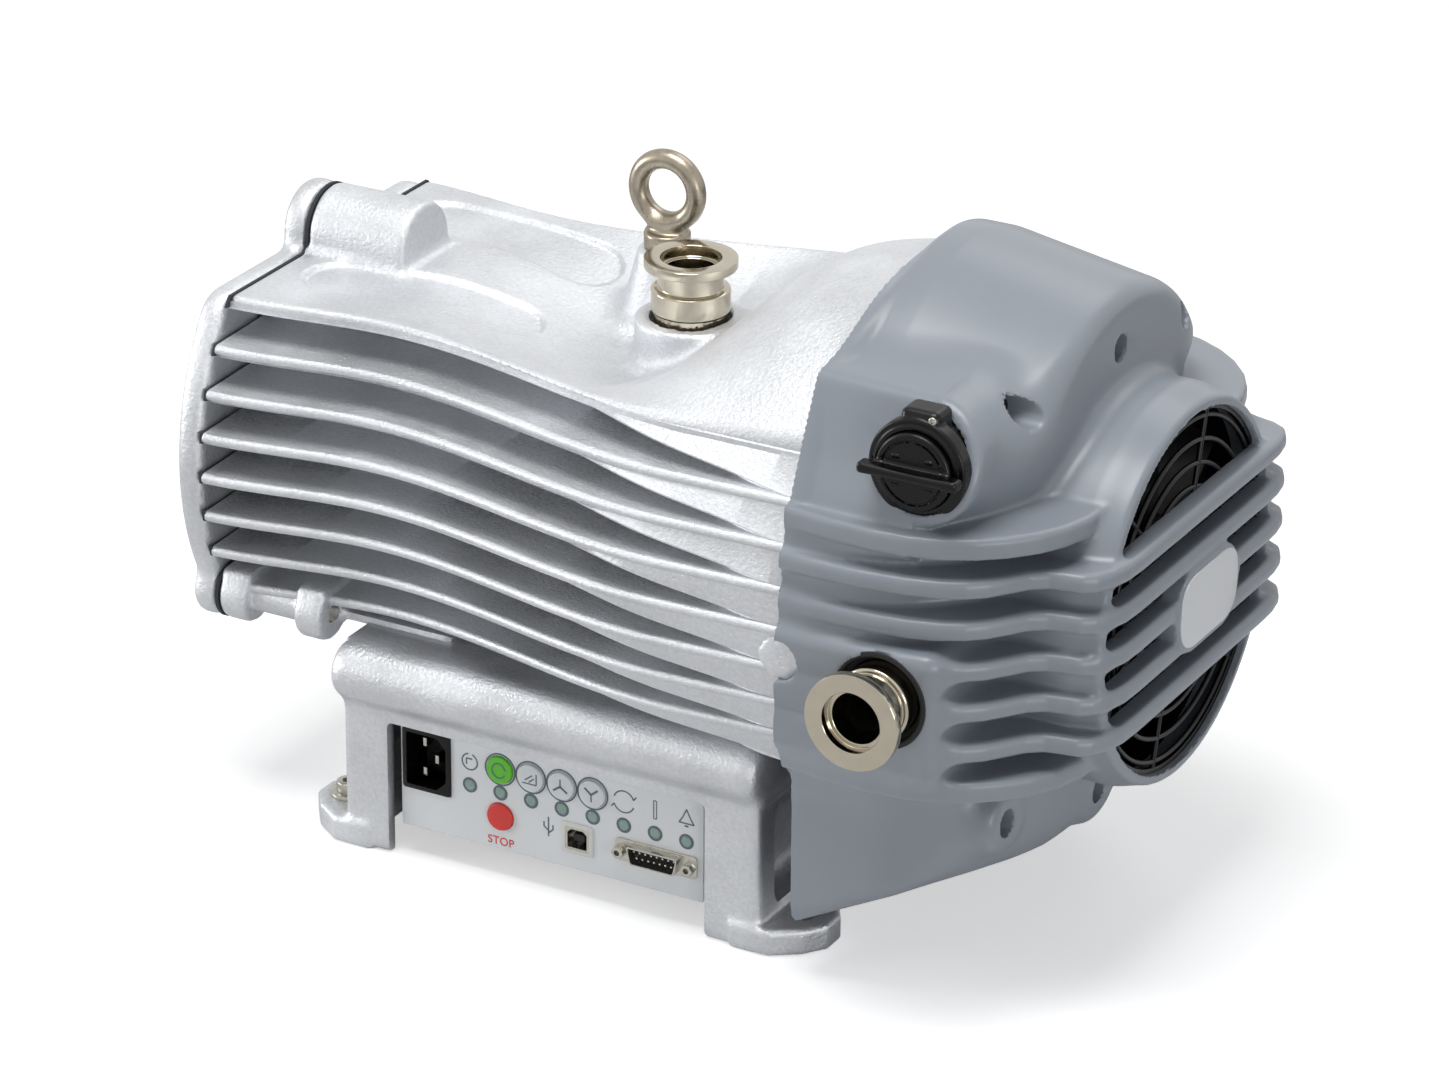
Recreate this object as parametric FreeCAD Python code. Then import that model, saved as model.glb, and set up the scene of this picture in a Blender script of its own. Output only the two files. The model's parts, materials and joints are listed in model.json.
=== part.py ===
import FreeCAD, Part
import math
import os

# Dry scroll vacuum pump, millimetres. X runs along the shaft, from the end cover to the fan.
# The origin is on the ground, midway between the four foot holes. The operator panel faces -Y.

# Shaft line
SHAFT_HEIGHT = 160.0

# Motor housing: where it starts and ends, and the curve of its finned sides
HOUSING_REAR_X = -166.0
HOUSING_FRONT_X = 124.0
HOUSING_BOTTOM = 96.0
SIDE_RADIUS = 117.0
SIDE_HALF_WIDTH = 106.0
WAIST_DEPTH = 7.5
WAIST_X = -90.0
FLARE_WIDTH = 21.5
FLARE_END_X = 70.0
DECK_HEIGHT = 234.0
DECK_DIP = 22.0
DECK_DIP_START_X = -110.0
DECK_LOW_X = 5.0
DECK_RISE = 73.0
DRUM_RADIUS = 99.0
DRUM_REAR_X = 62.0
FRONT_FLANGE_RADIUS = 125.0
FRONT_FLANGE_THICKNESS = 12.0
LOCATING_BOSS_RADIUS = 8.5
LOCATING_BOSS_FACE_Y = -120.0
LOCATING_BOSS_X = 125.0
LOCATING_BOSS_Z = 153.0

# Cooling fins of the motor housing
FIN_COUNT = 8
FIN_THICKNESS = 4.5
FIN_PITCH_REAR = 18.1
FIN_PITCH_FRONT = 16.8
FIN_DEPTH = 34.0
FIN_FADE_START_X = 30.0
FIN_FADE_END_X = 116.0

# Bores inside the motor housing
STATOR_BORE = 50.0
MOTOR_BAY_END_X = -42.0
PASSAGE_RADIUS = 46.5
WEB_FRONT_X = -12.0
CHAMBER_RADIUS = 79.5
CHAMBER_REAR_X = 66.0

# End cover
COVER_THICKNESS = 12.5
GASKET_THICKNESS = 1.5
COVER_INSET = 0.5
BUMP_RADIUS = 19.5
BUMP_HEIGHT = 239.0
BUMP_END_X = -118.0
LUG_Y = 84.0
LUG_Z = 100.0
LUG_RADIUS = 12.5
LUG_HOLE = 4.2
LUG_LENGTH = 13.0
SECOND_LUG_X = -128.0
COVER_SCREW_CIRCLE = 66.0
COVER_SCREW_COUNT = 6

# Bearings: bore radius, outer radius, width
REAR_BEARING = (8.5, 20.0, 12.0)
FRONT_BEARING = (12.5, 26.0, 15.0)
ORBIT_BEARING = (10.0, 21.0, 12.0)
REAR_BEARING_X = -161.0
FRONT_BEARING_X = -36.0
RING_WALL = 3.0
SEAL_WIDTH = 7.0
SPRING_LENGTH = 2.5

# Motor
STATOR_START_X = -132.0
STATOR_LENGTH = 76.0
ROTOR_RADIUS = 29.5
AIR_GAP = 0.5
ROTOR_SEAT = 14.0
WINDING_LENGTH = 10.0
WINDING_INNER = 33.0
WINDING_OUTER = 47.0

# Scroll pair: the pitch follows from the wall, the orbit and the clearance
WRAP_WALL = 4.9
ORBIT_RADIUS = 5.0
WRAP_CLEARANCE = 0.1
WRAP_HEIGHT = 19.7
WRAP_TIP_GAP = 0.3
WRAP_START_RADIUS = 12.0
WRAP_HALF_TURNS = 6
WRAP_PITCH = 2.0 * (WRAP_WALL + ORBIT_RADIUS + WRAP_CLEARANCE)
TIP_SEAL_WIDTH = 2.2
TIP_SEAL_DEPTH = 1.5
TIP_SEAL_GAP = 0.1
ORBIT_PLATE_RADIUS = 73.0
ORBIT_PLATE_THICKNESS = 12.0
HUB_RADIUS = 25.0
HUB_LENGTH = 26.0
FIXED_PLATE_RADIUS = 94.0
FIXED_PLATE_THICKNESS = 14.0
SCROLL_FIN_HEIGHT = 20.0
SCROLL_FIN_COUNT = 8
SCROLL_FIN_PITCH = 22.0
SCROLL_FIN_WALL = 3.5
SCROLL_SCREW_COUNT = 6
SCROLL_SCREW_CIRCLE = 87.0
DISCHARGE_BORE = 6.0

# Crankshaft
SHAFT_NOSE_RADIUS = 16.5
SHAFT_NOSE_END_X = 44.0
PIN_END_X = 67.0
COUNTERWEIGHT_RADIUS = 29.0
COUNTERWEIGHT_WIDTH = 14.0

# Bellows between the front web and the orbiting plate
BELLOWS_INNER = 35.0
BELLOWS_OUTER = 41.0
BELLOWS_WALL = 0.8
BELLOWS_FOLDS = 6
BELLOWS_RING = 4.0

# Fittings with a 25 mm vacuum flange
FLANGE_RADIUS = 20.0
FLANGE_RIM = 4.0
FLANGE_TAPER = 3.0
FLANGE_RECESS_RADIUS = 13.0
FLANGE_RECESS_DEPTH = 5.0
TUBE_RADIUS = 14.0
TUBE_BORE = 11.0
COLLAR_RADIUS = 16.0
INLET_X = 12.5
INLET_TOP = 260.2
INLET_COLLAR_TOP = 247.0
INLET_SEAT = 229.0
INLET_BOSS_RADIUS = 23.8
INLET_BOSS_TOP = 234.0
INLET_BORE = 13.0
SEAL_RING_RADIUS = 18.6

# Lifting eye
EYE_X = -16.0
EYE_Y = 30.0
EYE_SEAT = 249.0
EYE_COLLAR_RADIUS = 10.2
EYE_COLLAR_HEIGHT = 7.5
EYE_RING_RADIUS = 14.0
EYE_SECTION = 4.4
EYE_SHANK = 4.0
EYE_SHANK_LENGTH = 16.0
EYE_BOSS_TOP = 12.5
EYE_BOSS_FOOT = 42.0

# Exhaust fitting on the cowl's side
EXHAUST_X = 171.0
EXHAUST_Z = 146.0
EXHAUST_FACE_Y = -152.0
EXHAUST_SEAT_Y = -112.0
GROMMET_RADIUS = 22.0
GROMMET_HEIGHT = 1.6
MANIFOLD_RADIUS = 20.0
MANIFOLD_BORE = 13.5
MANIFOLD_END_X = 190.0
VALVE_RADIUS = 12.0
VALVE_THICKNESS = 4.0
VALVE_LIFT = 3.0
VALVE_STEM = 2.5
VALVE_SPRING_RADIUS = 8.0
VALVE_SPRING_TURNS = 4
VALVE_SPRING_WIRE = 0.6

# Gas ballast control on the cowl's side
BALLAST_X = 179.0
BALLAST_Z = 243.0
BALLAST_FACE_Y = -116.0
BALLAST_RADIUS = 19.0
BALLAST_DEPTH = 22.0
BALLAST_TAB_WIDTH = 20.0
BALLAST_TAB_REACH = 25.0
BALLAST_TAB_THICKNESS = 5.0
BALLAST_SCREW_RADIUS = 1.2
BALLAST_SCREW_HEAD = 1.4
KNOB_RADIUS = 16.5
KNOB_SEAT_DEPTH = 5.0
KNOB_PROUD = 3.0
GRIP_LENGTH = 44.0
GRIP_WIDTH = 6.0
GRIP_HEIGHT = 6.0
PIPE_RADIUS = 4.5
PIPE_BORE = 3.0
PIPE_DRILLING = 2.5
PIPE_BEND = 14.0
PIPE_Y = -22.0
DUCT_END_Z = 190.0

# Cowl
COWL_WALL = 3.0
COWL_REAR_X = HOUSING_FRONT_X
COWL_HALF_WIDTH = 130.0
COWL_NARROWING = 8.0
COWL_CROWN = 141.5
COWL_REAR_TOP = 128.5
COWL_CROWN_X = 145.0
COWL_SHOULDER_X = 216.0
COWL_SKIRT = 135.0
COWL_BELLY = 125.0
SHOULDER_ROUND = 34.0
SNOUT_RADIUS = 87.0
SNOUT_END_X = 246.0
FAN_OPENING = 77.5
BAR_COUNT = 5
BAR_PITCH = 18.0
BAR_THICKNESS = 8.5
BAR_DEPTH = 10.0
BAR_FRONT_X = 252.0
POCKET_REAR_X = 172.0
WING_OFFSET = 48.0
WING_THICKNESS = 8.0
WING_END_X = 237.0
POD_FACE_Y = -110.0
POD_BOTTOM = 216.0
POD_TOP = 267.0
POD_ROUND = 25.0
COWL_SCREW_TOP_MIDDLE = (-4.0, 262.0)
COWL_SCREW_TOP_LEFT = (-71.0, 256.0)
COWL_SCREW_TOP_RIGHT = (60.0, 254.0)
COWL_SCREW_BOTTOM_Y = 83.0
COWL_SCREW_BOTTOM_Z = 80.5
COWL_SCREW_LOWEST_Z = 60.0
COWL_SCREW_FLOOR_X = 196.0
COWL_SCREW_HEAD = 4.5
COWL_POST_RADIUS = 8.0

# Fan
FAN_RADIUS = 74.0
FAN_HUB_RADIUS = 28.0
FAN_START_X = 205.0
FAN_WIDTH = 24.0
FAN_BLADES = 7
BLADE_WALL = 2.0
BLADE_PITCH_ANGLE = 38.0
FAN_FRAME_WIDTH = 34.0
FAN_FRAME_WALL = 4.0
FAN_MOTOR_WIDTH = 8.0
FAN_GAP = 0.8
STRUT_WIDTH = 5.0
STRUT_COUNT = 4
GUARD_RINGS = 7
GUARD_RING_PITCH = 10.0
GUARD_RING_WALL = 2.0
GUARD_THICKNESS = 2.4
GUARD_SPOKES = 6
GUARD_HUB_RADIUS = 13.0

# Badge plate on the fan bars
BADGE_Y = 6.5
BADGE_Z = 156.0
BADGE_HALF_WIDTH = 27.0
BADGE_HALF_HEIGHT = 16.0
BADGE_THICKNESS = 1.2
BADGE_MARGIN = 2.0

# Base casting
BASE_HALF_LENGTH = 102.0
BASE_HALF_WIDTH = 99.0
BASE_WALL = 6.0
BROW_HALF_WIDTH = 108.5
BROW_BOTTOM = 69.0
BROW_HALF_LENGTH = 104.0
FOOT_HEIGHT = 11.0
FOOT_RADIUS = 17.0
FOOT_HOLE_X = 119.0
FOOT_HOLE_Y = 82.0
FOOT_HOLE_RADIUS = 4.5
DRUM_CLEARANCE = 1.5
BASE_BOLT_X = 32.0
BASE_BOLT_REAR_X = -80.0
BASE_BOLT_Y = 40.0
BASE_BOLT_RADIUS = 4.0
BOLT_SEAT = 50.0

# Operator panel
PANEL_LEFT = -75.0
PANEL_RIGHT = 73.0
PANEL_BOTTOM = 14.0
PANEL_TOP = 62.0
PANEL_FACE_Y = -95.0
PANEL_THICKNESS = 3.0
PANEL_CLEARANCE = 0.3
BOARD_FACE_Y = -86.0
BOARD_THICKNESS = 1.6
CONTROL_PITCH = 15.1
CONTROL_LEFT_X = -40.7
CONTROL_ROW_Z = 52.0
LAMP_ROW_Z = 41.0
STOP_Z = 29.8
BUTTON_RADIUS = 6.2
BUTTON_PROUD = 1.4
BUTTON_FLANGE = 7.0
BUTTON_FLANGE_THICKNESS = 1.0
BUTTON_TRAVEL = 0.7
LAMP_RADIUS = 2.5
LAMP_COUNT = 8
INLET_SOCKET_X = -62.0
INLET_SOCKET_Z = 47.0
INLET_SOCKET_WIDTH = 24.0
INLET_SOCKET_HEIGHT = 29.0
INLET_SOCKET_DEPTH = 17.0
USB_X = 12.3
USB_Z = 28.7
USB_WIDTH = 12.0
USB_HEIGHT = 11.0
SERIAL_X = 50.7
SERIAL_Z = 29.8
SERIAL_HALF_WIDTH = 12.4
SERIAL_HALF_HEIGHT = 4.2
JACKSCREW_SPACING = 33.3
PORT_WALL = 0.6

# Fits and screws
CLOSE = 0.1
GAP = 0.3
SCREW_HEAD = 5.0
SCREW_SHANK = 3.0
SCREW_LENGTH = 10.0
THROUGH_REACH = 400.0


def vec(x, y, z):
    return FreeCAD.Vector(x, y, z)


def cylinder_x(radius, x_start, x_end, y=0.0, z=SHAFT_HEIGHT):
    return Part.makeCylinder(radius, x_end - x_start, vec(x_start, y, z), vec(1, 0, 0))


def cylinder_y(radius, y_start, y_end, x, z):
    return Part.makeCylinder(radius, y_end - y_start, vec(x, y_start, z), vec(0, 1, 0))


def cylinder_z(radius, z_start, z_end, x, y):
    return Part.makeCylinder(radius, z_end - z_start, vec(x, y, z_start), vec(0, 0, 1))


def ring_x(outer, inner, x_start, x_end, y=0.0, z=SHAFT_HEIGHT):
    return cylinder_x(outer, x_start, x_end, y, z).cut(cylinder_x(inner, x_start, x_end, y, z))


def block(x_start, x_end, y_start, y_end, z_start, z_end):
    corner = vec(x_start, y_start, z_start)
    return Part.makeBox(x_end - x_start, y_end - y_start, z_end - z_start, corner)


def extrude(edges, direction):
    """A solid from a closed outline of edges."""
    return Part.Face(Part.Wire(edges)).extrude(direction)


def polygon_prism(points, direction):
    """A solid from a closed polygon of 3-D points."""
    corners = [vec(*point) for point in points]
    wire = Part.makePolygon(corners + corners[:1])
    return Part.Face(wire).extrude(direction)


def turned(shape, angle, centre, axis):
    copy = shape.copy()
    copy.rotate(centre, axis, angle)
    return copy


def moved(shape, x=0.0, y=0.0, z=0.0):
    copy = shape.copy()
    copy.translate(vec(x, y, z))
    return copy


def mirrored(shape):
    """The same shape on the other side of the shaft's vertical plane."""
    return shape.mirror(vec(0, 0, 0), vec(0, 1, 0))


def both_sides(shape):
    return [shape, mirrored(shape)]


def fused(shapes):
    result = shapes[0].multiFuse(shapes[1:]) if len(shapes) > 1 else shapes[0]
    return result.removeSplitter()


def revolved_x(points, y=0.0, z=SHAFT_HEIGHT):
    """A solid turned about a line along X, from (x, radius) points."""
    corners = [vec(x, y, z + radius) for x, radius in points]
    wire = Part.makePolygon(corners + corners[:1])
    return Part.Face(wire).revolve(vec(0, y, z), vec(1, 0, 0), 360)


def revolved_z(points, x, y):
    """A solid turned about an upright line, from (radius, z) points."""
    corners = [vec(x + radius, y, z) for radius, z in points]
    wire = Part.makePolygon(corners + corners[:1])
    return Part.Face(wire).revolve(vec(x, y, 0), vec(0, 0, 1), 360)


def revolved_y(points, x, z):
    """A solid turned about a line along Y, from (radius, y) points."""
    corners = [vec(x + radius, y, z) for radius, y in points]
    wire = Part.makePolygon(corners + corners[:1])
    return Part.Face(wire).revolve(vec(x, 0, z), vec(0, 1, 0), 360)


def on_circle(count, radius, start_angle=0.0):
    """Places (y, z) spread evenly round the shaft line."""
    for index in range(count):
        angle = math.radians(start_angle + index * 360.0 / count)
        yield radius * math.cos(angle), SHAFT_HEIGHT + radius * math.sin(angle)


def smooth(value):
    """0 to 1 with level ends."""
    value = min(max(value, 0.0), 1.0)
    return value * value * (3.0 - 2.0 * value)


def spline(points):
    curve = Part.BSplineCurve()
    curve.interpolate([vec(*point) for point in points])
    return curve.toShape()


# Motor housing: the outline of its finned sides and of its deck

def side_offset(x):
    """How far the fin tips stand out from their place at the end cover."""
    waist = smooth((x - HOUSING_REAR_X) / (WAIST_X - HOUSING_REAR_X))
    flare = smooth((x - WAIST_X) / (FLARE_END_X - WAIST_X))
    return (WAIST_DEPTH + FLARE_WIDTH) * flare - WAIST_DEPTH * waist


def side_y(x, z, inset):
    height = z - SHAFT_HEIGHT
    centre = SIDE_HALF_WIDTH - SIDE_RADIUS + side_offset(x)
    return centre + math.sqrt(SIDE_RADIUS ** 2 - height ** 2) - inset


def deck_z(x):
    """Height of the deck over the shaft."""
    dip = DECK_DIP * smooth((x - DECK_DIP_START_X) / (DECK_LOW_X - DECK_DIP_START_X))
    climb = max(x - DECK_LOW_X, 0.0) / (HOUSING_FRONT_X - DECK_LOW_X)
    return DECK_HEIGHT - dip + DECK_RISE * climb ** 1.1


def fin_depth(x):
    fade = (x - FIN_FADE_START_X) / (FIN_FADE_END_X - FIN_FADE_START_X)
    return FIN_DEPTH * (1.0 - smooth(fade)) + CLOSE


def housing_stations():
    count = 9
    length = HOUSING_FRONT_X - HOUSING_REAR_X
    return [HOUSING_REAR_X + length * index / (count - 1) for index in range(count)]


def side_edge(x, z_start, z_end, inset, sign):
    points = []
    count = 7
    for index in range(count):
        z = z_start + (z_end - z_start) * index / (count - 1)
        points.append((x, sign * side_y(x, z, inset), z))
    return spline(points)


def deck_points(x, reach):
    """Points across the deck: a shallow dish behind the inlet, a dome towards the fan."""
    half_width = side_y(x, DECK_HEIGHT, 0.0)
    middle = deck_z(x) + CLOSE
    shares = [reach * step / 4.0 for step in range(-4, 5)]
    return [(x, share * half_width, middle + (DECK_HEIGHT - middle) * share ** 2) for share in shares]


def envelope_section(x):
    """Fin tips, deck and underside at one station."""
    deck = deck_points(x, 1.0)
    lower = side_y(x, HOUSING_BOTTOM, 0.0)
    underside = Part.makeLine(vec(x, lower, HOUSING_BOTTOM), vec(x, -lower, HOUSING_BOTTOM))
    right = side_edge(x, DECK_HEIGHT, HOUSING_BOTTOM, 0.0, 1)
    left = side_edge(x, HOUSING_BOTTOM, DECK_HEIGHT, 0.0, -1)
    return Part.Wire([spline(deck), right, underside, left])


def core_section(x):
    """Floors of the channels between the fins at one station."""
    inset = fin_depth(x)
    upper = side_y(x, DECK_HEIGHT, inset)
    lower = side_y(x, HOUSING_BOTTOM, inset)
    top = Part.makeLine(vec(x, -upper, DECK_HEIGHT), vec(x, upper, DECK_HEIGHT))
    underside = Part.makeLine(vec(x, lower, HOUSING_BOTTOM), vec(x, -lower, HOUSING_BOTTOM))
    right = side_edge(x, DECK_HEIGHT, HOUSING_BOTTOM, inset, 1)
    left = side_edge(x, HOUSING_BOTTOM, DECK_HEIGHT, inset, -1)
    return Part.Wire([top, right, underside, left])


def fin_slab(index):
    """The layer of metal that fin number index is cut from."""
    rear = DECK_HEIGHT - index * FIN_PITCH_REAR
    front = DECK_HEIGHT - index * FIN_PITCH_FRONT
    outline = [
        (HOUSING_REAR_X, -THROUGH_REACH / 2, rear - FIN_THICKNESS),
        (HOUSING_FRONT_X, -THROUGH_REACH / 2, front - FIN_THICKNESS),
        (HOUSING_FRONT_X, -THROUGH_REACH / 2, front),
        (HOUSING_REAR_X, -THROUGH_REACH / 2, rear),
    ]
    return polygon_prism(outline, vec(0, THROUGH_REACH, 0))


def deck_layer():
    """The deck's own skin and all above it; its edges are the topmost fins."""
    sections = []
    for x in housing_stations():
        lower = spline([(x, y, z - FIN_THICKNESS) for x, y, z in deck_points(x, 1.2)])
        first, last = lower.Vertexes[0].Point, lower.Vertexes[-1].Point
        upper_first = first + vec(0, 0, THROUGH_REACH)
        upper_last = last + vec(0, 0, THROUGH_REACH)
        sides = [Part.makeLine(last, upper_last), Part.makeLine(upper_last, upper_first),
                 Part.makeLine(upper_first, first)]
        sections.append(Part.Wire([lower] + sides))
    return Part.makeLoft(sections, True, False)


def housing_body():
    envelope = Part.makeLoft([envelope_section(x) for x in housing_stations()], True, False)
    core = Part.makeLoft([core_section(x) for x in housing_stations()], True, False)
    slabs = [fin_slab(index) for index in range(1, FIN_COUNT)]
    return envelope.common(core.multiFuse([deck_layer()] + slabs))


def lug(x_start, x_end):
    """Ear under the barrel, with a hole for the tie rod."""
    ear = cylinder_x(LUG_RADIUS, x_start, x_end, LUG_Y, LUG_Z)
    arm = block(x_start, x_end, LUG_Y - LUG_RADIUS - 14.0, LUG_Y, LUG_Z, LUG_Z + LUG_RADIUS)
    return ear.fuse(arm)


def lug_holes():
    start = HOUSING_REAR_X - COVER_THICKNESS - GASKET_THICKNESS
    hole = cylinder_x(LUG_HOLE, start + 3.0, SECOND_LUG_X + LUG_LENGTH, LUG_Y, LUG_Z)
    return both_sides(hole)


def bump(x_start, x_end):
    """Half-round rise in the middle of the deck."""
    crest = cylinder_x(BUMP_RADIUS, x_start, x_end, 0.0, BUMP_HEIGHT)
    below = block(x_start, x_end, -BUMP_RADIUS, BUMP_RADIUS, DECK_HEIGHT - BUMP_RADIUS, BUMP_HEIGHT)
    return crest.fuse(below)


def housing_bores():
    """Rear bay for the motor, bearing seat, passage for the bellows and chamber for the scrolls."""
    bearing_end = FRONT_BEARING_X + FRONT_BEARING[2]
    seat_end = bearing_end + SEAL_WIDTH
    flange_x = scroll_face_x()
    return [
        cylinder_x(STATOR_BORE + CLOSE, HOUSING_REAR_X, MOTOR_BAY_END_X),
        cylinder_x(FRONT_BEARING[0] + RING_WALL, MOTOR_BAY_END_X, WEB_FRONT_X),
        cylinder_x(FRONT_BEARING[1], FRONT_BEARING_X, seat_end),
        cylinder_x(FRONT_BEARING[1] - RING_WALL, seat_end, WEB_FRONT_X),
        cylinder_x(PASSAGE_RADIUS, WEB_FRONT_X, CHAMBER_REAR_X),
        cylinder_x(CHAMBER_RADIUS, CHAMBER_REAR_X, HOUSING_FRONT_X),
        cylinder_x(FIXED_PLATE_RADIUS + CLOSE, flange_x, HOUSING_FRONT_X),
        cylinder_z(INLET_BORE, SHAFT_HEIGHT, INLET_SEAT, INLET_X, 0.0),
        cylinder_z(SEAL_RING_RADIUS + GAP, INLET_SEAT, INLET_BOSS_TOP, INLET_X, 0.0),
    ]


def scroll_face_x():
    """Inner face of the fixed scroll's plate."""
    return HOUSING_FRONT_X - FIXED_PLATE_THICKNESS


def motor_housing():
    inlet_boss = cylinder_z(INLET_BOSS_RADIUS, deck_z(INLET_X) - DECK_DIP, INLET_BOSS_TOP, INLET_X, 0.0)
    drum = lower_half(cylinder_x(DRUM_RADIUS, DRUM_REAR_X, HOUSING_FRONT_X))
    flange_x = HOUSING_FRONT_X - FRONT_FLANGE_THICKNESS
    front_flange = cylinder_x(FRONT_FLANGE_RADIUS, flange_x, HOUSING_FRONT_X)
    ears = both_sides(lug(HOUSING_REAR_X, HOUSING_REAR_X + LUG_LENGTH))
    ears += both_sides(lug(SECOND_LUG_X, SECOND_LUG_X + LUG_LENGTH))
    rise = bump(HOUSING_REAR_X, BUMP_END_X)
    locator = locating_boss(0.0, LOCATING_BOSS_FACE_Y)
    body = housing_body().multiFuse([inlet_boss, eye_boss(), drum, front_flange, locator, rise] + ears)
    holes = housing_bores() + lug_holes() + deck_recesses() + base_bolt_holes() + cover_screw_holes(SCREW_SHANK)
    holes += scroll_screw_holes(SCREW_SHANK)
    holes += [cylinder_x(SCREW_SHANK, flange_x, HOUSING_FRONT_X, y, z) for y, z in cowl_screw_places()]
    holes.append(cylinder_z(EYE_SHANK, EYE_SEAT - EYE_SHANK_LENGTH, EYE_SEAT, EYE_X, EYE_Y))
    return body.cut(holes)


def locating_boss(grow, face):
    """Round boss on the front flange's side, which a notch in the cowl's rear edge fits over."""
    root = -(FIXED_PLATE_RADIUS + RING_WALL)
    return cylinder_y(LOCATING_BOSS_RADIUS + grow, face, root + grow, LOCATING_BOSS_X, LOCATING_BOSS_Z)


def lower_half(shape):
    """The part of a shape that hangs below the barrel's underside."""
    box = shape.BoundBox
    return shape.common(block(box.XMin, box.XMax, box.YMin, box.YMax, box.ZMin, HOUSING_BOTTOM + 1.0))


def eye_boss():
    """Hill with hollow flanks that carries the lifting eye."""
    foot_z = DECK_HEIGHT - DECK_DIP
    top = vec(EYE_X + EYE_BOSS_TOP, EYE_Y, EYE_SEAT)
    foot = vec(EYE_X + EYE_BOSS_FOOT, EYE_Y, foot_z - 1.0)
    hollow = vec(EYE_X + EYE_BOSS_TOP + 6.0, EYE_Y, foot_z + 11.0)
    flank = Part.Arc(top, hollow, foot).toShape()
    axis_top = vec(EYE_X, EYE_Y, EYE_SEAT)
    axis_foot = vec(EYE_X, EYE_Y, foot_z - 12.0)
    rim = vec(foot.x, EYE_Y, axis_foot.z)
    outline = [Part.makeLine(axis_top, top), flank, Part.makeLine(foot, rim),
               Part.makeLine(rim, axis_foot), Part.makeLine(axis_foot, axis_top)]
    return Part.Face(Part.Wire(outline)).revolve(axis_top, vec(0, 0, 1), 360)


def deck_recesses():
    """Two long shallow recesses with round ends, beside the rise on the deck."""
    half_width = 13.0
    x_start = -132.0
    x_end = -48.0
    recesses = []
    for y in (-48.0, 48.0):
        floor = DECK_HEIGHT - 2.2
        recess = block(x_start, x_end, y - half_width, y + half_width, floor, DECK_HEIGHT + 9.0)
        for x in (x_start, x_end):
            recess = recess.fuse(cylinder_z(half_width, floor, DECK_HEIGHT + 9.0, x, y))
        recesses.append(turned(recess, 4.0, vec(x_start, y, DECK_HEIGHT), vec(0, 1, 0)))
    return recesses


# End cover

def cover_outline(x, thickness):
    """Plate with the barrel's outline, the rise and the two lugs."""
    half_width = side_y(HOUSING_REAR_X, DECK_HEIGHT, COVER_INSET)
    points = []
    for index in range(7):
        z = DECK_HEIGHT + (HOUSING_BOTTOM - DECK_HEIGHT) * index / 6.0
        points.append((x, side_y(HOUSING_REAR_X, z, COVER_INSET), z))
    right = spline(points)
    left = spline([(px, -py, pz) for px, py, pz in reversed(points)])
    lower = points[-1][1]
    top = Part.makeLine(vec(x, -half_width, DECK_HEIGHT), vec(x, half_width, DECK_HEIGHT))
    bottom = Part.makeLine(vec(x, lower, HOUSING_BOTTOM), vec(x, -lower, HOUSING_BOTTOM))
    plate = extrude([top, right, bottom, left], vec(thickness, 0, 0))
    extras = [bump(x, x + thickness)] + both_sides(lug(x, x + thickness))
    return plate.multiFuse(extras)


def cover_face_x():
    return HOUSING_REAR_X - GASKET_THICKNESS - COVER_THICKNESS


def cover_screw_holes(radius):
    depth = HOUSING_REAR_X + SCREW_LENGTH + 2.0
    places = on_circle(COVER_SCREW_COUNT, COVER_SCREW_CIRCLE, 30.0)
    return [cylinder_x(radius, cover_face_x(), depth, y, z) for y, z in places]


def end_cover():
    """Plate that closes the barrel and carries the rear bearing in a boss."""
    x = cover_face_x()
    inner = x + COVER_THICKNESS
    boss_end = REAR_BEARING_X + REAR_BEARING[2]
    boss = cylinder_x(REAR_BEARING[1] + 6.0, inner, boss_end)
    seat = cylinder_x(REAR_BEARING[1], REAR_BEARING_X - SPRING_LENGTH, boss_end)
    plate = cover_outline(x, COVER_THICKNESS)
    heads = [cylinder_x(SCREW_HEAD + GAP, x, x + SCREW_HEAD, y, z)
             for y, z in on_circle(COVER_SCREW_COUNT, COVER_SCREW_CIRCLE, 30.0)]
    return plate.fuse(boss).cut([seat] + lug_holes() + heads + cover_screw_holes(SCREW_SHANK))


def end_cover_gasket():
    """Thin sheet that follows the barrel's end: its core, its fin ends and its two lugs."""
    x = HOUSING_REAR_X - GASKET_THICKNESS
    window = cylinder_x(STATOR_BORE, x, HOUSING_REAR_X)
    core = Part.Face(core_section(HOUSING_REAR_X)).extrude(vec(-GASKET_THICKNESS, 0, 0))
    bands = [moved(fin_slab(index), x=-GASKET_THICKNESS) for index in range(1, FIN_COUNT)]
    bands += [moved(deck_layer(), x=-GASKET_THICKNESS)] + both_sides(lug(x, HOUSING_REAR_X))
    sheet = cover_outline(x, GASKET_THICKNESS).common(core.multiFuse(bands))
    return sheet.cut([window] + lug_holes() + cover_screw_holes(SCREW_SHANK))


def end_cover_screws():
    x = cover_face_x()
    screws = []
    for y, z in on_circle(COVER_SCREW_COUNT, COVER_SCREW_CIRCLE, 30.0):
        head = cylinder_x(SCREW_HEAD, x, x + SCREW_HEAD, y, z)
        shank = cylinder_x(SCREW_SHANK, x, HOUSING_REAR_X + SCREW_LENGTH, y, z)
        socket = hexagon_x(2.9, x, x + SCREW_HEAD * 0.6, y, z)
        screws.append(head.fuse(shank).cut(socket))
    return Part.makeCompound(screws)


def hexagon_x(radius, x_start, x_end, y, z):
    points = []
    for index in range(6):
        angle = math.radians(60.0 * index)
        points.append((x_start, y + radius * math.cos(angle), z + radius * math.sin(angle)))
    return polygon_prism(points, vec(x_end - x_start, 0, 0))


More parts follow.
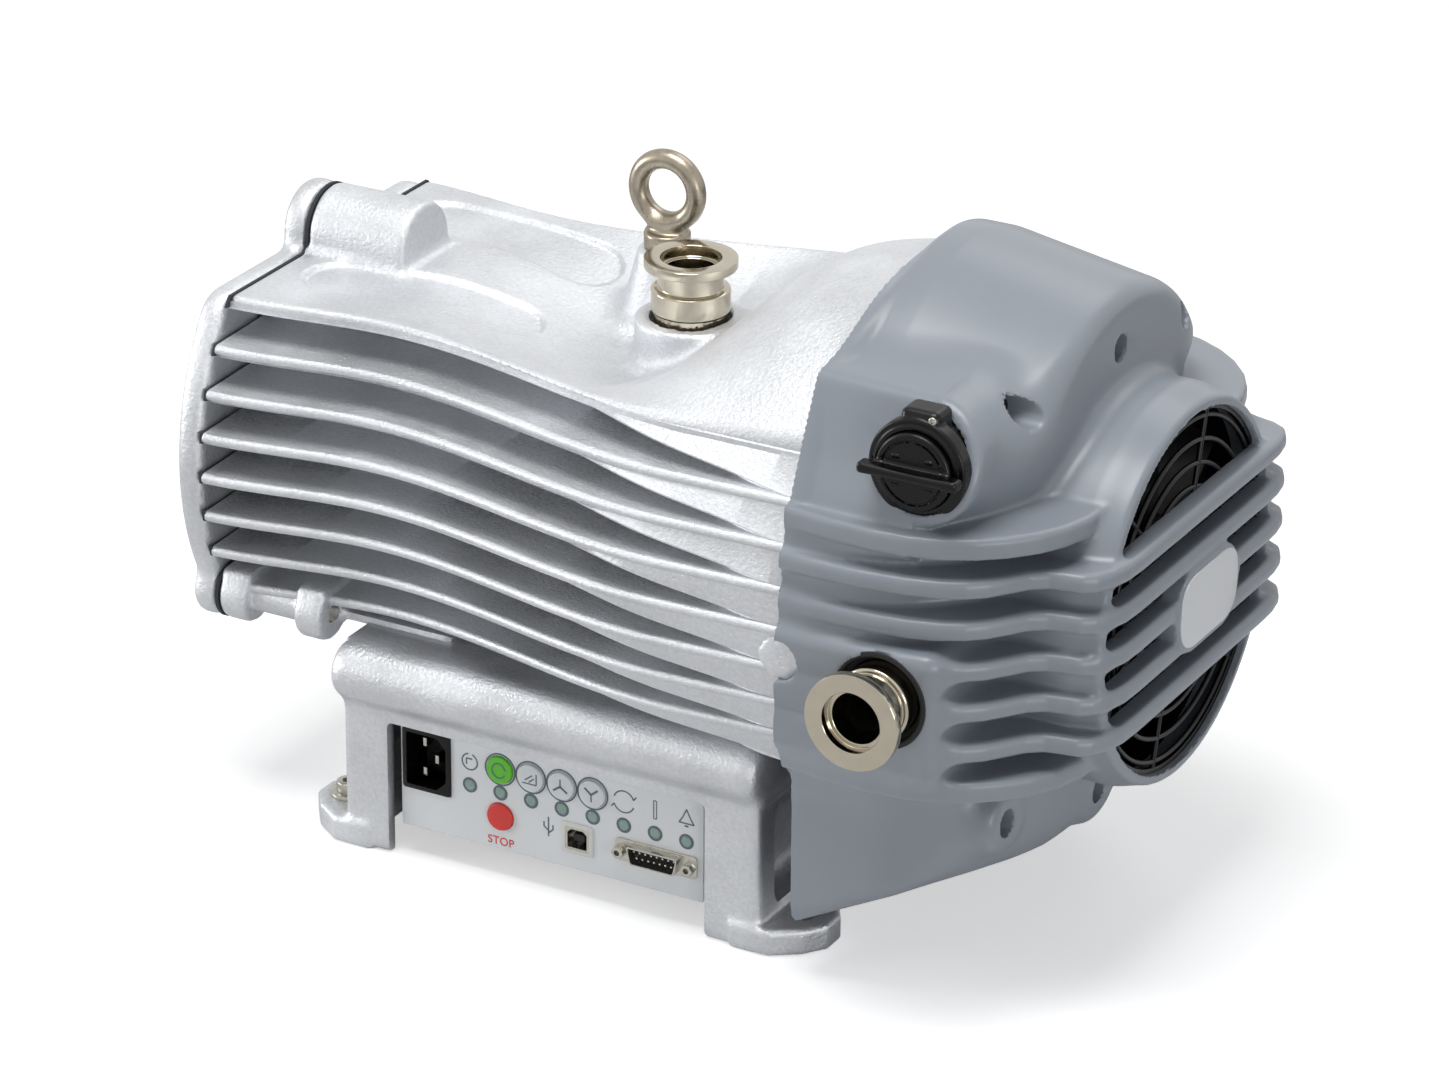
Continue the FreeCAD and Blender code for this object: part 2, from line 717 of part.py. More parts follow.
def lug_tie_rods():
    start = cover_face_x() + 3.0
    rod = cylinder_x(LUG_HOLE - GAP, start, SECOND_LUG_X + LUG_LENGTH, LUG_Y, LUG_Z)
    return Part.makeCompound(both_sides(rod))


# Motor and crankshaft

def bearing(sizes, x_start, y=0.0, z=SHAFT_HEIGHT):
    """Deep-groove ball bearing with its shields, as one ring."""
    bore, outer, width = sizes
    recess = 0.8
    profile = [
        (x_start, bore), (x_start, bore + RING_WALL), (x_start + recess, bore + RING_WALL),
        (x_start + recess, outer - RING_WALL), (x_start, outer - RING_WALL), (x_start, outer),
        (x_start + width, outer), (x_start + width, outer - RING_WALL),
        (x_start + width - recess, outer - RING_WALL), (x_start + width - recess, bore + RING_WALL),
        (x_start + width, bore + RING_WALL), (x_start + width, bore),
    ]
    return revolved_x(profile, y, z)


def bearing_preload_spring():
    return ring_x(REAR_BEARING[1] - GAP, REAR_BEARING[1] - 5.0, REAR_BEARING_X - SPRING_LENGTH, REAR_BEARING_X)


def shaft_seal():
    start = FRONT_BEARING_X + FRONT_BEARING[2]
    return ring_x(FRONT_BEARING[1], FRONT_BEARING[0] + CLOSE, start, start + SEAL_WIDTH)


def motor_stator():
    """Laminated ring with slots that open to the rotor."""
    end = STATOR_START_X + STATOR_LENGTH
    inner = ROTOR_RADIUS + AIR_GAP
    ring = ring_x(STATOR_BORE, inner, STATOR_START_X, end)
    slot = block(STATOR_START_X, end, inner - 1.0, inner + 12.0, SHAFT_HEIGHT - 1.5, SHAFT_HEIGHT + 1.5)
    centre = vec(0, 0, SHAFT_HEIGHT)
    slots = [turned(slot, index * 30.0, centre, vec(1, 0, 0)) for index in range(12)]
    return ring.cut(slots)


def motor_windings():
    rear = STATOR_START_X - WINDING_LENGTH
    front = STATOR_START_X + STATOR_LENGTH
    rings = [ring_x(WINDING_OUTER, WINDING_INNER, x, x + WINDING_LENGTH) for x in (rear, front)]
    return Part.makeCompound(rings)


def motor_rotor():
    return ring_x(ROTOR_RADIUS, ROTOR_SEAT, STATOR_START_X, STATOR_START_X + STATOR_LENGTH)


def crankshaft():
    """Stepped shaft with an offset pin at its front end."""
    bearing_end = FRONT_BEARING_X + FRONT_BEARING[2]
    nose_start = bearing_end + SEAL_WIDTH
    profile = [
        (REAR_BEARING_X, 0.0), (REAR_BEARING_X, REAR_BEARING[0]),
        (REAR_BEARING_X + REAR_BEARING[2], REAR_BEARING[0]),
        (REAR_BEARING_X + REAR_BEARING[2], ROTOR_SEAT - 2.0), (STATOR_START_X, ROTOR_SEAT - 2.0),
        (STATOR_START_X, ROTOR_SEAT), (FRONT_BEARING_X - RING_WALL, ROTOR_SEAT),
        (FRONT_BEARING_X - RING_WALL, ROTOR_SEAT + 0.5), (FRONT_BEARING_X, ROTOR_SEAT + 0.5),
        (FRONT_BEARING_X, FRONT_BEARING[0]), (nose_start, FRONT_BEARING[0]),
        (nose_start, SHAFT_NOSE_RADIUS), (SHAFT_NOSE_END_X, SHAFT_NOSE_RADIUS),
        (SHAFT_NOSE_END_X, 0.0),
    ]
    pin = cylinder_x(ORBIT_BEARING[0], SHAFT_NOSE_END_X - 1.0, PIN_END_X, 0.0, SHAFT_HEIGHT + ORBIT_RADIUS)
    return revolved_x(profile).fuse(pin)


def counterweights():
    """Two half discs opposite the pin: one behind the rotor, one on the nose of the shaft."""
    front = SHAFT_NOSE_END_X - COUNTERWEIGHT_WIDTH
    rear_end = STATOR_START_X - CLOSE
    pieces = []
    for start, width, outer, bore in (
        (front, COUNTERWEIGHT_WIDTH, COUNTERWEIGHT_RADIUS, SHAFT_NOSE_RADIUS),
        (rear_end - 8.0, 8.0, ROTOR_RADIUS, ROTOR_SEAT - 2.0),
    ):
        disc = ring_x(outer, bore, start, start + width)
        sign = -1.0 if start == front else 1.0
        low, high = sorted((SHAFT_HEIGHT - sign * bore * 0.3, SHAFT_HEIGHT - sign * 2.0 * outer))
        pieces.append(disc.cut(block(start, start + width, -outer, outer, low, high)))
    return Part.makeCompound(pieces)


# Scroll pair

def spiral(wall, x_start, x_end, half_turns):
    """Wall that winds outwards in half circles about two centres, half a pitch apart."""
    half_pitch = WRAP_PITCH / 2.0
    pieces = []
    for index in range(half_turns):
        sign = 1.0 if index % 2 == 0 else -1.0
        centre_y = -sign * half_pitch / 2.0
        radius = WRAP_START_RADIUS + index * half_pitch
        outer = radius + wall / 2.0
        ring = ring_x(outer, radius - wall / 2.0, x_start, x_end, centre_y)
        low, high = sorted((SHAFT_HEIGHT, SHAFT_HEIGHT - sign * 2.0 * outer))
        half = block(x_start, x_end, centre_y - 2.0 * outer, centre_y + 2.0 * outer, low, high)
        pieces.append(ring.cut(half))
    return pieces[0].multiFuse(pieces[1:]).removeSplitter()


def about_shaft(shape):
    return turned(shape, 180.0, vec(0, 0, SHAFT_HEIGHT), vec(1, 0, 0))


def orbit_face_x():
    """Front face of the orbiting plate."""
    return scroll_face_x() - WRAP_HEIGHT - WRAP_TIP_GAP


def fixed_scroll():
    face = scroll_face_x()
    tip = face - WRAP_HEIGHT
    plate = cylinder_x(FIXED_PLATE_RADIUS, face, HOUSING_FRONT_X)
    wrap = spiral(WRAP_WALL, tip, face, WRAP_HALF_TURNS)
    groove = spiral(TIP_SEAL_WIDTH, tip, tip + TIP_SEAL_DEPTH, WRAP_HALF_TURNS)
    body = plate.multiFuse([wrap] + scroll_fins())
    holes = [cylinder_x(DISCHARGE_BORE, face, HOUSING_FRONT_X), groove] + scroll_screw_holes(SCREW_SHANK)
    return body.cut(holes + ballast_duct())


def ballast_duct():
    """Drillings that lead the gas ballast from its pipe into the scroll's outer turns."""
    radius = PIPE_DRILLING
    depth = scroll_face_x() + FIXED_PLATE_THICKNESS / 2.0
    return [
        cylinder_x(PIPE_BORE, depth, HOUSING_FRONT_X, PIPE_Y, BALLAST_Z),
        cylinder_z(radius, DUCT_END_Z, BALLAST_Z, depth, PIPE_Y),
        cylinder_x(radius, scroll_face_x(), depth, PIPE_Y, DUCT_END_Z),
    ]


def scroll_fins():
    """Upright cooling fins on the back of the fixed plate, clear of the outlet in the middle."""
    start = HOUSING_FRONT_X
    end = start + SCROLL_FIN_HEIGHT
    disc = cylinder_x(SCROLL_SCREW_CIRCLE - 8.0, start, end)
    disc = disc.cut(cylinder_x(MANIFOLD_RADIUS + 6.0, start, end))
    first = -SCROLL_FIN_PITCH * (SCROLL_FIN_COUNT - 1) / 2.0
    plates = []
    for index in range(SCROLL_FIN_COUNT):
        y = first + index * SCROLL_FIN_PITCH
        plates.append(block(start, end, y - SCROLL_FIN_WALL / 2.0, y + SCROLL_FIN_WALL / 2.0,
                            0.0, THROUGH_REACH))
    return [disc.common(plate) for plate in plates]


def scroll_screw_places():
    return on_circle(SCROLL_SCREW_COUNT, SCROLL_SCREW_CIRCLE, 0.0)


def scroll_screw_holes(radius):
    start = scroll_face_x() - SCREW_LENGTH - 2.0
    return [cylinder_x(radius, start, HOUSING_FRONT_X, y, z) for y, z in scroll_screw_places()]


def fixed_scroll_screws():
    screws = []
    for y, z in scroll_screw_places():
        head = cylinder_x(SCREW_HEAD, HOUSING_FRONT_X, HOUSING_FRONT_X + SCREW_HEAD, y, z)
        shank = cylinder_x(SCREW_SHANK, scroll_face_x() - SCREW_LENGTH, HOUSING_FRONT_X, y, z)
        screws.append(head.fuse(shank))
    return Part.makeCompound(screws)


def fixed_tip_seal():
    tip = scroll_face_x() - WRAP_HEIGHT
    out = tip - WRAP_TIP_GAP + TIP_SEAL_GAP
    return spiral(TIP_SEAL_WIDTH, out, tip + TIP_SEAL_DEPTH, WRAP_HALF_TURNS)


def orbiting_scroll():
    face = orbit_face_x()
    back = face - ORBIT_PLATE_THICKNESS
    tip = face + WRAP_HEIGHT
    plate = cylinder_x(ORBIT_PLATE_RADIUS, back, face)
    hub = cylinder_x(HUB_RADIUS, back - HUB_LENGTH, back)
    wrap = about_shaft(spiral(WRAP_WALL, face, tip, WRAP_HALF_TURNS))
    groove = about_shaft(spiral(TIP_SEAL_WIDTH, tip - TIP_SEAL_DEPTH, tip, WRAP_HALF_TURNS))
    seat = cylinder_x(ORBIT_BEARING[1], back - HUB_LENGTH, back)
    body = plate.multiFuse([hub, wrap]).cut([seat, groove])
    return moved(body, z=ORBIT_RADIUS)


def orbiting_tip_seal():
    tip = orbit_face_x() + WRAP_HEIGHT
    out = tip + WRAP_TIP_GAP - TIP_SEAL_GAP
    seal = about_shaft(spiral(TIP_SEAL_WIDTH, tip - TIP_SEAL_DEPTH, out, WRAP_HALF_TURNS))
    return moved(seal, z=ORBIT_RADIUS)


def orbit_bearing():
    start = PIN_END_X - ORBIT_BEARING[2] - 1.0
    return bearing(ORBIT_BEARING, start, 0.0, SHAFT_HEIGHT + ORBIT_RADIUS)


def bellows():
    """Folded sleeve that keeps the orbiting scroll from turning and closes the vacuum side."""
    start = WEB_FRONT_X
    end = orbit_face_x() - ORBIT_PLATE_THICKNESS
    length = end - start - 2.0 * BELLOWS_RING
    step = length / (2.0 * BELLOWS_FOLDS)
    outside = []
    for index in range(2 * BELLOWS_FOLDS + 1):
        radius = BELLOWS_INNER if index % 2 == 0 else BELLOWS_OUTER
        outside.append((start + BELLOWS_RING + index * step, radius))
    inside = [(x, radius - BELLOWS_WALL) for x, radius in reversed(outside)]
    first = [(start, BELLOWS_INNER - BELLOWS_WALL), (start, BELLOWS_INNER)]
    last = [(end, BELLOWS_INNER), (end, BELLOWS_INNER - BELLOWS_WALL)]
    return revolved_x(first + outside + last + inside)


# Vacuum fittings

def inlet_flange():
    """Inlet tube: flange rim on top, narrow neck, thick collar in the boss."""
    rim_bottom = INLET_TOP - FLANGE_RIM
    profile = [
        (TUBE_BORE, INLET_SEAT), (COLLAR_RADIUS, INLET_SEAT), (COLLAR_RADIUS, INLET_COLLAR_TOP - 1.0),
        (COLLAR_RADIUS - 1.0, INLET_COLLAR_TOP), (TUBE_RADIUS, INLET_COLLAR_TOP),
        (TUBE_RADIUS, rim_bottom - FLANGE_TAPER * 0.5), (FLANGE_RADIUS, rim_bottom),
        (FLANGE_RADIUS, INLET_TOP), (FLANGE_RECESS_RADIUS, INLET_TOP),
        (FLANGE_RECESS_RADIUS, INLET_TOP - FLANGE_RECESS_DEPTH),
        (TUBE_BORE, INLET_TOP - FLANGE_RECESS_DEPTH),
    ]
    return revolved_z(profile, INLET_X, 0.0)


def inlet_seal():
    thickness = SEAL_RING_RADIUS - COLLAR_RADIUS
    outer = cylinder_z(SEAL_RING_RADIUS, INLET_SEAT, INLET_SEAT + thickness, INLET_X, 0.0)
    return outer.cut(cylinder_z(COLLAR_RADIUS, INLET_SEAT, INLET_SEAT + thickness, INLET_X, 0.0))


def inlet_strainer():
    """Cup that catches particles, held between the tube and the boss."""
    wall = 0.8
    depth = 12.0
    radius = TUBE_BORE - 1.0
    cup = cylinder_z(INLET_BORE - CLOSE, INLET_SEAT - wall, INLET_SEAT, INLET_X, 0.0)
    cup = cup.fuse(cylinder_z(radius, INLET_SEAT - depth, INLET_SEAT - wall, INLET_X, 0.0))
    cup = cup.cut(cylinder_z(radius - wall, INLET_SEAT - depth + wall, INLET_SEAT, INLET_X, 0.0))
    holes = []
    for column in range(-1, 2):
        for row in range(-1, 2):
            holes.append(cylinder_z(1.6, INLET_SEAT - depth, INLET_SEAT, INLET_X + column * 5.0, row * 5.0))
    return cup.cut(holes)


def lifting_eye():
    """Ring on a round collar with a threaded shank."""
    collar_top = EYE_SEAT + EYE_COLLAR_HEIGHT
    centre_z = collar_top + EYE_RING_RADIUS + EYE_SECTION - 3.0
    ring = Part.makeTorus(EYE_RING_RADIUS, EYE_SECTION, vec(EYE_X, EYE_Y, centre_z), vec(0, 1, 0))
    collar = cylinder_z(EYE_COLLAR_RADIUS, EYE_SEAT, collar_top, EYE_X, EYE_Y)
    shank = cylinder_z(EYE_SHANK, EYE_SEAT - EYE_SHANK_LENGTH, EYE_SEAT, EYE_X, EYE_Y)
    return collar.multiFuse([ring, shank])


def exhaust_flange():
    """Outlet tube through the cowl's side, with its flange rim outside."""
    rim_end = EXHAUST_FACE_Y + FLANGE_RIM
    collar_start = rim_end + 14.0
    profile = [
        (TUBE_BORE, EXHAUST_SEAT_Y), (COLLAR_RADIUS, EXHAUST_SEAT_Y), (COLLAR_RADIUS, collar_start + 1.0),
        (COLLAR_RADIUS - 1.0, collar_start), (TUBE_RADIUS, collar_start),
        (TUBE_RADIUS, rim_end + FLANGE_TAPER * 0.5), (FLANGE_RADIUS, rim_end),
        (FLANGE_RADIUS, EXHAUST_FACE_Y), (FLANGE_RECESS_RADIUS, EXHAUST_FACE_Y),
        (FLANGE_RECESS_RADIUS, EXHAUST_FACE_Y + FLANGE_RECESS_DEPTH),
        (TUBE_BORE, EXHAUST_FACE_Y + FLANGE_RECESS_DEPTH),
    ]
    return revolved_y(profile, EXHAUST_X, EXHAUST_Z)


def exhaust_manifold():
    """Elbow from the fixed scroll's outlet to the side of the cowl, with the valve chamber."""
    start = HOUSING_FRONT_X
    body = cylinder_x(MANIFOLD_RADIUS, start, MANIFOLD_END_X)
    branch = cylinder_y(MANIFOLD_RADIUS - 2.0, EXHAUST_SEAT_Y, 0.0, EXHAUST_X, EXHAUST_Z)
    chamber = cylinder_x(MANIFOLD_BORE, start, MANIFOLD_END_X - 5.0)
    outlet = cylinder_y(TUBE_BORE, EXHAUST_SEAT_Y, 0.0, EXHAUST_X, EXHAUST_Z)
    guide = cylinder_x(VALVE_SPRING_RADIUS + 0.5, start + 26.0, MANIFOLD_END_X - 5.0)
    guide = guide.cut(cylinder_x(VALVE_STEM + GAP, start + 26.0, MANIFOLD_END_X - 5.0))
    return body.fuse(branch).cut([chamber, outlet]).fuse(guide)


def exhaust_valve():
    start = HOUSING_FRONT_X + GAP
    head = cylinder_x(VALVE_RADIUS, start, start + VALVE_THICKNESS)
    stem = cylinder_x(VALVE_STEM, start, start + 32.0)
    return head.fuse(stem)


def exhaust_valve_spring():
    """Light closing spring behind the valve, as stacked turns on two side bars."""
    start = HOUSING_FRONT_X + GAP + VALVE_THICKNESS
    end = HOUSING_FRONT_X + 26.0
    radius = VALVE_SPRING_RADIUS
    turns = []
    for index in range(VALVE_SPRING_TURNS + 1):
        x = start + (end - start - 2.0 * VALVE_SPRING_WIRE) * index / VALVE_SPRING_TURNS
        turns.append(ring_x(radius, radius - 2.0 * VALVE_SPRING_WIRE, x, x + 2.0 * VALVE_SPRING_WIRE))
    inner = radius - 2.0 * VALVE_SPRING_WIRE
    for side in (-1.0, 1.0):
        low, high = sorted((side * (inner + 0.2), side * (radius - 0.2)))
        turns.append(block(start, end, low, high, SHAFT_HEIGHT - 0.5, SHAFT_HEIGHT + 0.5))
    return turns[0].multiFuse(turns[1:])


def exhaust_grommet():
    """Black ring round the outlet tube on the cowl's side."""
    face = cowl_side_y()
    outer = cylinder_y(GROMMET_RADIUS, face - GROMMET_HEIGHT, face, EXHAUST_X, EXHAUST_Z)
    neck = cylinder_y(GROMMET_RADIUS - 2.0, face, face + COWL_WALL, EXHAUST_X, EXHAUST_Z)
    bore = cylinder_y(COLLAR_RADIUS + CLOSE, face - GROMMET_HEIGHT, face + COWL_WALL, EXHAUST_X, EXHAUST_Z)
    return outer.fuse(neck).cut(bore)


# Gas ballast control

def gas_ballast_body():
    """Round body with a tab above and below, a seat for the knob and a spigot for the pipe."""
    face = BALLAST_FACE_Y
    body = cylinder_y(BALLAST_RADIUS, face, face + BALLAST_DEPTH, BALLAST_X, BALLAST_Z)
    half = BALLAST_TAB_WIDTH / 2.0
    tab = block(BALLAST_X - half, BALLAST_X + half, POD_FACE_Y - BALLAST_TAB_THICKNESS, POD_FACE_Y,
                BALLAST_Z - BALLAST_TAB_REACH, BALLAST_Z + BALLAST_TAB_REACH)
    seat = cylinder_y(KNOB_RADIUS + GAP, face, face + KNOB_SEAT_DEPTH, BALLAST_X, BALLAST_Z)
    spindle = cylinder_y(3.0, face, face + 14.0, BALLAST_X, BALLAST_Z)
    duct = cylinder_y(PIPE_BORE, face + 14.0, face + BALLAST_DEPTH, BALLAST_X, BALLAST_Z)
    return body.fuse(tab).cut([seat, spindle, duct] + ballast_screw_holes())


def ballast_screw_places():
    reach = BALLAST_TAB_REACH - 3.6
    side = BALLAST_TAB_WIDTH / 2.0 - 3.0
    return [(BALLAST_X + side, BALLAST_Z + reach), (BALLAST_X - side, BALLAST_Z - reach),
            (BALLAST_X + side, BALLAST_Z - reach)]


def ballast_screw_holes():
    tab_face = POD_FACE_Y - BALLAST_TAB_THICKNESS
    return [cylinder_y(BALLAST_SCREW_RADIUS, tab_face, POD_FACE_Y, x, z) for x, z in ballast_screw_places()]


def gas_ballast_screws():
    tab_face = POD_FACE_Y - BALLAST_TAB_THICKNESS
    screws = []
    for x, z in ballast_screw_places():
        head = cylinder_y(BALLAST_SCREW_RADIUS + 1.0, tab_face - BALLAST_SCREW_HEAD, tab_face, x, z)
        screws.append(head.fuse(cylinder_y(BALLAST_SCREW_RADIUS, tab_face, POD_FACE_Y, x, z)))
    return Part.makeCompound(screws)


def gas_ballast_knob():
    """Disc with a grip bar across it and a spindle behind."""
    face = BALLAST_FACE_Y
    disc = cylinder_y(KNOB_RADIUS, face - KNOB_PROUD, face + KNOB_SEAT_DEPTH - GAP, BALLAST_X, BALLAST_Z)
    grip = block(BALLAST_X - GRIP_LENGTH / 2.0, BALLAST_X + GRIP_LENGTH / 2.0,
                 face - KNOB_PROUD - GRIP_HEIGHT, face - KNOB_PROUD,
                 BALLAST_Z - GRIP_WIDTH / 2.0, BALLAST_Z + GRIP_WIDTH / 2.0)
    spindle = cylinder_y(3.0 - GAP, face, face + 13.0, BALLAST_X, BALLAST_Z)
    return disc.multiFuse([grip, spindle])


def gas_ballast_pipe():
    """Bent pipe from the control to the fixed scroll's plate."""
    z = BALLAST_Z
    start_y = BALLAST_FACE_Y + BALLAST_DEPTH
    corner = vec(BALLAST_X, PIPE_Y, z)
    bend_start = corner + vec(0, -PIPE_BEND, 0)
    bend_end = corner + vec(-PIPE_BEND, 0, 0)
    middle_shift = PIPE_BEND * (1.0 - math.cos(math.radians(45.0)))
    middle = corner + vec(-middle_shift, -middle_shift, 0)
    path = Part.Wire([
        Part.LineSegment(vec(BALLAST_X, start_y, z), bend_start).toShape(),
        Part.Arc(bend_start, middle, bend_end).toShape(),
        Part.LineSegment(bend_end, vec(HOUSING_FRONT_X, PIPE_Y, z)).toShape(),
    ])
    solids = []
    for radius in (PIPE_RADIUS, PIPE_BORE):
        circle = Part.Wire(Part.makeCircle(radius, vec(BALLAST_X, start_y, z), vec(0, 1, 0)))
        solids.append(path.makePipeShell([circle], True, False))
    return solids[0].cut(solids[1])


# Cowl

def cowl_side_y():
    """Face of the flat pad round the exhaust."""
    return -(COWL_HALF_WIDTH - 2.0)


def hood_size(x):
    """Half width, crown height and depth below the shaft line of the hood, and how boxy its lower half is."""
    along = (x - COWL_REAR_X) / (COWL_SHOULDER_X - COWL_REAR_X)
    swell = smooth((x - COWL_REAR_X) / (COWL_CROWN_X - COWL_REAR_X))
    round_over = max((along - 0.8) / 0.2, 0.0)
    inward = SHOULDER_ROUND * (1.0 - math.sqrt(max(1.0 - round_over ** 2, 0.0)))
    crown = COWL_REAR_TOP + (COWL_CROWN - COWL_REAR_TOP) * swell - 10.0 * max(along - 0.25, 0.0)
    skirt = COWL_SKIRT + (COWL_BELLY - COWL_SKIRT) * along
    box_power = 0.36 + 0.45 * along
    return COWL_HALF_WIDTH - COWL_NARROWING * along - inward, crown - inward, skirt - inward, box_power


def hood_section(x, wall):
    """Closed outline: a slightly squared dome above the shaft line, a boxy skirt below it."""
    half_width, crown, skirt, box_power = hood_size(x)
    dome_power = 0.9
    points = []
    for index in range(24):
        angle = math.radians(index * 15.0)
        across, up = math.cos(angle), math.sin(angle)
        power = dome_power if up > 0.0 else box_power
        height = crown if up > 0.0 else skirt
        across = math.copysign(abs(across) ** power, across)
        up = math.copysign(abs(up) ** power, up)
        points.append(vec(x, (half_width - wall) * across, SHAFT_HEIGHT + (height - wall) * up))
    curve = Part.BSplineCurve()
    curve.interpolate(points, True)
    return Part.Wire(curve.toShape())


def hood(wall, end_inset):
    shares = (0.0, 0.12, 0.24, 0.5, 0.8, 0.9, 0.97)
    end = COWL_SHOULDER_X - end_inset
    stations = [COWL_REAR_X + (end - COWL_REAR_X) * share for share in shares]
    return Part.makeLoft([hood_section(x, wall) for x in stations], True, False)


def side_outline():
    """Plan of the fan bars on one side: along the hood, then in round the snout to the front."""
    rear = COWL_HALF_WIDTH - 0.5
    return [
        (COWL_REAR_X, rear), (160.0, rear - 2.5), (198.0, rear - 7.5), (214.0, 111.0),
        (227.0, 95.0), (240.0, 88.0), (248.0, 81.0), (BAR_FRONT_X, 66.0),
    ]


def fan_bar(z):
    """One bar: it runs along both sides of the hood and across in front of the fan."""
    side = side_outline()
    left = spline([(x, -y, z) for x, y in side])
    right = spline([(x, y, z) for x, y in reversed(side)])
    rear_x, rear_y = side[0]
    front_x, front_y = side[-1]
    across = Part.makeLine(vec(front_x, -front_y, z), vec(front_x, front_y, z))
    back = Part.makeLine(vec(rear_x, rear_y, z), vec(rear_x, -rear_y, z))
    return extrude([left, across, right, back], vec(0, 0, BAR_THICKNESS))


def fan_bars():
    first = SHAFT_HEIGHT - BAR_PITCH * (BAR_COUNT - 1) / 2.0 - BAR_THICKNESS / 2.0
    return [fan_bar(first + index * BAR_PITCH) for index in range(BAR_COUNT)]


def wings(z):
    """Shelf along both sides above or below the fan bars."""
    rear = COWL_HALF_WIDTH
    outer = [(COWL_REAR_X, rear), (169.0, rear - 2.0), (194.0, rear - 6.0),
             (210.0, 117.0), (225.0, 101.0), (WING_END_X, 78.0)]
    inner = SNOUT_RADIUS * 0.6
    edge = spline([(x, y, z) for x, y in outer])
    corners = [vec(WING_END_X, 78.0, z), vec(WING_END_X, inner, z), vec(COWL_REAR_X, inner, z),
               vec(COWL_REAR_X, rear, z)]
    lines = [Part.makeLine(corners[index], corners[index + 1]) for index in range(3)]
    return both_sides(extrude([edge] + lines, vec(0, 0, WING_THICKNESS)))


def side_pockets(inset):
    """Room that the hood's sides leave between the fan bars, where the wall dives in to the snout."""
    reach = COWL_HALF_WIDTH + 10.0
    start = POCKET_REAR_X - inset
    low = SHAFT_HEIGHT - WING_OFFSET - inset
    outline = [(start, reach), (start, COWL_HALF_WIDTH - 9.0 - inset), (202.0 - inset, 104.0 - inset),
               (COWL_SHOULDER_X + 8.0, SNOUT_RADIUS - 4.0 - inset), (COWL_SHOULDER_X + 8.0, reach)]
    pocket = polygon_prism([(x, y, low) for x, y in outline], vec(0, 0, 2.0 * (WING_OFFSET + inset)))
    return both_sides(pocket)


def ballast_pod(inset):
    """Corner box beside the dome that carries the gas ballast control."""
    face = POD_FACE_Y + inset
    box = block(COWL_REAR_X + inset, BALLAST_X, face, -70.0, POD_BOTTOM + inset, POD_TOP - inset)
    end = cylinder_y(POD_ROUND - inset, face, -70.0, BALLAST_X, BALLAST_Z)
    return box.fuse(end)


def cowl_screw_places():
    """Places (y, z) of the long screws that hold the cowl from the front."""
    low = [(side * COWL_SCREW_BOTTOM_Y, COWL_SCREW_BOTTOM_Z) for side in (-1, 1)]
    return [COWL_SCREW_TOP_LEFT, COWL_SCREW_TOP_MIDDLE, COWL_SCREW_TOP_RIGHT, (0.0, COWL_SCREW_LOWEST_Z)] + low


def ballast_seat(grow, y_start, y_end):
    """Block behind or in front of the flat that the gas ballast control is screwed to."""
    half = BALLAST_TAB_WIDTH / 2.0 + grow
    reach = BALLAST_TAB_REACH + grow
    return block(BALLAST_X - half, BALLAST_X + half, y_start, y_end, BALLAST_Z - reach, BALLAST_Z + reach)


def badge_outline(margin, x_start, x_end):
    radius = BADGE_HALF_HEIGHT + margin
    straight = BADGE_HALF_WIDTH - BADGE_HALF_HEIGHT
    left, right = BADGE_Y - straight, BADGE_Y + straight
    plate = block(x_start, x_end, left, right, BADGE_Z - radius, BADGE_Z + radius)
    ends = [cylinder_x(radius, x_start, x_end, y, BADGE_Z) for y in (left, right)]
    return fused([plate] + ends)


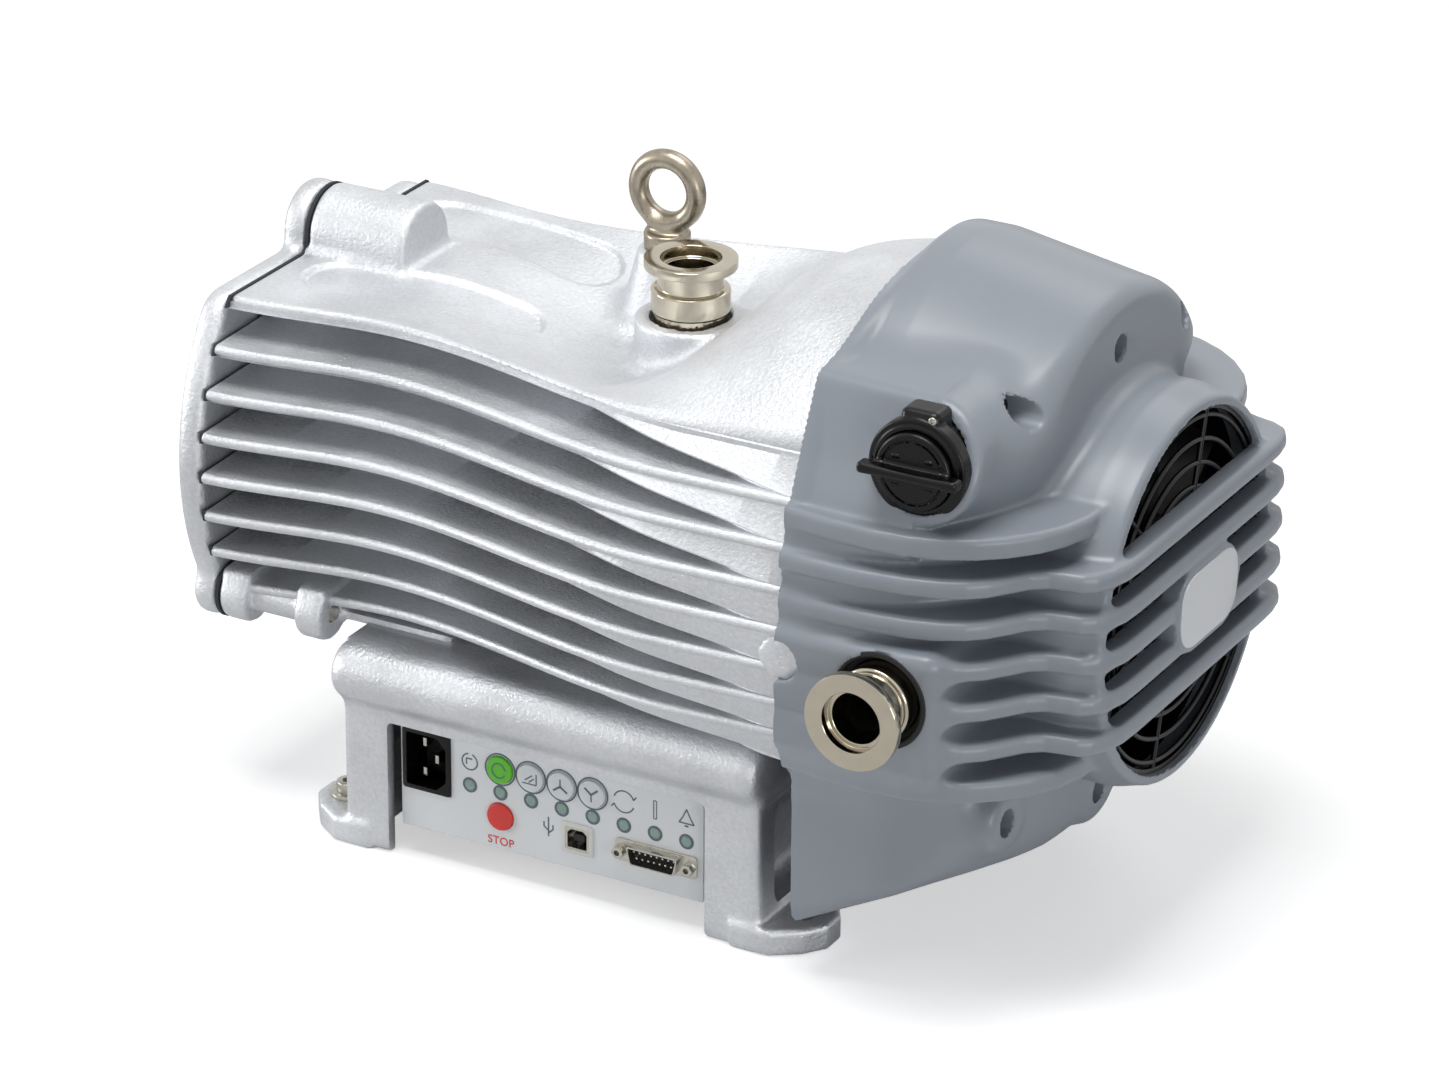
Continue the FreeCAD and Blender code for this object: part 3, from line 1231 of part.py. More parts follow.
def fan_cowl():
    """Moulded cover over the scroll end: hood, snout for the fan, bars, shelves and screw posts."""
    dome = hood(0.0, 0.0)
    snout = cylinder_x(SNOUT_RADIUS, COWL_SHOULDER_X - 30.0, SNOUT_END_X)
    pad = block(COWL_REAR_X, 193.0, cowl_side_y(), cowl_side_y() + 25.0, 108.0, 172.0)
    shelves = wings(SHAFT_HEIGHT + WING_OFFSET) + wings(SHAFT_HEIGHT - WING_OFFSET - WING_THICKNESS)
    shell = dome.cut(side_pockets(0.0)).multiFuse([snout, pad, ballast_pod(0.0)] + shelves)
    bore = cylinder_x(SNOUT_RADIUS - COWL_WALL, COWL_SHOULDER_X - 30.0, SNOUT_END_X - COWL_WALL)
    room = hood(COWL_WALL, COWL_WALL).cut(side_pockets(COWL_WALL)).multiFuse([bore, ballast_pod(COWL_WALL)])
    mouth = cylinder_x(FAN_OPENING, COWL_SHOULDER_X, BAR_FRONT_X)
    bar_mouth = cylinder_x(FAN_OPENING, COWL_SHOULDER_X, BAR_FRONT_X - BAR_DEPTH)
    bars = fan_bars()
    bars.append(badge_outline(BADGE_MARGIN, BAR_FRONT_X - BAR_DEPTH + 2.0, BAR_FRONT_X))
    grille = bars[0].multiFuse(bars[1:]).cut([room, bar_mouth])
    posts = [cylinder_x(COWL_POST_RADIUS, COWL_REAR_X, COWL_SHOULDER_X, y, z).common(dome)
             for y, z in cowl_screw_places()]
    holes = [
        cylinder_y(GROMMET_RADIUS - 2.0 + CLOSE, -THROUGH_REACH / 2, -60.0, EXHAUST_X, EXHAUST_Z),
        cylinder_y(BALLAST_RADIUS + CLOSE, -THROUGH_REACH / 2, -70.0, BALLAST_X, BALLAST_Z),
    ]
    for y, z in cowl_screw_places():
        holes.append(cylinder_x(COWL_SCREW_HEAD + 1.0, COWL_SCREW_FLOOR_X, BAR_FRONT_X, y, z))
        holes.append(cylinder_x(SCREW_SHANK, COWL_REAR_X, COWL_SCREW_FLOOR_X, y, z))
    holes.append(locating_boss(GAP, -THROUGH_REACH / 2))
    holes.append(ballast_seat(CLOSE, -THROUGH_REACH / 2, POD_FACE_Y))
    backing = ballast_seat(2.0 * COWL_WALL, POD_FACE_Y, POD_FACE_Y + 2.0 * COWL_WALL).cut(holes[1])
    return shell.cut([room, mouth]).multiFuse([grille] + posts).cut(holes).fuse(backing)


# Fan

def fan_frame():
    """Short duct in the snout with struts that carry the fan's motor."""
    start = FAN_START_X - FAN_GAP - FAN_MOTOR_WIDTH
    end = start + FAN_FRAME_WIDTH
    outer = SNOUT_RADIUS - COWL_WALL - GAP
    duct = ring_x(outer, outer - FAN_FRAME_WALL, start, end)
    motor = cylinder_x(FAN_HUB_RADIUS, start, start + FAN_MOTOR_WIDTH)
    strut = block(start, start + FAN_MOTOR_WIDTH, 0.0, outer - 1.0,
                  SHAFT_HEIGHT - STRUT_WIDTH / 2.0, SHAFT_HEIGHT + STRUT_WIDTH / 2.0)
    centre = vec(0, 0, SHAFT_HEIGHT)
    struts = [turned(strut, 45.0 + index * 360.0 / STRUT_COUNT, centre, vec(1, 0, 0))
              for index in range(STRUT_COUNT)]
    spindle = cylinder_x(4.0, start, FAN_START_X + FAN_WIDTH - 4.0)
    return duct.multiFuse([motor, spindle] + struts)


def fan_impeller():
    """Hub with slanted blades."""
    end = FAN_START_X + FAN_WIDTH
    hub = cylinder_x(FAN_HUB_RADIUS, FAN_START_X, end)
    bore = cylinder_x(4.0 + GAP, FAN_START_X, end - 4.0 + GAP)
    middle_x = FAN_START_X + FAN_WIDTH / 2.0
    chord = (FAN_WIDTH - 4.0) / math.cos(math.radians(BLADE_PITCH_ANGLE))
    blade = block(middle_x - chord / 2.0, middle_x + chord / 2.0, -BLADE_WALL / 2.0, BLADE_WALL / 2.0,
                  SHAFT_HEIGHT + FAN_HUB_RADIUS - 3.0, SHAFT_HEIGHT + FAN_RADIUS)
    centre = vec(middle_x, 0, SHAFT_HEIGHT)
    blade = turned(blade, BLADE_PITCH_ANGLE, centre, vec(0, 0, 1))
    blade = blade.common(cylinder_x(FAN_RADIUS, FAN_START_X, end))
    blades = [turned(blade, index * 360.0 / FAN_BLADES, centre, vec(1, 0, 0)) for index in range(FAN_BLADES)]
    return hub.multiFuse(blades).cut(bore)


def fan_guard():
    """Round rings and straight spokes behind the bars."""
    end = SNOUT_END_X - COWL_WALL
    start = end - GUARD_THICKNESS
    outer = SNOUT_RADIUS - COWL_WALL - GAP
    rings = [ring_x(outer, FAN_OPENING - 1.0, start, end), cylinder_x(GUARD_HUB_RADIUS, start, end)]
    for index in range(GUARD_RINGS - 1):
        radius = GUARD_HUB_RADIUS + (index + 1) * GUARD_RING_PITCH
        rings.append(ring_x(radius, radius - GUARD_RING_WALL, start, end))
    spoke = block(start, end, 0.0, FAN_OPENING, SHAFT_HEIGHT - 1.0, SHAFT_HEIGHT + 1.0)
    centre = vec(0, 0, SHAFT_HEIGHT)
    spokes = [turned(spoke, 15.0 + index * 360.0 / GUARD_SPOKES, centre, vec(1, 0, 0))
              for index in range(GUARD_SPOKES)]
    return rings[0].multiFuse(rings[1:] + spokes)


def badge_plate():
    """Bare oval plate on the front of the bars."""
    return badge_outline(0.0, BAR_FRONT_X, BAR_FRONT_X + BADGE_THICKNESS)


# Base

def base_bolt_places():
    return [(x, y) for x in (BASE_BOLT_REAR_X, BASE_BOLT_X) for y in (-BASE_BOLT_Y, BASE_BOLT_Y)]


def base_bolt_holes():
    top = HOUSING_BOTTOM + 8.0
    return [cylinder_z(BASE_BOLT_RADIUS, HOUSING_BOTTOM, top, x, y) for x, y in base_bolt_places()]


def foot(x_sign):
    """Two ears with a foot hole, joined to the side of the base."""
    ears = []
    for y_sign in (-1, 1):
        x = x_sign * FOOT_HOLE_X
        y = y_sign * FOOT_HOLE_Y
        ears.append(cylinder_z(FOOT_RADIUS, 0.0, FOOT_HEIGHT, x, y))
        low, high = sorted((x, x_sign * (BASE_HALF_LENGTH - BASE_WALL)))
        ears.append(block(low, high, y - FOOT_RADIUS, y + FOOT_RADIUS, 0.0, FOOT_HEIGHT))
    return ears


def brow():
    """Rounded shelf along the top of the base, over the panel."""
    radius = (HOUSING_BOTTOM - BROW_BOTTOM) / 2.0
    centre_z = BROW_BOTTOM + radius
    length = BROW_HALF_LENGTH
    roll = cylinder_x(radius, -length, length, -(BROW_HALF_WIDTH - radius), centre_z)
    slab = block(-length, length, -(BROW_HALF_WIDTH - radius), BROW_HALF_WIDTH - radius, BROW_BOTTOM, HOUSING_BOTTOM)
    return [slab] + both_sides(roll)


def base_casting():
    """Open-bottomed casting that carries the pump and holds the electronics."""
    length, width, wall = BASE_HALF_LENGTH, BASE_HALF_WIDTH, BASE_WALL
    body = block(-length, length, -width, width, 0.0, BROW_BOTTOM + 1.0)
    solid = body.multiFuse(brow() + foot(-1) + foot(1))
    inner = block(-length + wall, length - wall, -width + wall, width - wall, -1.0, HOUSING_BOTTOM - wall)
    posts = [cylinder_z(BASE_BOLT_RADIUS + 5.0, BOLT_SEAT, HOUSING_BOTTOM, x, y) for x, y in base_bolt_places()]
    window = block(PANEL_LEFT - PANEL_CLEARANCE, PANEL_RIGHT + PANEL_CLEARANCE, -width - 1.0, -width + wall + 1.0,
                   -1.0, PANEL_TOP + PANEL_CLEARANCE)
    drum = cylinder_x(DRUM_RADIUS + DRUM_CLEARANCE, DRUM_REAR_X - DRUM_CLEARANCE, THROUGH_REACH)
    pocket = block(length - wall - 1.0, length + 30.0, -width + 14.0, width - 14.0, 16.0, BROW_BOTTOM - 8.0)
    holes = [cylinder_z(FOOT_HOLE_RADIUS, 0.0, FOOT_HEIGHT, x * FOOT_HOLE_X, y * FOOT_HOLE_Y)
             for x in (-1, 1) for y in (-1, 1)]
    bolt_ways = [cylinder_z(BASE_BOLT_RADIUS, 0.0, HOUSING_BOTTOM, x, y) for x, y in base_bolt_places()]
    return solid.cut([inner]).multiFuse(posts).cut([window, drum, pocket] + holes + bolt_ways)


def base_bolts():
    bolts = []
    for x, y in base_bolt_places():
        head = cylinder_z(BASE_BOLT_RADIUS + 2.5, BOLT_SEAT - 8.0, BOLT_SEAT, x, y)
        bolts.append(head.fuse(cylinder_z(BASE_BOLT_RADIUS, BOLT_SEAT, HOUSING_BOTTOM + 8.0, x, y)))
    return Part.makeCompound(bolts)


# Operator panel

def control_x(index):
    return CONTROL_LEFT_X + index * CONTROL_PITCH


def button_places():
    """Name and centre of each push button."""
    return [
        ("start_button", control_x(1), CONTROL_ROW_Z),
        ("stop_button", control_x(1), STOP_Z),
        ("standby_button", control_x(2), CONTROL_ROW_Z),
        ("speed_down_button", control_x(3), CONTROL_ROW_Z),
        ("speed_up_button", control_x(4), CONTROL_ROW_Z),
    ]


def serial_outline(grow, y, depth):
    """Trapezium outline of the serial connector, wider at the top."""
    half_width = SERIAL_HALF_WIDTH + grow
    half_height = SERIAL_HALF_HEIGHT + grow
    slant = 1.6
    points = [
        (SERIAL_X - half_width, y, SERIAL_Z + half_height),
        (SERIAL_X + half_width, y, SERIAL_Z + half_height),
        (SERIAL_X + half_width - slant, y, SERIAL_Z - half_height),
        (SERIAL_X - half_width + slant, y, SERIAL_Z - half_height),
    ]
    return polygon_prism(points, vec(0, depth, 0))


def panel_opening(x, z, width, height, grow):
    back = PANEL_FACE_Y + PANEL_THICKNESS
    return block(x - width / 2.0 - grow, x + width / 2.0 + grow, PANEL_FACE_Y, back,
                 z - height / 2.0 - grow, z + height / 2.0 + grow)


def interface_panel():
    back = PANEL_FACE_Y + PANEL_THICKNESS
    plate = block(PANEL_LEFT, PANEL_RIGHT, PANEL_FACE_Y, back, PANEL_BOTTOM, PANEL_TOP)
    holes = [cylinder_y(BUTTON_RADIUS + GAP, PANEL_FACE_Y, back, x, z) for name, x, z in button_places()]
    holes += [cylinder_y(LAMP_RADIUS, PANEL_FACE_Y, back, control_x(index), LAMP_ROW_Z)
              for index in range(LAMP_COUNT)]
    holes.append(panel_opening(INLET_SOCKET_X, INLET_SOCKET_Z, INLET_SOCKET_WIDTH, INLET_SOCKET_HEIGHT, 0.0))
    holes.append(panel_opening(USB_X, USB_Z, USB_WIDTH, USB_HEIGHT, 0.0))
    holes.append(serial_outline(0.0, PANEL_FACE_Y, PANEL_THICKNESS))
    holes += [cylinder_y(1.6, PANEL_FACE_Y, back, SERIAL_X + side * JACKSCREW_SPACING / 2.0, SERIAL_Z)
              for side in (-1, 1)]
    return plate.cut(holes)


def power_inlet():
    """Three-pin appliance inlet, turned upright, with its socket open to the front."""
    face = PANEL_FACE_Y - 1.0
    half_width = INLET_SOCKET_WIDTH / 2.0
    half_height = INLET_SOCKET_HEIGHT / 2.0
    x, z = INLET_SOCKET_X, INLET_SOCKET_Z
    body = block(x - half_width, x + half_width, face, face + INLET_SOCKET_DEPTH + 3.0,
                 z - half_height, z + half_height)
    inner_width = half_width - 2.2
    inner_height = half_height - 2.2
    chamfer = 4.5
    points = [
        (x - inner_width, face, z - inner_height), (x + inner_width - chamfer, face, z - inner_height),
        (x + inner_width, face, z - inner_height + chamfer), (x + inner_width, face, z + inner_height - chamfer),
        (x + inner_width - chamfer, face, z + inner_height), (x - inner_width, face, z + inner_height),
    ]
    socket = polygon_prism(points, vec(0, INLET_SOCKET_DEPTH, 0))
    floor = face + INLET_SOCKET_DEPTH
    ways = [block(px - 1.0, px + 1.0, floor, floor + 3.0, pz - 2.0, pz + 2.0) for px, pz in power_pin_places()]
    return body.cut([socket] + ways)


def power_pin_places():
    x, z = INLET_SOCKET_X, INLET_SOCKET_Z
    return [(x - 3.0, z - 7.0), (x - 3.0, z + 7.0), (x + 3.0, z)]


def power_inlet_pins():
    face = PANEL_FACE_Y - 1.0
    start = face + 4.0
    end = face + INLET_SOCKET_DEPTH + 3.0
    pins = [block(x - 1.0, x + 1.0, start, end, z - 2.0, z + 2.0) for x, z in power_pin_places()]
    return Part.makeCompound(pins)


def usb_socket():
    """Square socket with a metal shell."""
    start = PANEL_FACE_Y - 0.6
    end = BOARD_FACE_Y
    half_width = USB_WIDTH / 2.0
    half_height = USB_HEIGHT / 2.0
    shell = block(USB_X - half_width, USB_X + half_width, start, end, USB_Z - half_height, USB_Z + half_height)
    inside = block(USB_X - half_width + PORT_WALL, USB_X + half_width - PORT_WALL, start, end - 1.0,
                   USB_Z - half_height + PORT_WALL, USB_Z + half_height - PORT_WALL)
    return shell.cut(inside)


def usb_tongue():
    return block(USB_X - 2.8, USB_X + 2.8, PANEL_FACE_Y + 1.0, BOARD_FACE_Y - 1.0, USB_Z - 1.6, USB_Z + 1.6)


def serial_shell():
    start = PANEL_FACE_Y - 4.8
    depth = BOARD_FACE_Y - start
    shell = serial_outline(0.0, start, depth)
    return shell.cut(serial_outline(-PORT_WALL, start, depth))


def serial_insert():
    start = PANEL_FACE_Y - 0.5
    body = serial_outline(-PORT_WALL, start, BOARD_FACE_Y - start)
    return body.cut([serial_pin(x, z, 0.0) for x, z in serial_pin_places()])


def serial_pin_places():
    """Eight pins above seven."""
    pitch = 2.77
    places = [(SERIAL_X + (index - 3.5) * pitch, SERIAL_Z + 1.42) for index in range(8)]
    places += [(SERIAL_X + (index - 3.0) * pitch, SERIAL_Z - 1.42) for index in range(7)]
    return places


def serial_pin(x, z, shrink):
    half = 0.5 - shrink
    return block(x - half, x + half, PANEL_FACE_Y - 4.2, BOARD_FACE_Y - 3.0, z - half, z + half)


def serial_pins():
    return Part.makeCompound([serial_pin(x, z, 0.0) for x, z in serial_pin_places()])


def serial_jackscrews():
    screws = []
    for side in (-1, 1):
        x = SERIAL_X + side * JACKSCREW_SPACING / 2.0
        head = turned_hexagon_y(3.0, PANEL_FACE_Y - 5.0, PANEL_FACE_Y, x, SERIAL_Z)
        shank = cylinder_y(1.6, PANEL_FACE_Y, BOARD_FACE_Y, x, SERIAL_Z)
        thread = cylinder_y(1.3, PANEL_FACE_Y - 5.0, PANEL_FACE_Y - 1.0, x, SERIAL_Z)
        screws.append(head.cut(thread).fuse(shank))
    return Part.makeCompound(screws)


def turned_hexagon_y(radius, y_start, y_end, x, z):
    points = []
    for index in range(6):
        angle = math.radians(60.0 * index + 30.0)
        points.append((x + radius * math.cos(angle), y_start, z + radius * math.sin(angle)))
    return polygon_prism(points, vec(0, y_end - y_start, 0))


def push_button(x, z):
    back = PANEL_FACE_Y + PANEL_THICKNESS
    cap = cylinder_y(BUTTON_RADIUS, PANEL_FACE_Y - BUTTON_PROUD, back + CLOSE, x, z)
    flange = cylinder_y(BUTTON_FLANGE, back + CLOSE, back + CLOSE + BUTTON_FLANGE_THICKNESS, x, z)
    return cap.fuse(flange)


def control_board():
    """Circuit board with a switch behind each button."""
    margin = 3.0
    left = INLET_SOCKET_X + INLET_SOCKET_WIDTH / 2.0 + 1.0
    board = block(left, PANEL_RIGHT - margin, BOARD_FACE_Y, BOARD_FACE_Y + BOARD_THICKNESS,
                  PANEL_BOTTOM + margin, PANEL_TOP - margin)
    back = PANEL_FACE_Y + PANEL_THICKNESS + CLOSE + BUTTON_FLANGE_THICKNESS
    switches = [block(x - 3.0, x + 3.0, back + BUTTON_TRAVEL + CLOSE, BOARD_FACE_Y, z - 3.0, z + 3.0)
                for name, x, z in button_places()]
    return board.multiFuse(switches)


def indicator_lamps():
    lamps = [cylinder_y(LAMP_RADIUS, PANEL_FACE_Y - 0.3, BOARD_FACE_Y, control_x(index), LAMP_ROW_Z)
             for index in range(LAMP_COUNT)]
    return Part.makeCompound(lamps)


def cowl_screws():
    floor = COWL_SCREW_FLOOR_X
    screws = []
    for y, z in cowl_screw_places():
        head = cylinder_x(COWL_SCREW_HEAD, floor, floor + SCREW_HEAD, y, z)
        shank = cylinder_x(SCREW_SHANK, HOUSING_FRONT_X - FRONT_FLANGE_THICKNESS, floor, y, z)
        socket = hexagon_x(2.6, floor + 2.0, floor + SCREW_HEAD, y, z)
        screws.append(head.fuse(shank).cut(socket))
    return Part.makeCompound(screws)


def nodes():
    """Every sub-part by name."""
    parts = {
        "motor_housing": motor_housing(),
        "end_cover": end_cover(),
        "end_cover_gasket": end_cover_gasket(),
        "end_cover_screws": end_cover_screws(),
        "lug_tie_rods": lug_tie_rods(),
        "base_casting": base_casting(),
        "base_bolts": base_bolts(),
        "rear_bearing": bearing(REAR_BEARING, REAR_BEARING_X),
        "bearing_preload_spring": bearing_preload_spring(),
        "front_bearing": bearing(FRONT_BEARING, FRONT_BEARING_X),
        "shaft_seal": shaft_seal(),
        "motor_stator": motor_stator(),
        "motor_windings": motor_windings(),
        "motor_rotor": motor_rotor(),
        "crankshaft": crankshaft(),
        "counterweights": counterweights(),
        "bellows": bellows(),
        "orbit_bearing": orbit_bearing(),
        "orbiting_scroll": orbiting_scroll(),
        "orbiting_tip_seal": orbiting_tip_seal(),
        "fixed_scroll": fixed_scroll(),
        "fixed_tip_seal": fixed_tip_seal(),
        "fixed_scroll_screws": fixed_scroll_screws(),
        "inlet_flange": inlet_flange(),
        "inlet_seal": inlet_seal(),
        "inlet_strainer": inlet_strainer(),
        "lifting_eye": lifting_eye(),
        "exhaust_manifold": exhaust_manifold(),
        "exhaust_valve": exhaust_valve(),
        "exhaust_valve_spring": exhaust_valve_spring(),
        "exhaust_flange": exhaust_flange(),
        "exhaust_grommet": exhaust_grommet(),
        "gas_ballast_body": gas_ballast_body(),
        "gas_ballast_knob": gas_ballast_knob(),
        "gas_ballast_screws": gas_ballast_screws(),
        "gas_ballast_pipe": gas_ballast_pipe(),
        "fan_cowl": fan_cowl(),
        "cowl_screws": cowl_screws(),
        "fan_frame": fan_frame(),
        "fan_impeller": fan_impeller(),
        "fan_guard": fan_guard(),
        "badge_plate": badge_plate(),
        "interface_panel": interface_panel(),
        "power_inlet": power_inlet(),
        "power_inlet_pins": power_inlet_pins(),
        "usb_socket": usb_socket(),
        "usb_tongue": usb_tongue(),
        "serial_shell": serial_shell(),
        "serial_insert": serial_insert(),
        "serial_pins": serial_pins(),
        "serial_jackscrews": serial_jackscrews(),
        "control_board": control_board(),
        "indicator_lamps": indicator_lamps(),
    }
    for name, x, z in button_places():
        parts[name] = push_button(x, z)
    return parts


def main():
    os.makedirs("parts", exist_ok=True)
    for name, shape in nodes().items():
        shape.exportStep("parts/" + name + ".step")


main()
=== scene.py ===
import json
import math

import bmesh
import bpy
import numpy as np
from bpy.props import FloatProperty, FloatVectorProperty, IntProperty, PointerProperty
from bpy.types import Operator, Panel, PropertyGroup
from mathutils import Matrix, Vector


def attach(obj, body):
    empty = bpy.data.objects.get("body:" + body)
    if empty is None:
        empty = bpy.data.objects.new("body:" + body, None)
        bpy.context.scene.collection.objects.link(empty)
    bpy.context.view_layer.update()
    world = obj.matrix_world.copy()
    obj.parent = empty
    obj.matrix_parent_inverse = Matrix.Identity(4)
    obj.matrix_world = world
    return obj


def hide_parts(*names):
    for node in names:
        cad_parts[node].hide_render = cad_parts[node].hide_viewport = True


bl_info = {
    "name": "Dry Scroll Pump",
    "version": (1, 0, 0),
    "blender": (4, 5, 0),
    "location": "View3D > Sidebar > Pump",
    "description": "Builds the visible castings, cowl, fittings and panel of a dry scroll vacuum pump",
    "category": "Add Mesh",
}

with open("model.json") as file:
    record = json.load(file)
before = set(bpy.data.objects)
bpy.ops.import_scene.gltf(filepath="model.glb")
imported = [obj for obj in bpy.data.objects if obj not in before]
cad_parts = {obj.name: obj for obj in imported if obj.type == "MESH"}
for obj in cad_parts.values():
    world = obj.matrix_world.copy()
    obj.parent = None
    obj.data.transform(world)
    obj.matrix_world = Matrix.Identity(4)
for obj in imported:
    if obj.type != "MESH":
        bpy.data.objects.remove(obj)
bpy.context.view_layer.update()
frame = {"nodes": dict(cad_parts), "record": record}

# Lengths below are millimetres in the part's own frame; every mesh is turned to metres once.
MM = 0.001

# Shaft line, barrel and deck
SHAFT_Z = 160.0
REAR_X = -166.0
FRONT_X = 124.0
BARREL_BOTTOM = 96.0
DECK_EDGE_Z = 234.0
DECK_THICKNESS = 4.5
DECK_MIDDLE_DIP = 22.0
DECK_MIDDLE_RISE = 73.0
DECK_LOW_X = 5.0
SIDE_RADIUS = 117.0
SIDE_HALF_WIDTH = 106.0
BUMP_RADIUS = 19.5
BUMP_Z = 239.0
BUMP_END_X = -118.0
FIN_COUNT = 8
REAR_FIN_PITCH = 18.1
FRONT_FIN_PITCH = 16.8

# Inlet, lifting eye and the two long recesses of the deck
INLET_X = 12.5
INLET_BOSS_RADIUS = 23.8
INLET_WELL_RADIUS = 17.7
INLET_BORE_RADIUS = 13.0
EYE_X = -16.0
EYE_Y = 30.0
EYE_SEAT_Z = 249.0
HILL_FOOT_Z = 206.0
HILL_FOOT_RADIUS = 46.0
HILL_NARROWING = 33.5
HILL_POWER = 0.27
RECESS_REAR_X = -137.0
RECESS_FRONT_X = -64.0
RECESS_RADIUS = 18.0
RECESS_DEPTH = 2.2

# Scroll chamber, front flange and the lugs for the tie rods
CHAMBER_RADIUS = 79.5
CHAMBER_X = 66.0
SCROLL_SEAT_RADIUS = 94.1
SCROLL_SEAT_X = 110.0
COVER_SCREW_CIRCLE = 66.0
LUG_Y = 84.0
LUG_Z = 100.0
LUG_RADIUS = 12.5
LUG_THICKNESS = 13.0
ROD_HOLE_RADIUS = 4.2

# Base
BROW_Y = 95.0
BROW_Z = 82.5
BROW_RADIUS = 13.5
BASE_HALF_LENGTH = 102.0
BASE_HALF_WIDTH = 99.3
FOOT_X = 112.5
FOOT_Y = 79.0
FOOT_HOLE_RADIUS = 4.5

# Cowl
HOOD_REAR_RISE = 127.3
HOOD_HALF_WIDTH = 131.75
SNOUT_END_X = 246.0
MOUTH_RADIUS = 77.5
BAR_FRONT_X = 252.0
BADGE_Y = 6.5
BADGE_Z = 156.0
BAR_COUNT = 5
GUARD_X = 241.8
WING_RISE = 53.4
COWL_SCREW_X = 189.5
COWL_TRIANGLES = 186000.0
# Spacing of the pits in a blasted casting
PIT_SPACING = 3.2
NOTCH_X = 125.0
NOTCH_Z = 153.0

# Fittings
EXHAUST_X = 171.0
EXHAUST_Z = 146.0
EXHAUST_FACE_Y = -152.0
PAD_Y = -128.0
BALLAST_X = 179.0
BALLAST_Z = 243.0
BALLAST_FACE_Y = -116.0
BALLAST_SCREW_Y = -113.8

# Operator panel
PANEL_Y = -95.0
KEY_FACE_Y = PANEL_Y - 1.4
LAMP_COUNT = 8
# Left, right, low and high edge of the two square openings
POWER_INLET = (-74.0, -50.0, 32.5, 61.5)
DATA_SOCKET = (6.3, 18.3, 23.2, 34.2)
SERIAL_X = 50.7
PIN_PITCH = 2.77
PIN_ROW_Z = 1.42
CONTROL_LEFT_X = -40.7
CONTROL_PITCH = 15.1
CONTROL_Z = 52.0
LAMP_Z = 41.0
STOP_Z = 29.8


# Sizes and colours that a user may change

def length(name, description, default, low, high):
    """A length setting, kept in metres."""
    return FloatProperty(name=name, description=description, default=default * MM, min=low * MM,
                         max=high * MM, unit="LENGTH", subtype="DISTANCE", precision=4)


def colour(name, description, code):
    """A colour setting, from a six-digit sRGB code."""
    return FloatVectorProperty(name=name, description=description, default=linear(code), size=3,
                               min=0.0, max=1.0, subtype="COLOR")


def linear(code):
    """Linear red, green and blue from a six-digit sRGB code."""
    shares = [int(code[place:place + 2], 16) / 255.0 for place in (1, 3, 5)]
    return tuple(s / 12.92 if s <= 0.04045 else ((s + 0.055) / 1.055) ** 2.4 for s in shares)


class PumpSizes(PropertyGroup):
    """Sizes that shape the castings, the cowl and the fan guard."""
    fin_depth: length("Fin depth", "How far the barrel's fins stand out at the rear", 34.0, 5.0, 40.0)
    fin_thickness: length("Fin thickness", "Thickness of a fin at its tip", 4.5, 2.0, 7.0)
    fin_recess: length("Facet recess", "Step between a fin's bead and the facet below it", 1.2, 0.3, 2.0)
    bar_thickness: length("Bar thickness", "Height of each bar of the cowl", 8.5, 4.0, 12.0)
    bar_pitch: length("Bar pitch", "Spacing of the cowl's bars", 18.0, 14.0, 24.0)
    cowl_wall: length("Cowl wall", "Wall of the moulded cowl", 3.2, 2.0, 6.0)
    casting_grain: length("Casting grain", "Step of the mesh on the cast pieces", 1.5, 1.0, 4.0)
    cowl_grain: length("Cowl grain", "Step of the mesh on the cowl", 1.3, 1.0, 4.0)
    guard_wire: length("Guard wire", "Radius of the fan guard's wires", 1.15, 0.5, 1.2)
    guard_pitch: length("Guard pitch", "Spacing of the fan guard's rings", 10.0, 6.0, 20.0)
    guard_rings: IntProperty(name="Guard rings", description="Rings of the fan guard", default=7,
                             min=2, max=12)
    guard_spokes: IntProperty(name="Guard spokes", description="Spokes of the fan guard", default=6,
                              min=3, max=12)


class PumpColours(PropertyGroup):
    """Colours of the pump's finishes."""
    casting: colour("Casting", "Blasted and lacquered aluminium", "#D3D5D8")
    cowl: colour("Cowl", "Moulded cowl", "#939AA3")
    panel: colour("Panel", "Operator panel", "#E3E6E8")
    print_ink: colour("Print", "Printed outlines on the panel", "#5D6A75")
    start_key: colour("Start key", "Start button", "#5BC21A")
    stop_key: colour("Stop key", "Stop button", "#D92B20")


# Mesh makers

def mesh_object(name, points, faces, angle=32.0):
    """A smooth-shaded mesh object in metres, from points in millimetres."""
    mesh = bpy.data.meshes.new(name)
    mesh.from_pydata((np.asarray(points, float) * MM).tolist(), [], faces)
    return shaded(link(name, mesh), angle)


def link(name, mesh):
    """New object in the scene with the given mesh or curve."""
    piece = bpy.data.objects.new(name, mesh)
    bpy.context.scene.collection.objects.link(piece)
    return piece


def shaded(piece, angle):
    """Smooth shading with edges kept sharp past an angle in degrees."""
    piece.data.validate()
    piece.data.shade_smooth()
    piece.data.set_sharp_from_angle(angle=math.radians(angle))
    return piece


def quad_mesh(name, points, quads, angle=32.0):
    """The same as mesh_object for a large set of four-sided faces held in an array."""
    mesh = bpy.data.meshes.new(name)
    mesh.vertices.add(len(points))
    mesh.vertices.foreach_set("co", (points * MM).astype(np.float32).ravel())
    mesh.loops.add(quads.size)
    mesh.loops.foreach_set("vertex_index", quads.astype(np.int32).ravel())
    mesh.polygons.add(len(quads))
    mesh.polygons.foreach_set("loop_start", np.arange(0, quads.size, 4, dtype=np.int32))
    mesh.update(calc_edges=True)
    return shaded(link(name, mesh), angle)


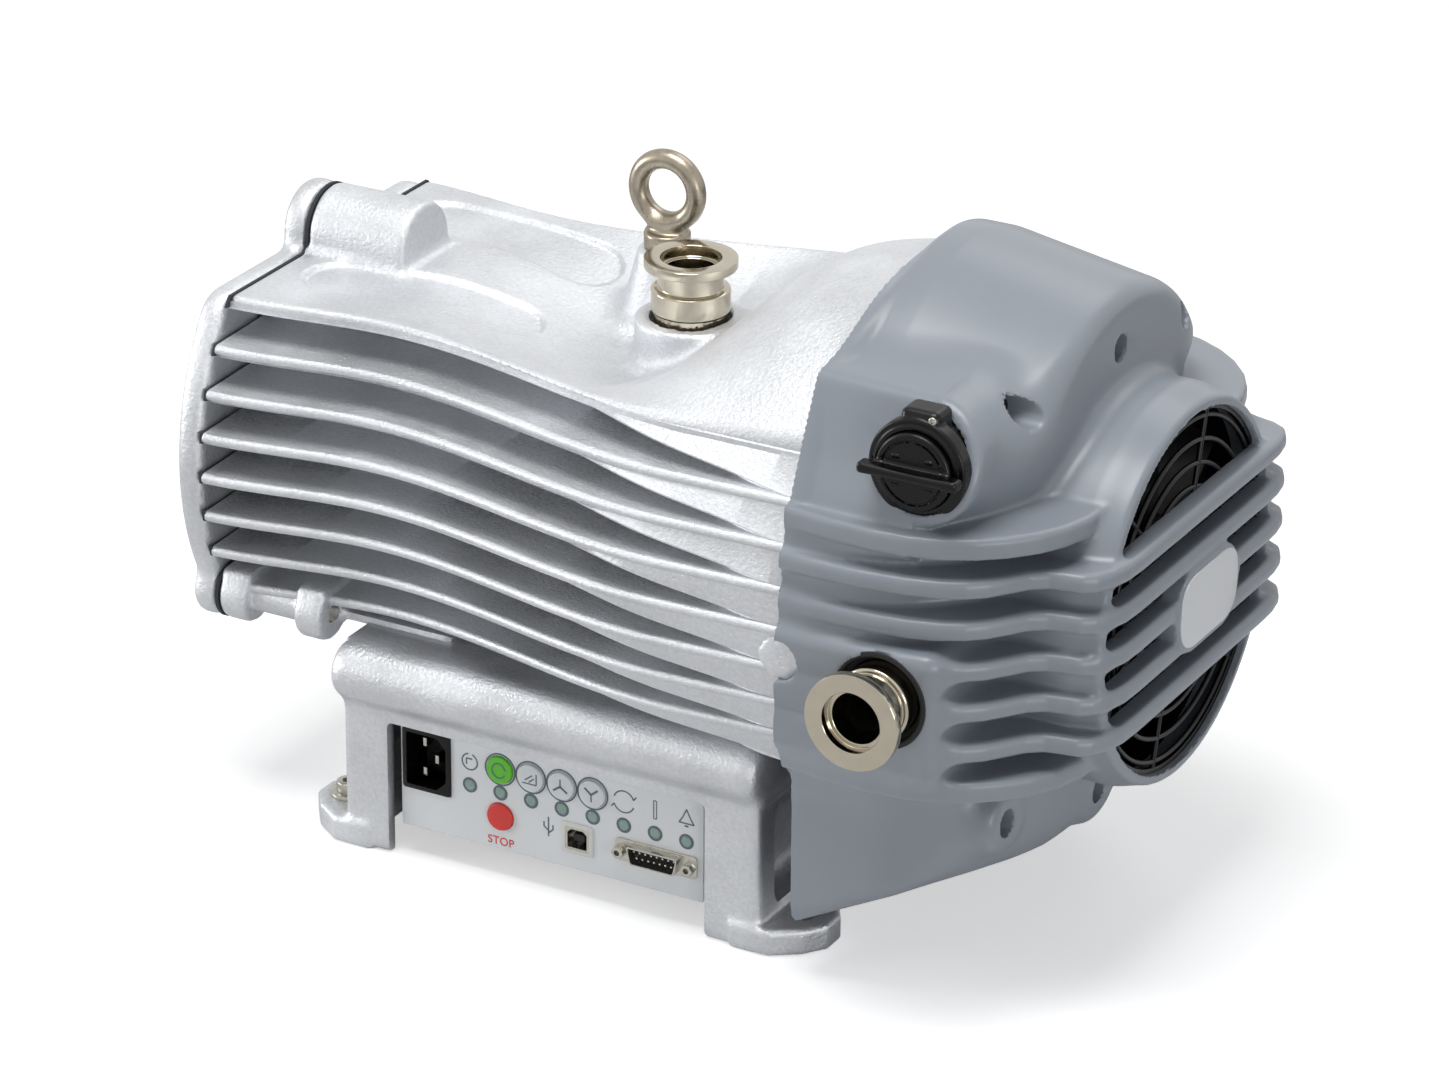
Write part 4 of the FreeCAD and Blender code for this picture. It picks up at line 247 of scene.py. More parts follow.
def skin(name, field, low, high, step, angle=32.0):
    """Closed surface where a distance field is zero: one point for each cell that the surface crosses."""
    axes = [np.arange(a, b + step, step) for a, b in zip(low, high)]
    x, y, z = axes[0][:, None, None], axes[1][None, :, None], axes[2][None, None, :]
    shape = tuple(len(axis) for axis in axes)
    values = np.broadcast_to(field(x, y, z), shape)
    inside = values < 0.0
    shifts = [(i, j, k) for i in (0, 1) for j in (0, 1) for k in (0, 1)]
    cells = tuple(n - 1 for n in shape)
    count = np.zeros(cells, np.int8)
    for i, j, k in shifts:
        count += inside[i:i + cells[0], j:j + cells[1], k:k + cells[2]]
    crossed = (count > 0) & (count < 8)
    number = np.full(cells, -1, np.int32)
    places = np.argwhere(crossed)
    number[crossed] = np.arange(len(places))
    corner = {s: values[places[:, 0] + s[0], places[:, 1] + s[1], places[:, 2] + s[2]] for s in shifts}
    total = np.zeros((len(places), 3))
    hits = np.zeros(len(places))
    for first in shifts:
        for axis in range(3):
            if first[axis]:
                continue
            second = tuple(v + (n == axis) for n, v in enumerate(first))
            a, b = corner[first], corner[second]
            cross = (a < 0.0) != (b < 0.0)
            share = np.where(cross, a / np.where(cross, a - b, 1.0), 0.0)
            for n in range(3):
                total[:, n] += np.where(cross, first[n] + (share if n == axis else 0.0), 0.0)
            hits += cross
    points = np.array(low) + step * (places + total / hits[:, None])
    quads = []
    for axis in range(3):
        u, v = (axis + 1) % 3, (axis + 2) % 3
        near = [slice(1, -1)] * 3
        far = [slice(1, -1)] * 3
        near[axis], far[axis] = slice(0, -1), slice(1, None)
        a, b = inside[tuple(near)], inside[tuple(far)]
        spots = np.argwhere(a != b) + [int(n != axis) for n in range(3)]
        ring = []
        for du, dv in ((-1, -1), (0, -1), (0, 0), (-1, 0)):
            spot = spots.copy()
            spot[:, u] += du
            spot[:, v] += dv
            ring.append(number[spot[:, 0], spot[:, 1], spot[:, 2]])
        quad = np.stack(ring, 1)
        outward = inside[spots[:, 0], spots[:, 1], spots[:, 2]]
        quads.append(np.where(outward[:, None], quad, quad[:, ::-1]))
    return quad_mesh(name, settle(field, points, step), np.concatenate(quads), angle)


def settle(field, points, step):
    """Moves each point on to the field's zero level, by at most half a step."""
    reach = 0.2 * step
    for turn in range(2):
        x, y, z = points.T
        value = field(x, y, z)
        slope = np.stack([
            field(x + reach, y, z) - field(x - reach, y, z),
            field(x, y + reach, z) - field(x, y - reach, z),
            field(x, y, z + reach) - field(x, y, z - reach),
        ], 1) / (2.0 * reach)
        size = np.maximum((slope ** 2).sum(1), 0.05)
        shift = (value / size)[:, None] * slope
        far = np.linalg.norm(shift, axis=1)
        shift *= np.minimum(1.0, 0.5 * step / np.maximum(far, 1e-9))[:, None]
        points = points - shift
    return points


def lathe(name, profile, place, axis, segments=96, angle=32.0):
    """Solid turned about an axis: profile holds (radius, height) points, radius 0 at a closed pole."""
    points, faces, rings = [], [], []
    for radius, height in profile:
        if radius < 1e-6:
            rings.append([len(points)])
            points.append((0.0, 0.0, height))
            continue
        rings.append(list(range(len(points), len(points) + segments)))
        for index in range(segments):
            turn = 2.0 * math.pi * index / segments
            points.append((radius * math.cos(turn), radius * math.sin(turn), height))
    closed = profile[0][0] > 1e-6
    pairs = list(zip(rings, rings[1:] + rings[:1])) if closed else list(zip(rings, rings[1:]))
    for first, second in pairs:
        for index in range(segments):
            after = (index + 1) % segments
            if len(first) == 1:
                faces.append((first[0], second[after], second[index]))
            elif len(second) == 1:
                faces.append((first[index], first[after], second[0]))
            else:
                faces.append((first[index], first[after], second[after], second[index]))
    turn = {"X": Matrix(((0, 0, 1), (1, 0, 0), (0, 1, 0))), "Y": Matrix(((0, 1, 0), (0, 0, 1), (1, 0, 0))),
            "Z": Matrix.Identity(3)}[axis]
    placed = [tuple(turn @ Vector(point) + Vector(place)) for point in points]
    return outward(mesh_object(name, placed, faces, angle))


def outward(piece):
    """Turns a closed mesh's faces to the outside."""
    work = bmesh.new()
    work.from_mesh(piece.data)
    bmesh.ops.recalc_face_normals(work, faces=work.faces)
    work.to_mesh(piece.data)
    work.free()
    return piece


def softened(corners, radius, closed=True, steps=3):
    """An outline of 2-D points with each corner rounded."""
    result = []
    count = len(corners)
    for index, corner in enumerate(corners):
        here = np.array(corner, float)
        if not closed and index in (0, count - 1):
            result.append(tuple(here))
            continue
        before = np.array(corners[index - 1], float) - here
        after = np.array(corners[(index + 1) % count], float) - here
        reach = min(radius, 0.45 * np.linalg.norm(before), 0.45 * np.linalg.norm(after))
        start = here + before / max(np.linalg.norm(before), 1e-9) * reach
        end = here + after / max(np.linalg.norm(after), 1e-9) * reach
        for step in range(steps + 1):
            t = step / steps
            result.append(tuple((1 - t) ** 2 * start + 2 * t * (1 - t) * here + t * t * end))
    return result


def turned_profile(corners, radius):
    """A lathe profile with rounded corners, whose points on the axis stay put."""
    on_axis = corners[0][0] < 1e-6
    return softened(corners, radius, closed=not on_axis)


def prism(name, outline, place, axis, depth, edge=0.4, angle=32.0):
    """Solid with a given outline and bevelled rims, grown along an axis from its place."""
    outline = [tuple(point) for point in outline]
    count = len(outline)
    centre = np.mean(outline, axis=0)
    levels = [(0.0, edge), (edge * 0.3, edge * 0.3), (edge, 0.0), (depth - edge, 0.0),
              (depth - edge * 0.3, edge * 0.3), (depth, edge)]
    points, faces = [], []
    inward = inward_normals(np.array(outline, float))
    for height, inset in levels:
        points += [(u + inset * n[0], v + inset * n[1], height) for (u, v), n in zip(outline, inward)]
    for level in range(len(levels) - 1):
        for index in range(count):
            after = (index + 1) % count
            a, b = level * count, (level + 1) * count
            faces.append((a + index, a + after, b + after, b + index))
    faces.append(tuple(range(count))[::-1])
    faces.append(tuple(range((len(levels) - 1) * count, len(levels) * count)))
    turn = {"X": Matrix(((0, 0, 1), (1, 0, 0), (0, 1, 0))), "Y": Matrix(((1, 0, 0), (0, 0, 1), (0, 1, 0))),
            "Z": Matrix.Identity(3)}[axis]
    placed = [tuple(turn @ Vector(point) + Vector(place)) for point in points]
    return outward(mesh_object(name, placed, faces, angle))


def inward_normals(outline):
    """Unit vectors that point into a closed outline at each of its points."""
    before = outline - np.roll(outline, 1, 0)
    after = np.roll(outline, -1, 0) - outline
    along = before / np.maximum(np.linalg.norm(before, axis=1), 1e-9)[:, None]
    along += after / np.maximum(np.linalg.norm(after, axis=1), 1e-9)[:, None]
    along /= np.maximum(np.linalg.norm(along, axis=1), 1e-9)[:, None]
    normal = np.stack([-along[:, 1], along[:, 0]], 1)
    area = np.sum(outline[:, 0] * np.roll(outline[:, 1], -1) - np.roll(outline[:, 0], -1) * outline[:, 1])
    return normal if area > 0 else -normal


def rectangle(left, right, low, high, radius):
    """Outline of a rectangle with rounded corners."""
    return softened([(left, low), (right, low), (right, high), (left, high)], radius)


def disc(radius, u=0.0, v=0.0, count=48):
    """Outline of a disc, or of a regular polygon when it has few corners."""
    return [(u + radius * math.cos(2 * math.pi * n / count), v + radius * math.sin(2 * math.pi * n / count))
            for n in range(count)]


def joined(name, pieces, angle=32.0):
    """One object from several, each kept as its own closed shell."""
    points, faces = [], []
    for piece in pieces:
        start = len(points)
        points += [tuple(v.co) for v in piece.data.vertices]
        faces += [tuple(start + index for index in face.vertices) for face in piece.data.polygons]
        bpy.data.objects.remove(piece)
    mesh = bpy.data.meshes.new(name)
    mesh.from_pydata(points, [], faces)
    return shaded(link(name, mesh), angle)


def cut(piece, cutters, angle=32.0):
    """Takes closed cutters away from a piece."""
    for cutter in cutters:
        change = piece.modifiers.new("cut", "BOOLEAN")
        change.operation = "DIFFERENCE"
        change.solver = "MANIFOLD"
        change.object = cutter
    made = evaluated(piece, angle)
    for cutter in cutters:
        bpy.data.objects.remove(cutter)
    return made


def thinned(piece, share, angle=32.0):
    """The piece with only a share of its faces."""
    change = piece.modifiers.new("thin", "DECIMATE")
    change.ratio = share
    return evaluated(piece, angle)


def evaluated(piece, angle=32.0):
    """The piece with its modifiers worked into a plain mesh."""
    bpy.context.view_layer.update()
    graph = bpy.context.evaluated_depsgraph_get()
    mesh = bpy.data.meshes.new_from_object(piece.evaluated_get(graph))
    old = piece.data
    piece.modifiers.clear()
    piece.data = mesh
    mesh.name = piece.name
    if old.users == 0:
        bpy.data.meshes.remove(old)
    return shaded(piece, angle)


# Rules for joining distance fields

def blend_max(a, b, width):
    """Overlap of two fields, with the edge between them rounded."""
    share = np.maximum(width - np.abs(a - b), 0.0) / width
    return np.maximum(a, b) + share * share * width * 0.25


def blend_min(a, b, width):
    """Union of two fields, with the corner between them filled."""
    return -blend_max(-a, -b, width)


def box_field(x, y, z, low, high, radius=0.0):
    """Distance to a box with rounded edges."""
    parts = []
    for value, a, b in zip((x, y, z), low, high):
        parts.append(np.abs(value - (a + b) / 2.0) - (b - a) / 2.0 + radius)
    outside = np.sqrt(sum(np.maximum(part, 0.0) ** 2 for part in parts))
    within = np.minimum(np.maximum(np.maximum(parts[0], parts[1]), parts[2]), 0.0)
    return outside + within - radius


def rod_field(across, up, along, radius, start, end, edge=1.0):
    """Distance to a round bar with softened ends."""
    return blend_max(np.hypot(across, up) - radius, np.maximum(start - along, along - end), edge)


def polygon_field(u, v, outline):
    """Distance to a closed outline, negative inside."""
    best = None
    winding = None
    count = len(outline)
    for index in range(count):
        (au, av), (bu, bv) = outline[index], outline[(index + 1) % count]
        eu, ev = bu - au, bv - av
        wu, wv = u - au, v - av
        share = np.clip((wu * eu + wv * ev) / (eu * eu + ev * ev + 1e-12), 0.0, 1.0)
        far = (wu - eu * share) ** 2 + (wv - ev * share) ** 2
        best = far if best is None else np.minimum(best, far)
        crossing = ((av > v) != (bv > v)) & (wu < eu * wv / (ev if abs(ev) > 1e-9 else 1e-9))
        winding = crossing if winding is None else winding ^ crossing
    return np.where(winding, -1.0, 1.0) * np.sqrt(best)


def level(value):
    """0 to 1 with level ends."""
    value = np.clip(value, 0.0, 1.0)
    return value * value * (3.0 - 2.0 * value)


# Barrel: the curves that its fins and deck follow

def side_y(x, z, inset=0.0):
    """Half width of the barrel over the fins: narrow behind the cover, wider towards the cowl."""
    waist = level((x + 166.0) / 76.0)
    flare = level((x + 90.0) / 160.0)
    centre = SIDE_HALF_WIDTH - SIDE_RADIUS + 29.0 * flare - 7.5 * waist
    return centre + np.sqrt(np.maximum(SIDE_RADIUS ** 2 - (z - SHAFT_Z) ** 2, 1.0)) - inset


def deck_middle(x):
    """Height of the deck on its middle line: it dips, then climbs to the cowl."""
    dip = DECK_MIDDLE_DIP * level((x + 110.0) / 115.0)
    climb = np.maximum(x - DECK_LOW_X, 0.0) / (FRONT_X - DECK_LOW_X)
    early = np.sin(np.pi * np.clip((x - 20.0) / 100.0, 0.0, 1.0)) ** 1.4
    return DECK_EDGE_Z - dip + DECK_MIDDLE_RISE * climb ** 1.1 + 16.0 * early


def deck_surface(x, y):
    """Height of the deck: curved between its edges, and partly like the hood's arch near the cowl."""
    middle = deck_middle(x)
    plain = middle + (DECK_EDGE_Z - middle) * (y / side_y(x, DECK_EDGE_Z)) ** 2
    across = (np.sqrt(y ** 2 + 64.0) - 8.0) / HOOD_HALF_WIDTH
    arch = SHAFT_Z + HOOD_REAR_RISE * np.sqrt(np.clip(1.0 - across ** 2, 0.05, 1.0)) - 0.6
    return plain + 0.25 * (arch - plain) * level((x - 64.0) / 58.0)


def barrel_section(x, sizes):
    """Points (y, z) down one side of the barrel, from the deck's edge to the middle of its underside."""
    thickness = sizes.fin_thickness / MM
    recess = sizes.fin_recess / MM
    along = (x - REAR_X) / (FRONT_X - REAR_X)
    pitch = REAR_FIN_PITCH + (FRONT_FIN_PITCH - REAR_FIN_PITCH) * along
    gap = pitch - thickness
    closing = min(max((x - 21.0) / 98.0, 0.0), 1.0)
    opening = max(gap * (1.0 - closing), 0.25)
    fade = float(level(opening / 12.0))
    fillet = min(4.0, 0.42 * opening)
    points = []
    for fin in range(FIN_COUNT):
        top = DECK_EDGE_Z - fin * pitch
        under = top - thickness
        middle = top - thickness / 2.0
        tip = float(side_y(x, middle))
        if fin:
            for degrees in (90.0, 65.0, 40.0, 15.0, -12.0, -38.0, -62.0):
                turn = math.radians(degrees)
                points.append((tip - thickness / 2.0 * (1.0 - math.cos(turn)),
                               middle + thickness / 2.0 * math.sin(turn)))
        else:
            points.append((tip - recess, middle))
        facet_end = under - gap * closing
        wall = float(side_y(x, facet_end)) - recess
        corner = min(1.2, 0.35 * opening)
        points.append((tip - recess - 0.02, under + 0.1))
        points.append((wall, facet_end + min(corner, 0.05 + gap * closing)))
        points.append((wall - 0.3 * corner, facet_end + 0.25 * corner * min(closing * 8.0, 1.0)))
        points.append((wall - corner, facet_end))
        depth = sizes.fin_depth / MM * fade + 0.3
        floor = float(side_y(x, facet_end - opening / 2.0)) - recess - depth
        round_in = min(fillet, 0.45 * depth)
        if fin == FIN_COUNT - 1:
            bottom = BARREL_BOTTOM + 2.0
            points += [(floor + round_in, facet_end - 0.3),
                       (floor + 0.3 * round_in, facet_end - 0.3 - 0.3 * round_in),
                       (floor, facet_end - round_in), (floor, min(bottom, facet_end - round_in - 0.1)),
                       (floor - 4.0, BARREL_BOTTOM), (floor * 0.5, BARREL_BOTTOM), (0.0, BARREL_BOTTOM)]
            break
        bed = facet_end - opening
        points += [(floor + round_in, facet_end - 0.08 * opening),
                   (floor + 0.3 * round_in, facet_end - 0.3 * round_in - 0.05 * opening),
                   (floor, facet_end - round_in), (floor, bed + round_in),
                   (floor + 0.3 * round_in, bed + 0.3 * round_in + 0.05 * opening),
                   (floor + round_in, bed + 0.06 * opening)]
    return points


def finned_barrel(sizes):
    """Barrel with its fins, lofted through many stations, with the bores cut out."""
    stations = np.linspace(REAR_X, FRONT_X, 168)
    shares = np.linspace(-1.0, 1.0, 17)[1:-1]
    rows = []
    for x in stations:
        side = barrel_section(float(x), sizes)
        edge = side[0][0]
        # Both limits lie inside the deck's plate, so that the deck alone shows above
        side = side[:1] + [(y, min(z, float(deck_surface(x, y)) - 4.3)) for y, z in side[1:]]
        top = [(edge * share, float(deck_surface(x, edge * share)) - 3.2) for share in shares]
        left = [(-y, z) for y, z in side[:-1]][::-1]
        rows.append([(float(x), y, z) for y, z in side + left + top])
    count = len(rows[0])
    points = [point for row in rows for point in row]
    faces = []
    for row in range(len(rows) - 1):
        for index in range(count):
            after = (index + 1) % count
            a, b = row * count, (row + 1) * count
            faces.append((a + index, b + index, b + after, a + after))
    faces.append(tuple(range(count)))
    faces.append(tuple(range((len(rows) - 1) * count, len(rows) * count))[::-1])
    barrel = outward(mesh_object("barrel_fins", points, faces, 40.0))
    barrel = cut(barrel, [bore_cutter()], 40.0)
    mark_painted_shade(barrel, sizes)
    return barrel


def mark_painted_shade(barrel, sizes):
    """Stores painted shade for each point, from 0 to 1, by how deep it lies behind the fins' tips; the
    casting's finish darkens the channels with it where shade falls.
    """
    count = len(barrel.data.vertices)
    places = np.empty(count * 3)
    barrel.data.vertices.foreach_get("co", places)
    x, y, z = places.reshape(-1, 3).T / MM
    inside = side_y(x, z) - sizes.fin_recess / MM - np.abs(y)
    # Painted shade: 0 at the fins' tips, rising to 1 about 10 mm into the channels, kept off the deck's edge
    # and the middle of the underside
    painted_shade = level((inside - 1.0) / 9.0) * (z < DECK_EDGE_Z - 5.0) * (np.abs(y) > 68.0)
    # Kept in the point attribute named recess, which the finish reads as painted shade
    recess = barrel.data.attributes.new("recess", "FLOAT", "POINT")
    recess.data.foreach_set("value", painted_shade.astype(np.float32))


def bore_cutter():
    """Motor bay, bearing seat, passage and scroll chamber as one turned cutter."""
    profile = [(0.0, -170.0), (50.1, -170.0), (50.1, -42.0), (15.5, -42.0), (15.5, -36.0), (26.0, -36.0),
               (26.0, -14.0), (23.0, -14.0), (23.0, -12.0), (46.5, -12.0), (46.5, CHAMBER_X),
               (CHAMBER_RADIUS, CHAMBER_X), (CHAMBER_RADIUS, SCROLL_SEAT_X),
               (SCROLL_SEAT_RADIUS, SCROLL_SEAT_X), (SCROLL_SEAT_RADIUS, 130.0), (0.0, 130.0)]
    return lathe("bore_cutter", profile, (0.0, 0.0, SHAFT_Z), "X", 96)


def deck_field(x, y, z):
    """Deck with the cable's rise, the hill of the lifting eye, the inlet boss and two long recesses."""
    half = side_y(x, DECK_EDGE_Z)
    surface = deck_surface(x, y)
    lean = (deck_surface(x, y + 1.0) - deck_surface(x, y - 1.0)) / 2.0
    pitch = (deck_surface(x + 1.0, y) - deck_surface(x - 1.0, y)) / 2.0
    steep = np.sqrt(1.0 + lean ** 2 + pitch ** 2)
    top = (z - surface) / steep
    for side, begin, end in ((-1.0, 37.0, 25.0), (1.0, 46.0, 42.0)):
        ahead = np.clip(x, RECESS_REAR_X, RECESS_FRONT_X)
        share = (ahead - RECESS_REAR_X) / (RECESS_FRONT_X - RECESS_REAR_X)
        line = side * (begin + (end - begin) * share)
        across = np.hypot(x - ahead, y - line) - RECESS_RADIUS
        top = top + RECESS_DEPTH * level(-across / 2.6)
    lower = (np.minimum(surface - DECK_THICKNESS, DECK_EDGE_Z - DECK_THICKNESS) - z) / steep
    sides = np.abs(y) - half
    body = blend_max(blend_max(top, sides, 3.2), lower, 2.6)
    ends = np.maximum(REAR_X - x, x - FRONT_X)
    body = blend_max(body, ends, 1.2)
    rise = np.hypot(y, np.maximum(z - BUMP_Z, 0.0)) - BUMP_RADIUS
    rise = blend_max(rise, np.maximum(REAR_X - x, x - BUMP_END_X), 3.0)
    rise = np.maximum(rise, 228.0 - z)
    body = blend_min(body, rise, 5.0)
    radius = np.hypot(x - EYE_X, y - EYE_Y)
    climb = np.clip((z - HILL_FOOT_Z) / (EYE_SEAT_Z - HILL_FOOT_Z), 0.03, 1.0)
    hill_radius = HILL_FOOT_RADIUS - HILL_NARROWING * climb ** HILL_POWER
    hill_slope = HILL_NARROWING * HILL_POWER * climb ** (HILL_POWER - 1.0) / (EYE_SEAT_Z - HILL_FOOT_Z)
    hill = (radius - hill_radius) / np.sqrt(1.0 + hill_slope ** 2)
    hill = blend_max(hill, z - EYE_SEAT_Z, 2.5)
    hill = np.maximum(hill, HILL_FOOT_Z + 2.0 - z)
    body = blend_min(body, hill, 9.0)
    from_inlet = np.hypot(x - INLET_X, y)
    boss = blend_max(from_inlet - INLET_BOSS_RADIUS, z - DECK_EDGE_Z, 2.2)
    boss = np.maximum(boss, 200.0 - z)
    body = blend_min(body, boss, 9.0)
    well = np.maximum(from_inlet - INLET_WELL_RADIUS, DECK_EDGE_Z - 5.0 - z)
    way = from_inlet - INLET_BORE_RADIUS
    eye_hole = np.maximum(radius - 4.0, EYE_SEAT_Z - 16.0 - z)
    chamber = np.maximum(np.hypot(y, z - SHAFT_Z) - CHAMBER_RADIUS, CHAMBER_X - x)
    for hole in (well, way, eye_hole, chamber):
        body = np.maximum(body, -hole)
    return body


def lower_field(x, y, z):
    """Drum below the barrel, front flange, its round boss, the lugs and their webs."""
    radius = np.hypot(y, z - SHAFT_Z)
    drum = blend_max(np.maximum(radius - 99.0, z - 100.0), np.maximum(62.0 - x, x - 123.0), 2.0)
    flange = blend_max(radius - 121.0, np.maximum(112.0 - x, x - FRONT_X), 2.0)
    boss = rod_field(x - NOTCH_X + 0.4, z - NOTCH_Z, y, 9.4, -126.8, -97.0, 1.0)
    body = blend_min(blend_min(drum, flange, 4.0), boss, 1.5)
    body = np.maximum(body, -(radius - CHAMBER_RADIUS))
    body = np.maximum(body, -np.maximum(radius - SCROLL_SEAT_RADIUS, SCROLL_SEAT_X - x))
    mirror = np.abs(y)
    for start in (REAR_X, -128.0):
        ear = rod_field(mirror - LUG_Y, z - LUG_Z, x, LUG_RADIUS, start, start + LUG_THICKNESS, 3.0)
        arm = box_field(x, mirror, z, (start, 58.0, 97.0), (start + LUG_THICKNESS, 92.0, 112.0), 2.0)
        body = blend_min(body, blend_min(ear, arm, 3.0), 1.0)
    web = box_field(x, mirror, z, (REAR_X, 60.0, 95.5), (-122.0, 76.0, 100.0), 1.5)
    shelf = box_field(x, mirror, z, (-124.0, 40.0, 94.5), (-60.0, 78.0, 99.0), 2.0)
    body = blend_min(body, blend_min(web, shelf, 3.0), 4.0)
    sleeve = rod_field(mirror - LUG_Y, z - LUG_Z, x, 7.0, -160.0, -120.0, 2.0)
    plate = box_field(x, mirror, z, (-160.0, 74.0, 97.0), (-120.0, 86.0, 104.0), 2.0)
    body = blend_min(body, blend_min(sleeve, plate, 2.0), 1.0)
    hole = np.maximum(np.hypot(mirror - LUG_Y, z - LUG_Z) - ROD_HOLE_RADIUS, x + 115.0)
    return np.maximum(body, -hole)


def cover_field(x, y, z):
    """End cover: the barrel's outline, the rise and two lugs, with rounded rims."""
    mirror = np.abs(y)
    sides = (mirror - side_y(REAR_X, z, 0.6)) * 0.85
    outline = blend_max(blend_max(sides, z - DECK_EDGE_Z + 0.4, 7.0), BARREL_BOTTOM - z, 6.0)
    rise = np.hypot(y, np.maximum(z - BUMP_Z, 0.0)) - BUMP_RADIUS
    rise = np.maximum(rise, 200.0 - z)
    outline = blend_min(outline, rise, 7.0)
    ear = np.hypot(mirror - LUG_Y, z - LUG_Z) - LUG_RADIUS
    outline = blend_min(outline, ear, 5.0)
    thick = np.maximum(-180.0 - x, x + 167.7)
    body = blend_max(outline, thick, 5.5)
    dish = blend_max(outline + 10.0, -(x + 178.2), 2.0)
    body = np.maximum(body, -np.maximum(dish, np.maximum(-190.0 - x, x + 178.2)))
    for sy, sz in cover_screw_places():
        pad = rod_field(y - sy, z - sz, x, 9.5, -180.0, -172.0, 1.5)
        body = blend_min(body, pad, 2.0)
        body = np.maximum(body, -np.maximum(np.hypot(y - sy, z - sz) - 5.3, x + 175.0))
    return np.maximum(body, -np.maximum(np.hypot(mirror - LUG_Y, z - LUG_Z) - ROD_HOLE_RADIUS, -177.0 - x))


def cover_screw_places():
    """Places (y, z) of the end cover's six screws."""
    turns = [math.radians(30.0 + 60.0 * index) for index in range(6)]
    return [(COVER_SCREW_CIRCLE * math.cos(turn), SHAFT_Z + COVER_SCREW_CIRCLE * math.sin(turn))
            for turn in turns]


# Half outline (x, y) of a foot, seen from above
FOOT_PLAN = [(90.0, 99.3), (106.0, 99.3), (118.0, 91.0), (124.5, 82.0), (124.5, 72.0), (119.0, 63.0),
             (106.0, 58.0), (90.0, 58.0)]


def base_field(x, y, z):
    """Base casting: rounded brow, four corner legs, end pocket and ears for the feet."""
    mirror_x, mirror_y = np.abs(x), np.abs(y)
    roll_z = np.abs(z - BROW_Z)
    brow = np.hypot(np.maximum(mirror_y - BROW_Y, 0.0), roll_z) - BROW_RADIUS
    brow = blend_max(brow, mirror_x - BASE_HALF_LENGTH - 2.0, 8.0)
    inner = np.maximum(mirror_y - BROW_Y, roll_z - BROW_RADIUS)
    brow = np.minimum(brow, np.maximum(inner, mirror_x - BASE_HALF_LENGTH))
    body = box_field(x, y, z, (-BASE_HALF_LENGTH, -BASE_HALF_WIDTH, 0.0),
                     (BASE_HALF_LENGTH, BASE_HALF_WIDTH, 78.0), 4.0)
    body = blend_min(brow, body, 5.0)
    plan = polygon_field(mirror_x, mirror_y, FOOT_PLAN) - 1.5
    for sx in (-1.0, 1.0):
        for sy in (-1.0, 1.0):
            foot = blend_max(np.maximum(plan, np.maximum(-sx * x, -sy * y)), np.abs(z - 6.0) - 6.0, 2.5)
            body = blend_min(body, foot, 3.0)
            body = np.maximum(body, -(np.hypot(x - sx * FOOT_X, y - sy * FOOT_Y) - FOOT_HOLE_RADIUS))
    cavity = box_field(x, y, z, (-96.0, -93.0, -20.0), (84.0, 93.0, 90.0), 3.0)
    body = np.maximum(body, -cavity)
    window = box_field(x, y, z, (-79.4, -120.0, -20.0), (75.4, -90.0, 62.4), 2.0)
    body = blend_max(body, -window, 1.5)
    drum = np.maximum(np.hypot(y, z - SHAFT_Z) - 100.5, 60.5 - x)
    pocket = box_field(x, y, z, (87.0, -85.0, 16.0), (140.0, 85.0, 61.0), 6.0)
    return np.maximum(np.maximum(body, -drum), -pocket)


# Cowl

# Outlines (x, y) seen from above: the flank, the bars on the near and the far side, and the two wings
FLANK_PLAN = [(112.0, 127.0), (124.0, 126.6), (140.0, 125.0), (150.0, 123.0), (160.0, 120.3), (170.0, 116.6),
              (179.0, 112.0), (188.0, 105.5), (196.0, 98.5), (204.0, 91.0), (212.0, 84.0), (226.0, 80.0),
              (226.0, 0.0), (112.0, 0.0)]
NEAR_PLAN = [(112.0, 126.6), (124.0, 127.0), (140.0, 128.2), (160.0, 127.6), (180.0, 125.0), (194.0, 121.0),
             (203.0, 116.5), (210.0, 110.5), (216.0, 102.5), (221.0, 95.5), (227.0, 91.0), (234.0, 89.4),
             (240.0, 88.4), (245.0, 84.5), (249.0, 77.5), (251.4, 68.0), (252.0, 56.0)]
FAR_PLAN = [(252.0, -66.0), (251.6, -76.0), (250.2, -84.0), (247.0, -90.0), (241.0, -93.6), (233.0, -95.5),
            (225.0, -98.5), (217.0, -104.5), (209.0, -112.0), (198.0, -119.5), (180.0, -125.0),
            (160.0, -127.6), (124.0, -127.0), (112.0, -126.6)]
WING_PLAN = [(112.0, 122.0), (124.0, 123.0), (145.0, 125.5), (165.0, 126.0), (180.0, 124.5), (194.0, 120.5),
             (206.0, 114.0), (216.0, 106.0), (225.0, 95.5), (231.0, 85.0), (235.0, 72.0), (236.0, 58.0),
             (232.0, 50.0), (112.0, 50.0)]


